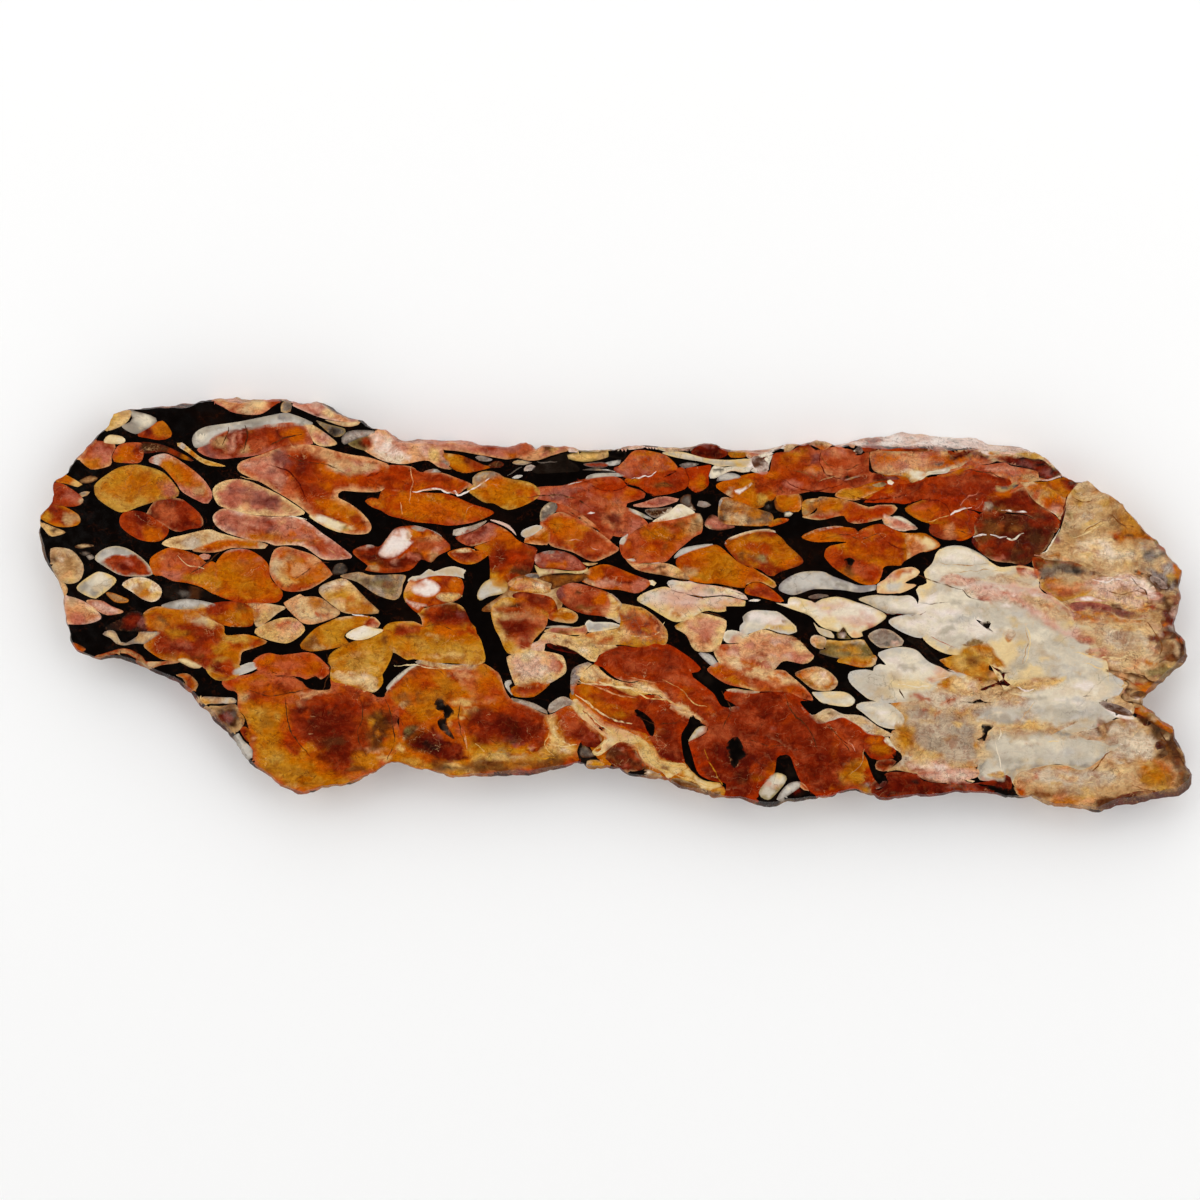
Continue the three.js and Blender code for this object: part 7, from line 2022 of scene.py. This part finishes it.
def paint(centres, corners, patches, halo):
    """Colour and nature of the stone at the three corners of each triangle.

    The nature is how gritty it is, how milky it is, and how far it is dark ground.
    A triangle is in a patch or out of it by its centre, so corners at one place may differ."""
    places, place_of = np.unique(corners.reshape(-1, 2), axis=0, return_inverse=True)
    place_of = place_of.ravel()
    smoke = smooth_step(0.56, 0.72, clouds(deep(places), *GROUND_SMOKE))[place_of]
    tint = STONE["black"] + (STONE["umber"] - STONE["black"]) * (0.05 * smoke)[:, None]
    nature = np.tile([0.0, 0.0, 1.0], (len(place_of), 1))
    for number, patch in enumerate(patches):
        low, high = patch.outline.min(0), patch.outline.max(0)
        near = np.flatnonzero((centres > low).all(1) & (centres < high).all(1))
        if not len(near):
            continue
        within = in_blocks(lambda some, line=patch.outline: inside(some, line), centres[near])
        held = (near[within][:, None] * 3 + np.arange(3)).ravel()
        if not len(held):
            continue
        used, held_of = np.unique(place_of[held], return_inverse=True)
        here, under = places[used], tint[held]
        reach = line_distance(here, patch.outline)
        over = patch_tint(patch, here, reach, halo, number)
        over = seam_tint(patch, here, reach, over, number)[held_of]
        ragged = clouds(deep(here, number * 6.7), *PATCH_EDGE) - 0.5
        share = cover(patch, reach[held_of], ragged[held_of], under, over, nature[held, 2])
        tint[held] = under + (over - under) * share
        if patch.manner != "wash":
            kind = np.array([float(patch.gritty), float(patch.milky), float(patch.dark)])
            nature[held] += (kind - nature[held]) * share
    return tint.reshape(-1, 3, 3), nature.reshape(-1, 3, 3)


def walk_rings(bm, height):
    """The closed rings of open edges at one height, each as a list of places in mm."""
    edges = [
        edge
        for edge in bm.edges
        if edge.is_boundary and all(abs(v.co.z - height) < TOUCH for v in edge.verts)
    ]
    links = {}
    for edge in edges:
        a, b = edge.verts
        links.setdefault(a.index, []).append(b)
        links.setdefault(b.index, []).append(a)
    if any(len(ends) != 2 for ends in links.values()):
        raise RuntimeError("the border of a sawn face isn't made of closed rings")
    bm.verts.ensure_lookup_table()
    unused = set(links)
    rings = []
    while unused:
        first = bm.verts[min(unused)]
        ring, here, before = [], first, None
        while here.index in unused:
            unused.discard(here.index)
            ring.append((here.co.x * MM, here.co.y * MM))
            following = [v for v in links[here.index] if v is not before]
            before, here = here, following[0]
        rings.append(np.array(ring))
    return rings


def broken_rim(node, sizes):
    """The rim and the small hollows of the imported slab, cut finer and chipped."""
    bm = bmesh.new()
    bm.from_mesh(node.data)
    bmesh.ops.remove_doubles(bm, verts=bm.verts, dist=TOUCH)
    top, low = (pick(v.co.z for v in bm.verts) for pick in (max, min))
    sawn = [
        face
        for face in bm.faces
        if any(all(abs(v.co.z - height) < TOUCH for v in face.verts) for height in (top, low))
    ]
    bmesh.ops.delete(bm, geom=sawn, context="FACES")
    bmesh.ops.subdivide_edges(bm, edges=bm.edges[:], cuts=1, use_grid_fill=True)
    bmesh.ops.triangulate(bm, faces=bm.faces[:])
    bm.normal_update()
    places = np.array([v.co[:] for v in bm.verts]) * MM
    layers = (RIM_SWELL, RIM_CHIPS, RIM_SCOOPS)
    swell, chips, scoops = (clouds(places, *layer) - 0.5 for layer in layers)
    scoops = np.maximum(0.12 - np.abs(scoops), 0)
    rise = sizes.chip_depth * (1.7 * swell + 1.3 * chips - 1.6 * scoops * 6)
    for vert, amount in zip(bm.verts, rise):
        way = vert.normal.copy()
        if abs(vert.co.z - top) < TOUCH or abs(vert.co.z - low) < TOUCH:
            way.z = 0.0
            room = RING_ROOM * min(edge.calc_length() for edge in vert.link_edges)
            amount = max(-room, min(room, RING_CALM * amount))
        vert.co += way * float(amount)
    bm.verts.index_update()
    return bm, top, low


def add_sawn_face(bm, rings, patches, height, spacing, seed, up):
    """Fills one sawn face, with edges along the patches that it shows."""
    outlines = [patch.outline - DRAWN_FROM for patch in patches if patch.manner != "wash"]
    corners, faces = planar_map(rings, outlines, spacing, seed)
    flat = bpy.data.meshes.new("sawn face")
    places = np.column_stack([corners / MM, np.full(len(corners), height)])
    turned = faces if up else faces[:, ::-1]
    flat.from_pydata(places.tolist(), [], turned.tolist())
    bm.from_mesh(flat)
    bpy.data.meshes.remove(flat)


def corner_layer(mesh, name, values):
    """A layer of three numbers for each corner of the mesh, as a material can read them."""
    layer = mesh.attributes.new(name, "FLOAT_COLOR", "CORNER")
    flat = np.ones((len(mesh.loops), 4), np.float32)
    flat[:, :3] = values.reshape(-1, 3)
    layer.data.foreach_set("color", flat.ravel())


def rim_stone(plan, places):
    """The colour of the crust along the rim at some places in mm."""
    spots = np.array([zone[:2] for zone in RIM_STONE], float)
    first = np.array([STONE[zone[2]] for zone in RIM_STONE])
    second = np.array([STONE[zone[3]] for zone in RIM_STONE])
    shaken = plan + 9.0 * swayed(places, RIM_SWAY)
    away = ((shaken[:, None, :] - spots) ** 2).sum(2)
    share = np.exp(-away / 60.0) + 1e-12
    share /= share.sum(1, keepdims=True)
    pick = smooth_step(0.42, 0.6, clouds(places, *RIM_SPECKLE))[:, None]
    return share @ first * (1 - pick) + share @ second * pick


def rim_look(corners, top, patches, halo, rings):
    """Colour and nature of the rim, where a broken crust covers more of the pattern with depth."""
    places = corners.reshape(-1, 3)
    plan = places[:, :2] + DRAWN_FROM
    depth = top * MM - places[:, 2:]
    sway = swayed(places, INWARD_SWAY)
    inward = PATTERN_MIDDLE - plan
    inward /= np.linalg.norm(inward, axis=1, keepdims=True)
    pulled = plan + inward * (0.25 + 0.5 * depth) + sway * np.minimum(0.8 * depth, 4.0)
    pulled = pulled.reshape(-1, 3, 2)
    shade, kind = paint(pulled.mean(1), pulled, patches, halo)
    crust = rim_stone(plan, places).reshape(-1, 3, 3)
    crusted = 0.25 + 0.75 * smooth_step(0.36, 0.6, clouds(places, *CRUST_COVER))
    crusted = (crusted * smooth_step(-0.2, 1.4, depth[:, 0])).reshape(-1, 3, 1)
    shade = shade + (crust - shade) * crusted
    ring = max(rings, key=lambda some: np.ptp(some[:, 0])) + DRAWN_FROM
    middle = plan.reshape(-1, 3, 2).mean(1)
    pit = np.flatnonzero(in_blocks(lambda some: inside(some, ring), middle))
    pit = pit[line_distance(middle[pit], ring) > PIT_GAP] if len(pit) else pit
    if len(pit):
        chalk = clouds(corners[pit].reshape(-1, 3), *PIT_CHALK)
        chalk = smooth_step(0.4, 0.62, chalk)[:, None]
        shade[pit] = (STONE["brown"] * (1 - chalk) + STONE["white"] * chalk).reshape(-1, 3, 3)
        kind[pit] = 0.0
    return shade, kind


def colour_stone(mesh, top, low, patches, back_patches, halo, rings):
    """Gives every corner of the slab its colour and its nature, and marks the rim as worn."""
    count = len(mesh.polygons)
    places = np.zeros(len(mesh.vertices) * 3)
    mesh.vertices.foreach_get("co", places)
    index = np.zeros(len(mesh.loops), np.int64)
    mesh.loops.foreach_get("vertex_index", index)
    corners = (places.reshape(-1, 3) * MM)[index].reshape(count, 3, 3)
    front, back = ((np.abs(corners[..., 2] - z * MM) < FACE_GAP).all(1) for z in (top, low))
    rim = ~front & ~back
    tint, nature, worn = np.zeros((3, count, 3, 3))
    for face, pattern in ((front, patches), (back, back_patches)):
        drawn = corners[face][..., :2] + DRAWN_FROM
        tint[face], nature[face] = paint(drawn.mean(1), drawn, pattern, halo)
    tint[rim], nature[rim] = rim_look(corners[rim], top, patches, halo, rings)
    worn[rim] = 1.0
    for name, values in (("stone_tint", tint), ("stone_nature", nature), ("stone_worn", worn)):
        corner_layer(mesh, name, values)
    mesh.polygons.foreach_set("use_smooth", rim)


class NodeBench:
    """Adds nodes to a material and joins them up."""

    def __init__(self, tree):
        self.tree = tree
        self.tree.nodes.clear()

    def add(self, kind, **settings):
        node = self.tree.nodes.new(kind)
        for name, value in settings.items():
            setattr(node, name, value)
        return node

    def feed(self, socket, value):
        """Links a socket to another, or sets it."""
        if isinstance(value, bpy.types.NodeSocket):
            self.tree.links.new(value, socket)
        else:
            socket.default_value = value

    def mapping(self, source, scale, turn=0.0):
        """The source stretched and turned round the upright by some degrees."""
        node = self.add("ShaderNodeMapping")
        self.feed(node.inputs["Vector"], source)
        node.inputs["Scale"].default_value = scale
        node.inputs["Rotation"].default_value = (0.0, 0.0, math.radians(turn))
        return node.outputs["Vector"]

    def noise(self, source, scale, detail=4.0, roughness=0.55, distortion=0.0):
        """A cloudy noise; the scale is in clouds to the mm."""
        node = self.add("ShaderNodeTexNoise")
        self.feed(node.inputs["Vector"], source)
        node.inputs["Scale"].default_value = scale
        node.inputs["Detail"].default_value = detail
        node.inputs["Roughness"].default_value = roughness
        node.inputs["Distortion"].default_value = distortion
        return node

    def cracks(self, source, scale):
        """The distance from the border between cells; the scale is in cells to the mm."""
        node = self.add("ShaderNodeTexVoronoi", feature="DISTANCE_TO_EDGE")
        self.feed(node.inputs["Vector"], source)
        node.inputs["Scale"].default_value = scale
        return node.outputs["Distance"]

    def spread(self, value, source, target=(0.0, 1.0)):
        """The value taken smoothly from one range to another."""
        node = self.add("ShaderNodeMapRange", interpolation_type="SMOOTHSTEP")
        self.feed(node.inputs["Value"], value)
        node.inputs["From Min"].default_value, node.inputs["From Max"].default_value = source
        node.inputs["To Min"].default_value, node.inputs["To Max"].default_value = target
        return node.outputs["Result"]

    def maths(self, operation, a, b=0.0):
        node = self.add("ShaderNodeMath", operation=operation)
        self.feed(node.inputs[0], a)
        self.feed(node.inputs[1], b)
        return node.outputs[0]

    def shift(self, source, amount, noise):
        """The source moved by a colour noise round its middle."""
        centred = self.add("ShaderNodeVectorMath", operation="SUBTRACT")
        self.feed(centred.inputs[0], noise.outputs["Color"])
        centred.inputs[1].default_value = (0.5, 0.5, 0.5)
        scaled = self.add("ShaderNodeVectorMath", operation="SCALE")
        self.feed(scaled.inputs[0], centred.outputs[0])
        scaled.inputs["Scale"].default_value = amount
        summed = self.add("ShaderNodeVectorMath", operation="ADD")
        self.feed(summed.inputs[0], source)
        self.feed(summed.inputs[1], scaled.outputs[0])
        return summed.outputs[0]

    def mix(self, share, first, second, blend="MIX"):
        """The first colour with a share of the second laid over it."""
        node = self.add("ShaderNodeMix", data_type="RGBA", blend_type=blend, clamp_result=True)
        self.feed(node.inputs[0], share)
        for socket, value in ((node.inputs[6], first), (node.inputs[7], second)):
            if isinstance(value, bpy.types.NodeSocket):
                self.tree.links.new(value, socket)
            else:
                socket.default_value = (*value, 1.0)
        return node.outputs[2]

    def blend(self, share, first, second):
        """The first value taken towards the second by a share."""
        node = self.add("ShaderNodeMix", data_type="FLOAT")
        self.feed(node.inputs[0], share)
        self.feed(node.inputs[2], first)
        self.feed(node.inputs[3], second)
        return node.outputs[0]

    def attribute(self, name):
        return self.add("ShaderNodeAttribute", attribute_name=name, attribute_type="GEOMETRY")


class Stone:
    """What the layers of the stone's material are drawn from."""

    def __init__(self, bench):
        here = bench.add("ShaderNodeTexCoord").outputs["Object"]
        self.mm = bench.mapping(here, (MM, MM, MM))
        self.swayed = bench.shift(self.mm, 5.0, bench.noise(self.mm, 0.22, 4.0, 0.6))
        nature = bench.add("ShaderNodeSeparateColor")
        bench.feed(nature.inputs[0], bench.attribute("stone_nature").outputs["Color"])
        self.gritty, self.milky, ground = nature.outputs[:3]
        self.stony = bench.maths("SUBTRACT", 1.0, ground)
        self.worn = bench.attribute("stone_worn").outputs["Fac"]
        self.fine = bench.noise(self.mm, 2.6, 5.0, 0.68).outputs["Fac"]


def cloudy_layer(bench, stone, colour):
    """Soft darker and lighter blotches, weaker on milky stone."""
    blotch = bench.noise(stone.swayed, 0.42, 6.0, 0.62).outputs["Fac"]
    share = bench.spread(blotch, (0.5, 0.64), (0.0, 0.5))
    share = bench.maths("MULTIPLY", share, bench.spread(stone.milky, (0.0, 1.0), (1.0, 0.25)))
    colour = bench.mix(share, colour, BLOTCH_SHADE, "MULTIPLY")
    share = bench.spread(blotch, (0.5, 0.36), (0.0, 0.3))
    colour = bench.mix(share, colour, BLOTCH_LIGHT, "SOFT_LIGHT")

    mottle = bench.noise(stone.swayed, 0.85, 5.0, 0.6, 1.2).outputs["Fac"]
    share = bench.spread(mottle, (0.5, 0.57), (0.0, 0.42))
    share = bench.maths("MULTIPLY", share, bench.spread(stone.milky, (0.0, 1.0), (1.0, 0.2)))
    colour = bench.mix(share, colour, MOTTLE_SHADE, "MULTIPLY")
    share = bench.maths("MULTIPLY", bench.spread(mottle, (0.46, 0.4), (0.0, 0.26)), stone.stony)
    return bench.mix(share, colour, MOTTLE_LIGHT, "SCREEN")


def fibre_layer(bench, stone, colour):
    """The wood's fibres and a fine grain, as lighter and darker stone."""
    fibre = bench.noise(bench.mapping(stone.swayed, (0.28, 1.6, 1.0), 14.0), 1.25, 5.0, 0.62)
    shade = bench.maths(
        "MULTIPLY",
        bench.spread(fibre.outputs["Fac"], (0.37, 0.63), (0.84, 1.12)),
        bench.spread(stone.fine, (0.37, 0.63), (0.94, 1.04)),
    )
    shade = bench.blend(bench.maths("MULTIPLY", stone.milky, 0.7), shade, 1.0)
    shaded = bench.add("ShaderNodeVectorMath", operation="SCALE")
    bench.feed(shaded.inputs[0], colour)
    bench.feed(shaded.inputs["Scale"], shade)
    return shaded.outputs[0]


def line_layer(bench, stone, colour):
    """Hair-fine dark and pale lines that wander through the stone in some places."""
    where = bench.noise(stone.mm, 0.16, 3.0, 0.5).outputs["Fac"]

    def line(stretch, turn, noise, width):
        """Where a stretched and turned noise crosses its middle value."""
        ridge = bench.noise(bench.mapping(stone.swayed, stretch, turn), *noise).outputs["Fac"]
        ridge = bench.maths("ABSOLUTE", bench.maths("SUBTRACT", ridge, 0.5))
        return bench.spread(ridge, (0.0, width), (1.0, 0.0))

    dark = line((0.5, 1.0, 1.0), 20.0, (0.42, 3.0, 0.55), 0.012)
    dark = bench.maths("MULTIPLY", dark, bench.spread(where, (0.47, 0.57), (0.0, 0.62)))
    dark = bench.maths("MULTIPLY", dark, bench.spread(stone.milky, (0.0, 1.0), (1.0, 0.3)))
    colour = bench.mix(dark, colour, DARK_LINE)
    pale = line((0.6, 1.1, 1.0), -35.0, (0.3, 2.5, 0.5), 0.006)
    pale = bench.maths("MULTIPLY", pale, bench.spread(where, (0.5, 0.4), (0.0, 0.36)))
    return bench.mix(bench.maths("MULTIPLY", pale, stone.stony), colour, PALE_LINE)


def crack_share(bench, stone):
    """How far a place is a fine open crack."""
    crackle = bench.cracks(bench.shift(stone.mm, 6.0, bench.noise(stone.mm, 0.3, 4.0, 0.58)), 0.13)
    line = bench.spread(crackle, (0.004, 0.016), (1.0, 0.0))
    patchy = bench.spread(bench.noise(stone.mm, 0.09, 3.0, 0.5).outputs["Fac"], (0.47, 0.6))
    line = bench.maths("MULTIPLY", bench.maths("MULTIPLY", line, patchy), 0.3)
    return bench.maths("MULTIPLY", line, stone.stony)


def grit_share(bench, stone):
    """How far a place is a dark speck of a gritty patch."""
    crumbs = bench.cracks(bench.shift(stone.mm, 1.6, bench.noise(stone.mm, 0.9, 4.0, 0.7)), 0.95)
    thinned = bench.spread(bench.noise(stone.mm, 0.62, 3.0, 0.6).outputs["Fac"], (0.44, 0.56))
    crumbs = bench.maths("MULTIPLY", bench.spread(crumbs, (0.01, 0.05), (1.0, 0.0)), thinned)
    pepper = bench.spread(bench.noise(stone.mm, 1.9, 3.0, 0.7).outputs["Fac"], (0.66, 0.74))
    specks = bench.maths("MULTIPLY", bench.maths("MAXIMUM", crumbs, pepper), stone.gritty)
    return bench.maths("MULTIPLY", specks, 0.62)


def warm_layer(bench, stone, colour):
    """The warm cast of the jaspers, weaker on milky stone."""
    warmth = bench.spread(stone.milky, (0.0, 1.0), (1.0, 0.3))
    colour = bench.mix(warmth, colour, JASPER_WARMTH, "MULTIPLY")
    vivid = bench.add("ShaderNodeHueSaturation")
    bench.feed(vivid.inputs["Color"], colour)
    bench.feed(vivid.inputs["Fac"], warmth)
    vivid.inputs["Saturation"].default_value = 1.02
    return vivid.outputs["Color"]


def crust_layer(bench, stone, colour, sparkle):
    """Dark scurf on the broken rim, and pale points that are partly crystal and partly a painted
    sparkle.
    """
    scurf = bench.noise(stone.mm, 1.1, 6.0, 0.7).outputs["Fac"]
    share = bench.maths("MULTIPLY", bench.spread(scurf, (0.52, 0.66)), stone.worn)
    colour = bench.mix(bench.maths("MULTIPLY", share, 0.5), colour, SCURF)
    # Pale points where the rim is also shinier: partly crystal, partly a painted sparkle
    share = bench.maths("MULTIPLY", bench.spread(sparkle, (0.62, 0.7)), stone.worn)
    return bench.mix(bench.maths("MULTIPLY", share, 0.65), colour, CRYSTAL_AND_PAINTED_SPARKLE)


def stone_roughness(bench, stone, finish, crumb, sparkle):
    """A smeared polish on the sawn faces, and dull stone with brighter points on the rim."""
    smear = bench.noise(stone.mm, 0.5, 4.0, 0.6).outputs["Fac"]
    polish = (0.7 * finish.polish, 1.4 * finish.polish)
    polish = bench.spread(smear, (0.35, 0.65), polish)
    polish = bench.maths("ADD", polish, bench.maths("MULTIPLY", crumb, 0.2))
    broken = bench.spread(sparkle, (0.35, 0.66), (finish.broken, 0.45 * finish.broken))
    return bench.blend(stone.worn, polish, broken)


def stone_relief(bench, stone, sunk):
    """The bump of the craggy rim, of the fine grain and of the cracks and specks."""
    craggy = bench.noise(stone.mm, 0.85, 8.0, 0.72).outputs["Fac"]
    height = bench.maths("MULTIPLY", craggy, stone.worn)
    height = bench.maths("ADD", height, bench.maths("MULTIPLY", stone.fine, 0.006))
    height = bench.maths("ADD", height, bench.maths("MULTIPLY", sunk, -0.03))
    bump = bench.add("ShaderNodeBump")
    bump.inputs["Strength"].default_value = 0.8
    bump.inputs["Distance"].default_value = 0.0011
    bench.feed(bump.inputs["Height"], height)
    return bump.outputs["Normal"]


def stone_material(finish):
    """Polished peanut wood on the sawn faces, dull and crusted on the rim."""
    material = bpy.data.materials.new("peanut wood")
    material.use_nodes = True
    bench = NodeBench(material.node_tree)
    stone = Stone(bench)
    line, crumb = crack_share(bench, stone), grit_share(bench, stone)
    sparkle = bench.noise(stone.mm, 3.2, 4.0, 0.75).outputs["Fac"]
    colour = bench.attribute("stone_tint").outputs["Color"]
    for layer in (cloudy_layer, fibre_layer, line_layer):
        colour = layer(bench, stone, colour)
    colour = bench.mix(line, colour, tuple(finish.crack_colour))
    colour = bench.mix(crumb, colour, tuple(finish.grit_colour))
    colour = crust_layer(bench, stone, warm_layer(bench, stone, colour), sparkle)

    shader = bench.add("ShaderNodeBsdfPrincipled")
    bench.feed(shader.inputs["Base Color"], colour)
    bench.feed(shader.inputs["Roughness"], stone_roughness(bench, stone, finish, crumb, sparkle))
    normal = stone_relief(bench, stone, bench.maths("MAXIMUM", line, crumb))
    bench.feed(shader.inputs["Normal"], normal)
    shader.inputs["IOR"].default_value = 1.5
    out = bench.add("ShaderNodeOutputMaterial")
    bench.feed(out.inputs["Surface"], shader.outputs["BSDF"])
    return material


class SLAB_OT_build_stone(bpy.types.Operator):
    """Builds the slab with its pattern, its broken rim and its small hollows"""

    bl_idname = "slab.build_stone"
    bl_label = "Build the Stone"

    def execute(self, context):
        sizes, finish = context.scene.slab_sizes, context.scene.slab_finish
        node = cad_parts.get(SLAB_NODE)
        if node is None:
            raise RuntimeError("the packed model has no slab to build on")
        patches = read_patches(sizes.outline_step * MM)
        bm, top, low = broken_rim(node, sizes)
        front_rings, back_rings = walk_rings(bm, top), walk_rings(bm, low)
        add_sawn_face(bm, front_rings, patches, top, sizes.front_grain * MM, 3, True)
        back_patches = drifted(patches, sizes.back_drift * MM)
        add_sawn_face(bm, back_rings, back_patches, low, sizes.back_grain * MM, 5, False)
        bmesh.ops.remove_doubles(bm, verts=bm.verts[:], dist=TOUCH)
        mesh = bpy.data.meshes.new("peanut wood slab")
        bm.to_mesh(mesh)
        bm.free()
        colour_stone(mesh, top, low, patches, back_patches, sizes.halo * MM, front_rings)
        mesh.materials.append(stone_material(finish))
        piece = bpy.data.objects.new("peanut_wood_slab_look", mesh)
        context.scene.collection.objects.link(piece)
        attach(piece, "root")
        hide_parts(SLAB_NODE)
        return {"FINISHED"}


def plain_material(name, colour, roughness):
    """A material of one colour with little shine."""
    material = bpy.data.materials.new(name)
    material.use_nodes = True
    shader = material.node_tree.nodes["Principled BSDF"]
    shader.inputs["Base Color"].default_value = (*colour, 1.0)
    shader.inputs["Roughness"].default_value = roughness
    shader.inputs["Specular IOR Level"].default_value = 0.2
    return material


def soft_light(scene, name, place, size, power):
    """A large square light that faces the middle of the slab."""
    data = bpy.data.lights.new(name, "AREA")
    data.shape = "SQUARE"
    data.size = size
    data.energy = power
    lamp = bpy.data.objects.new(name, data)
    lamp.location = place
    lamp.rotation_euler = (-Vector(place)).to_track_quat("-Z", "Y").to_euler()
    scene.collection.objects.link(lamp)
    return lamp


def studio_sky(scene):
    """A soft white surround that darkens overhead, so that the polish shows no glare from above."""
    world = bpy.data.worlds.new("studio")
    world.use_nodes = True
    bench = NodeBench(world.node_tree)
    split = bench.add("ShaderNodeSeparateXYZ")
    bench.feed(split.inputs[0], bench.add("ShaderNodeTexCoord").outputs["Generated"])
    strength = bench.spread(split.outputs["Z"], (0.35, 0.88), (1.0, 0.02))
    glow = bench.add("ShaderNodeBackground")
    glow.inputs["Color"].default_value = (1.0, 0.99, 0.975, 1.0)
    bench.feed(glow.inputs["Strength"], strength)
    out = bench.add("ShaderNodeOutputWorld")
    bench.feed(out.inputs["Surface"], glow.outputs["Background"])
    scene.world = world


class SLAB_OT_build_stage(bpy.types.Operator):
    """Lays the floor, hangs the lights and sets up the camera"""

    bl_idname = "slab.build_stage"
    bl_label = "Build the Stage"

    def execute(self, context):
        scene = context.scene
        stage = scene.slab_stage
        bm = bmesh.new()
        bmesh.ops.create_circle(bm, cap_ends=True, segments=FLOOR_SIDES, radius=FLOOR_REACH)
        mesh = bpy.data.meshes.new("floor")
        bm.to_mesh(mesh)
        bm.free()
        mesh.materials.append(plain_material("plain floor", stage.floor_colour, 0.9))
        floor = bpy.data.objects.new("floor", mesh)
        floor.location.z = -FLOOR_DROP
        scene.collection.objects.link(floor)
        lamps = [
            soft_light(scene, name, place, LAMP_SIZE, stage.side_light * share)
            for name, place, share in LAMPS
        ]
        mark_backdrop(floor, *lamps)
        studio_sky(scene)
        scene.view_settings.view_transform = "Standard"
        scene.view_settings.look = "None"
        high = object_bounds()[1]
        data = bpy.data.cameras.new("camera")
        data.sensor_width = 36.0
        data.lens = stage.lens
        data.clip_start = 0.01
        data.clip_end = 20.0
        data.dof.use_dof = False
        camera = bpy.data.objects.new("camera", data)
        camera.location = (*CAMERA_PLACE, high.z + stage.camera_height)
        scene.collection.objects.link(camera)
        scene.camera = camera
        return {"FINISHED"}


class SLAB_PT_builder(bpy.types.Panel):
    """Lists the steps that build the slab and its stage"""

    bl_idname = "SLAB_PT_builder"
    bl_label = "Peanut Wood Slab"
    bl_space_type = "VIEW_3D"
    bl_region_type = "UI"
    bl_category = "Slab"

    def draw(self, context):
        scene = context.scene
        for group in (scene.slab_sizes, scene.slab_finish, scene.slab_stage):
            box = self.layout.box()
            for name in group.bl_rna.properties.keys():
                if name not in ("rna_type", "name"):
                    box.prop(group, name)
        self.layout.operator(SLAB_OT_build_stone.bl_idname)
        self.layout.operator(SLAB_OT_build_stage.bl_idname)


CLASSES = (
    SlabSizes,
    SlabFinish,
    StageSettings,
    SLAB_OT_build_stone,
    SLAB_OT_build_stage,
    SLAB_PT_builder,
)


def register():
    for cls in CLASSES:
        bpy.utils.register_class(cls)
    bpy.types.Scene.slab_sizes = PointerProperty(type=SlabSizes)
    bpy.types.Scene.slab_finish = PointerProperty(type=SlabFinish)
    bpy.types.Scene.slab_stage = PointerProperty(type=StageSettings)


def unregister():
    del bpy.types.Scene.slab_stage
    del bpy.types.Scene.slab_finish
    del bpy.types.Scene.slab_sizes
    for cls in reversed(CLASSES):
        bpy.utils.unregister_class(cls)


def main():
    """Builds the slab and its stage."""
    register()
    bpy.ops.slab.build_stone()
    bpy.ops.slab.build_stage()


if __name__ == "__main__":
    main()
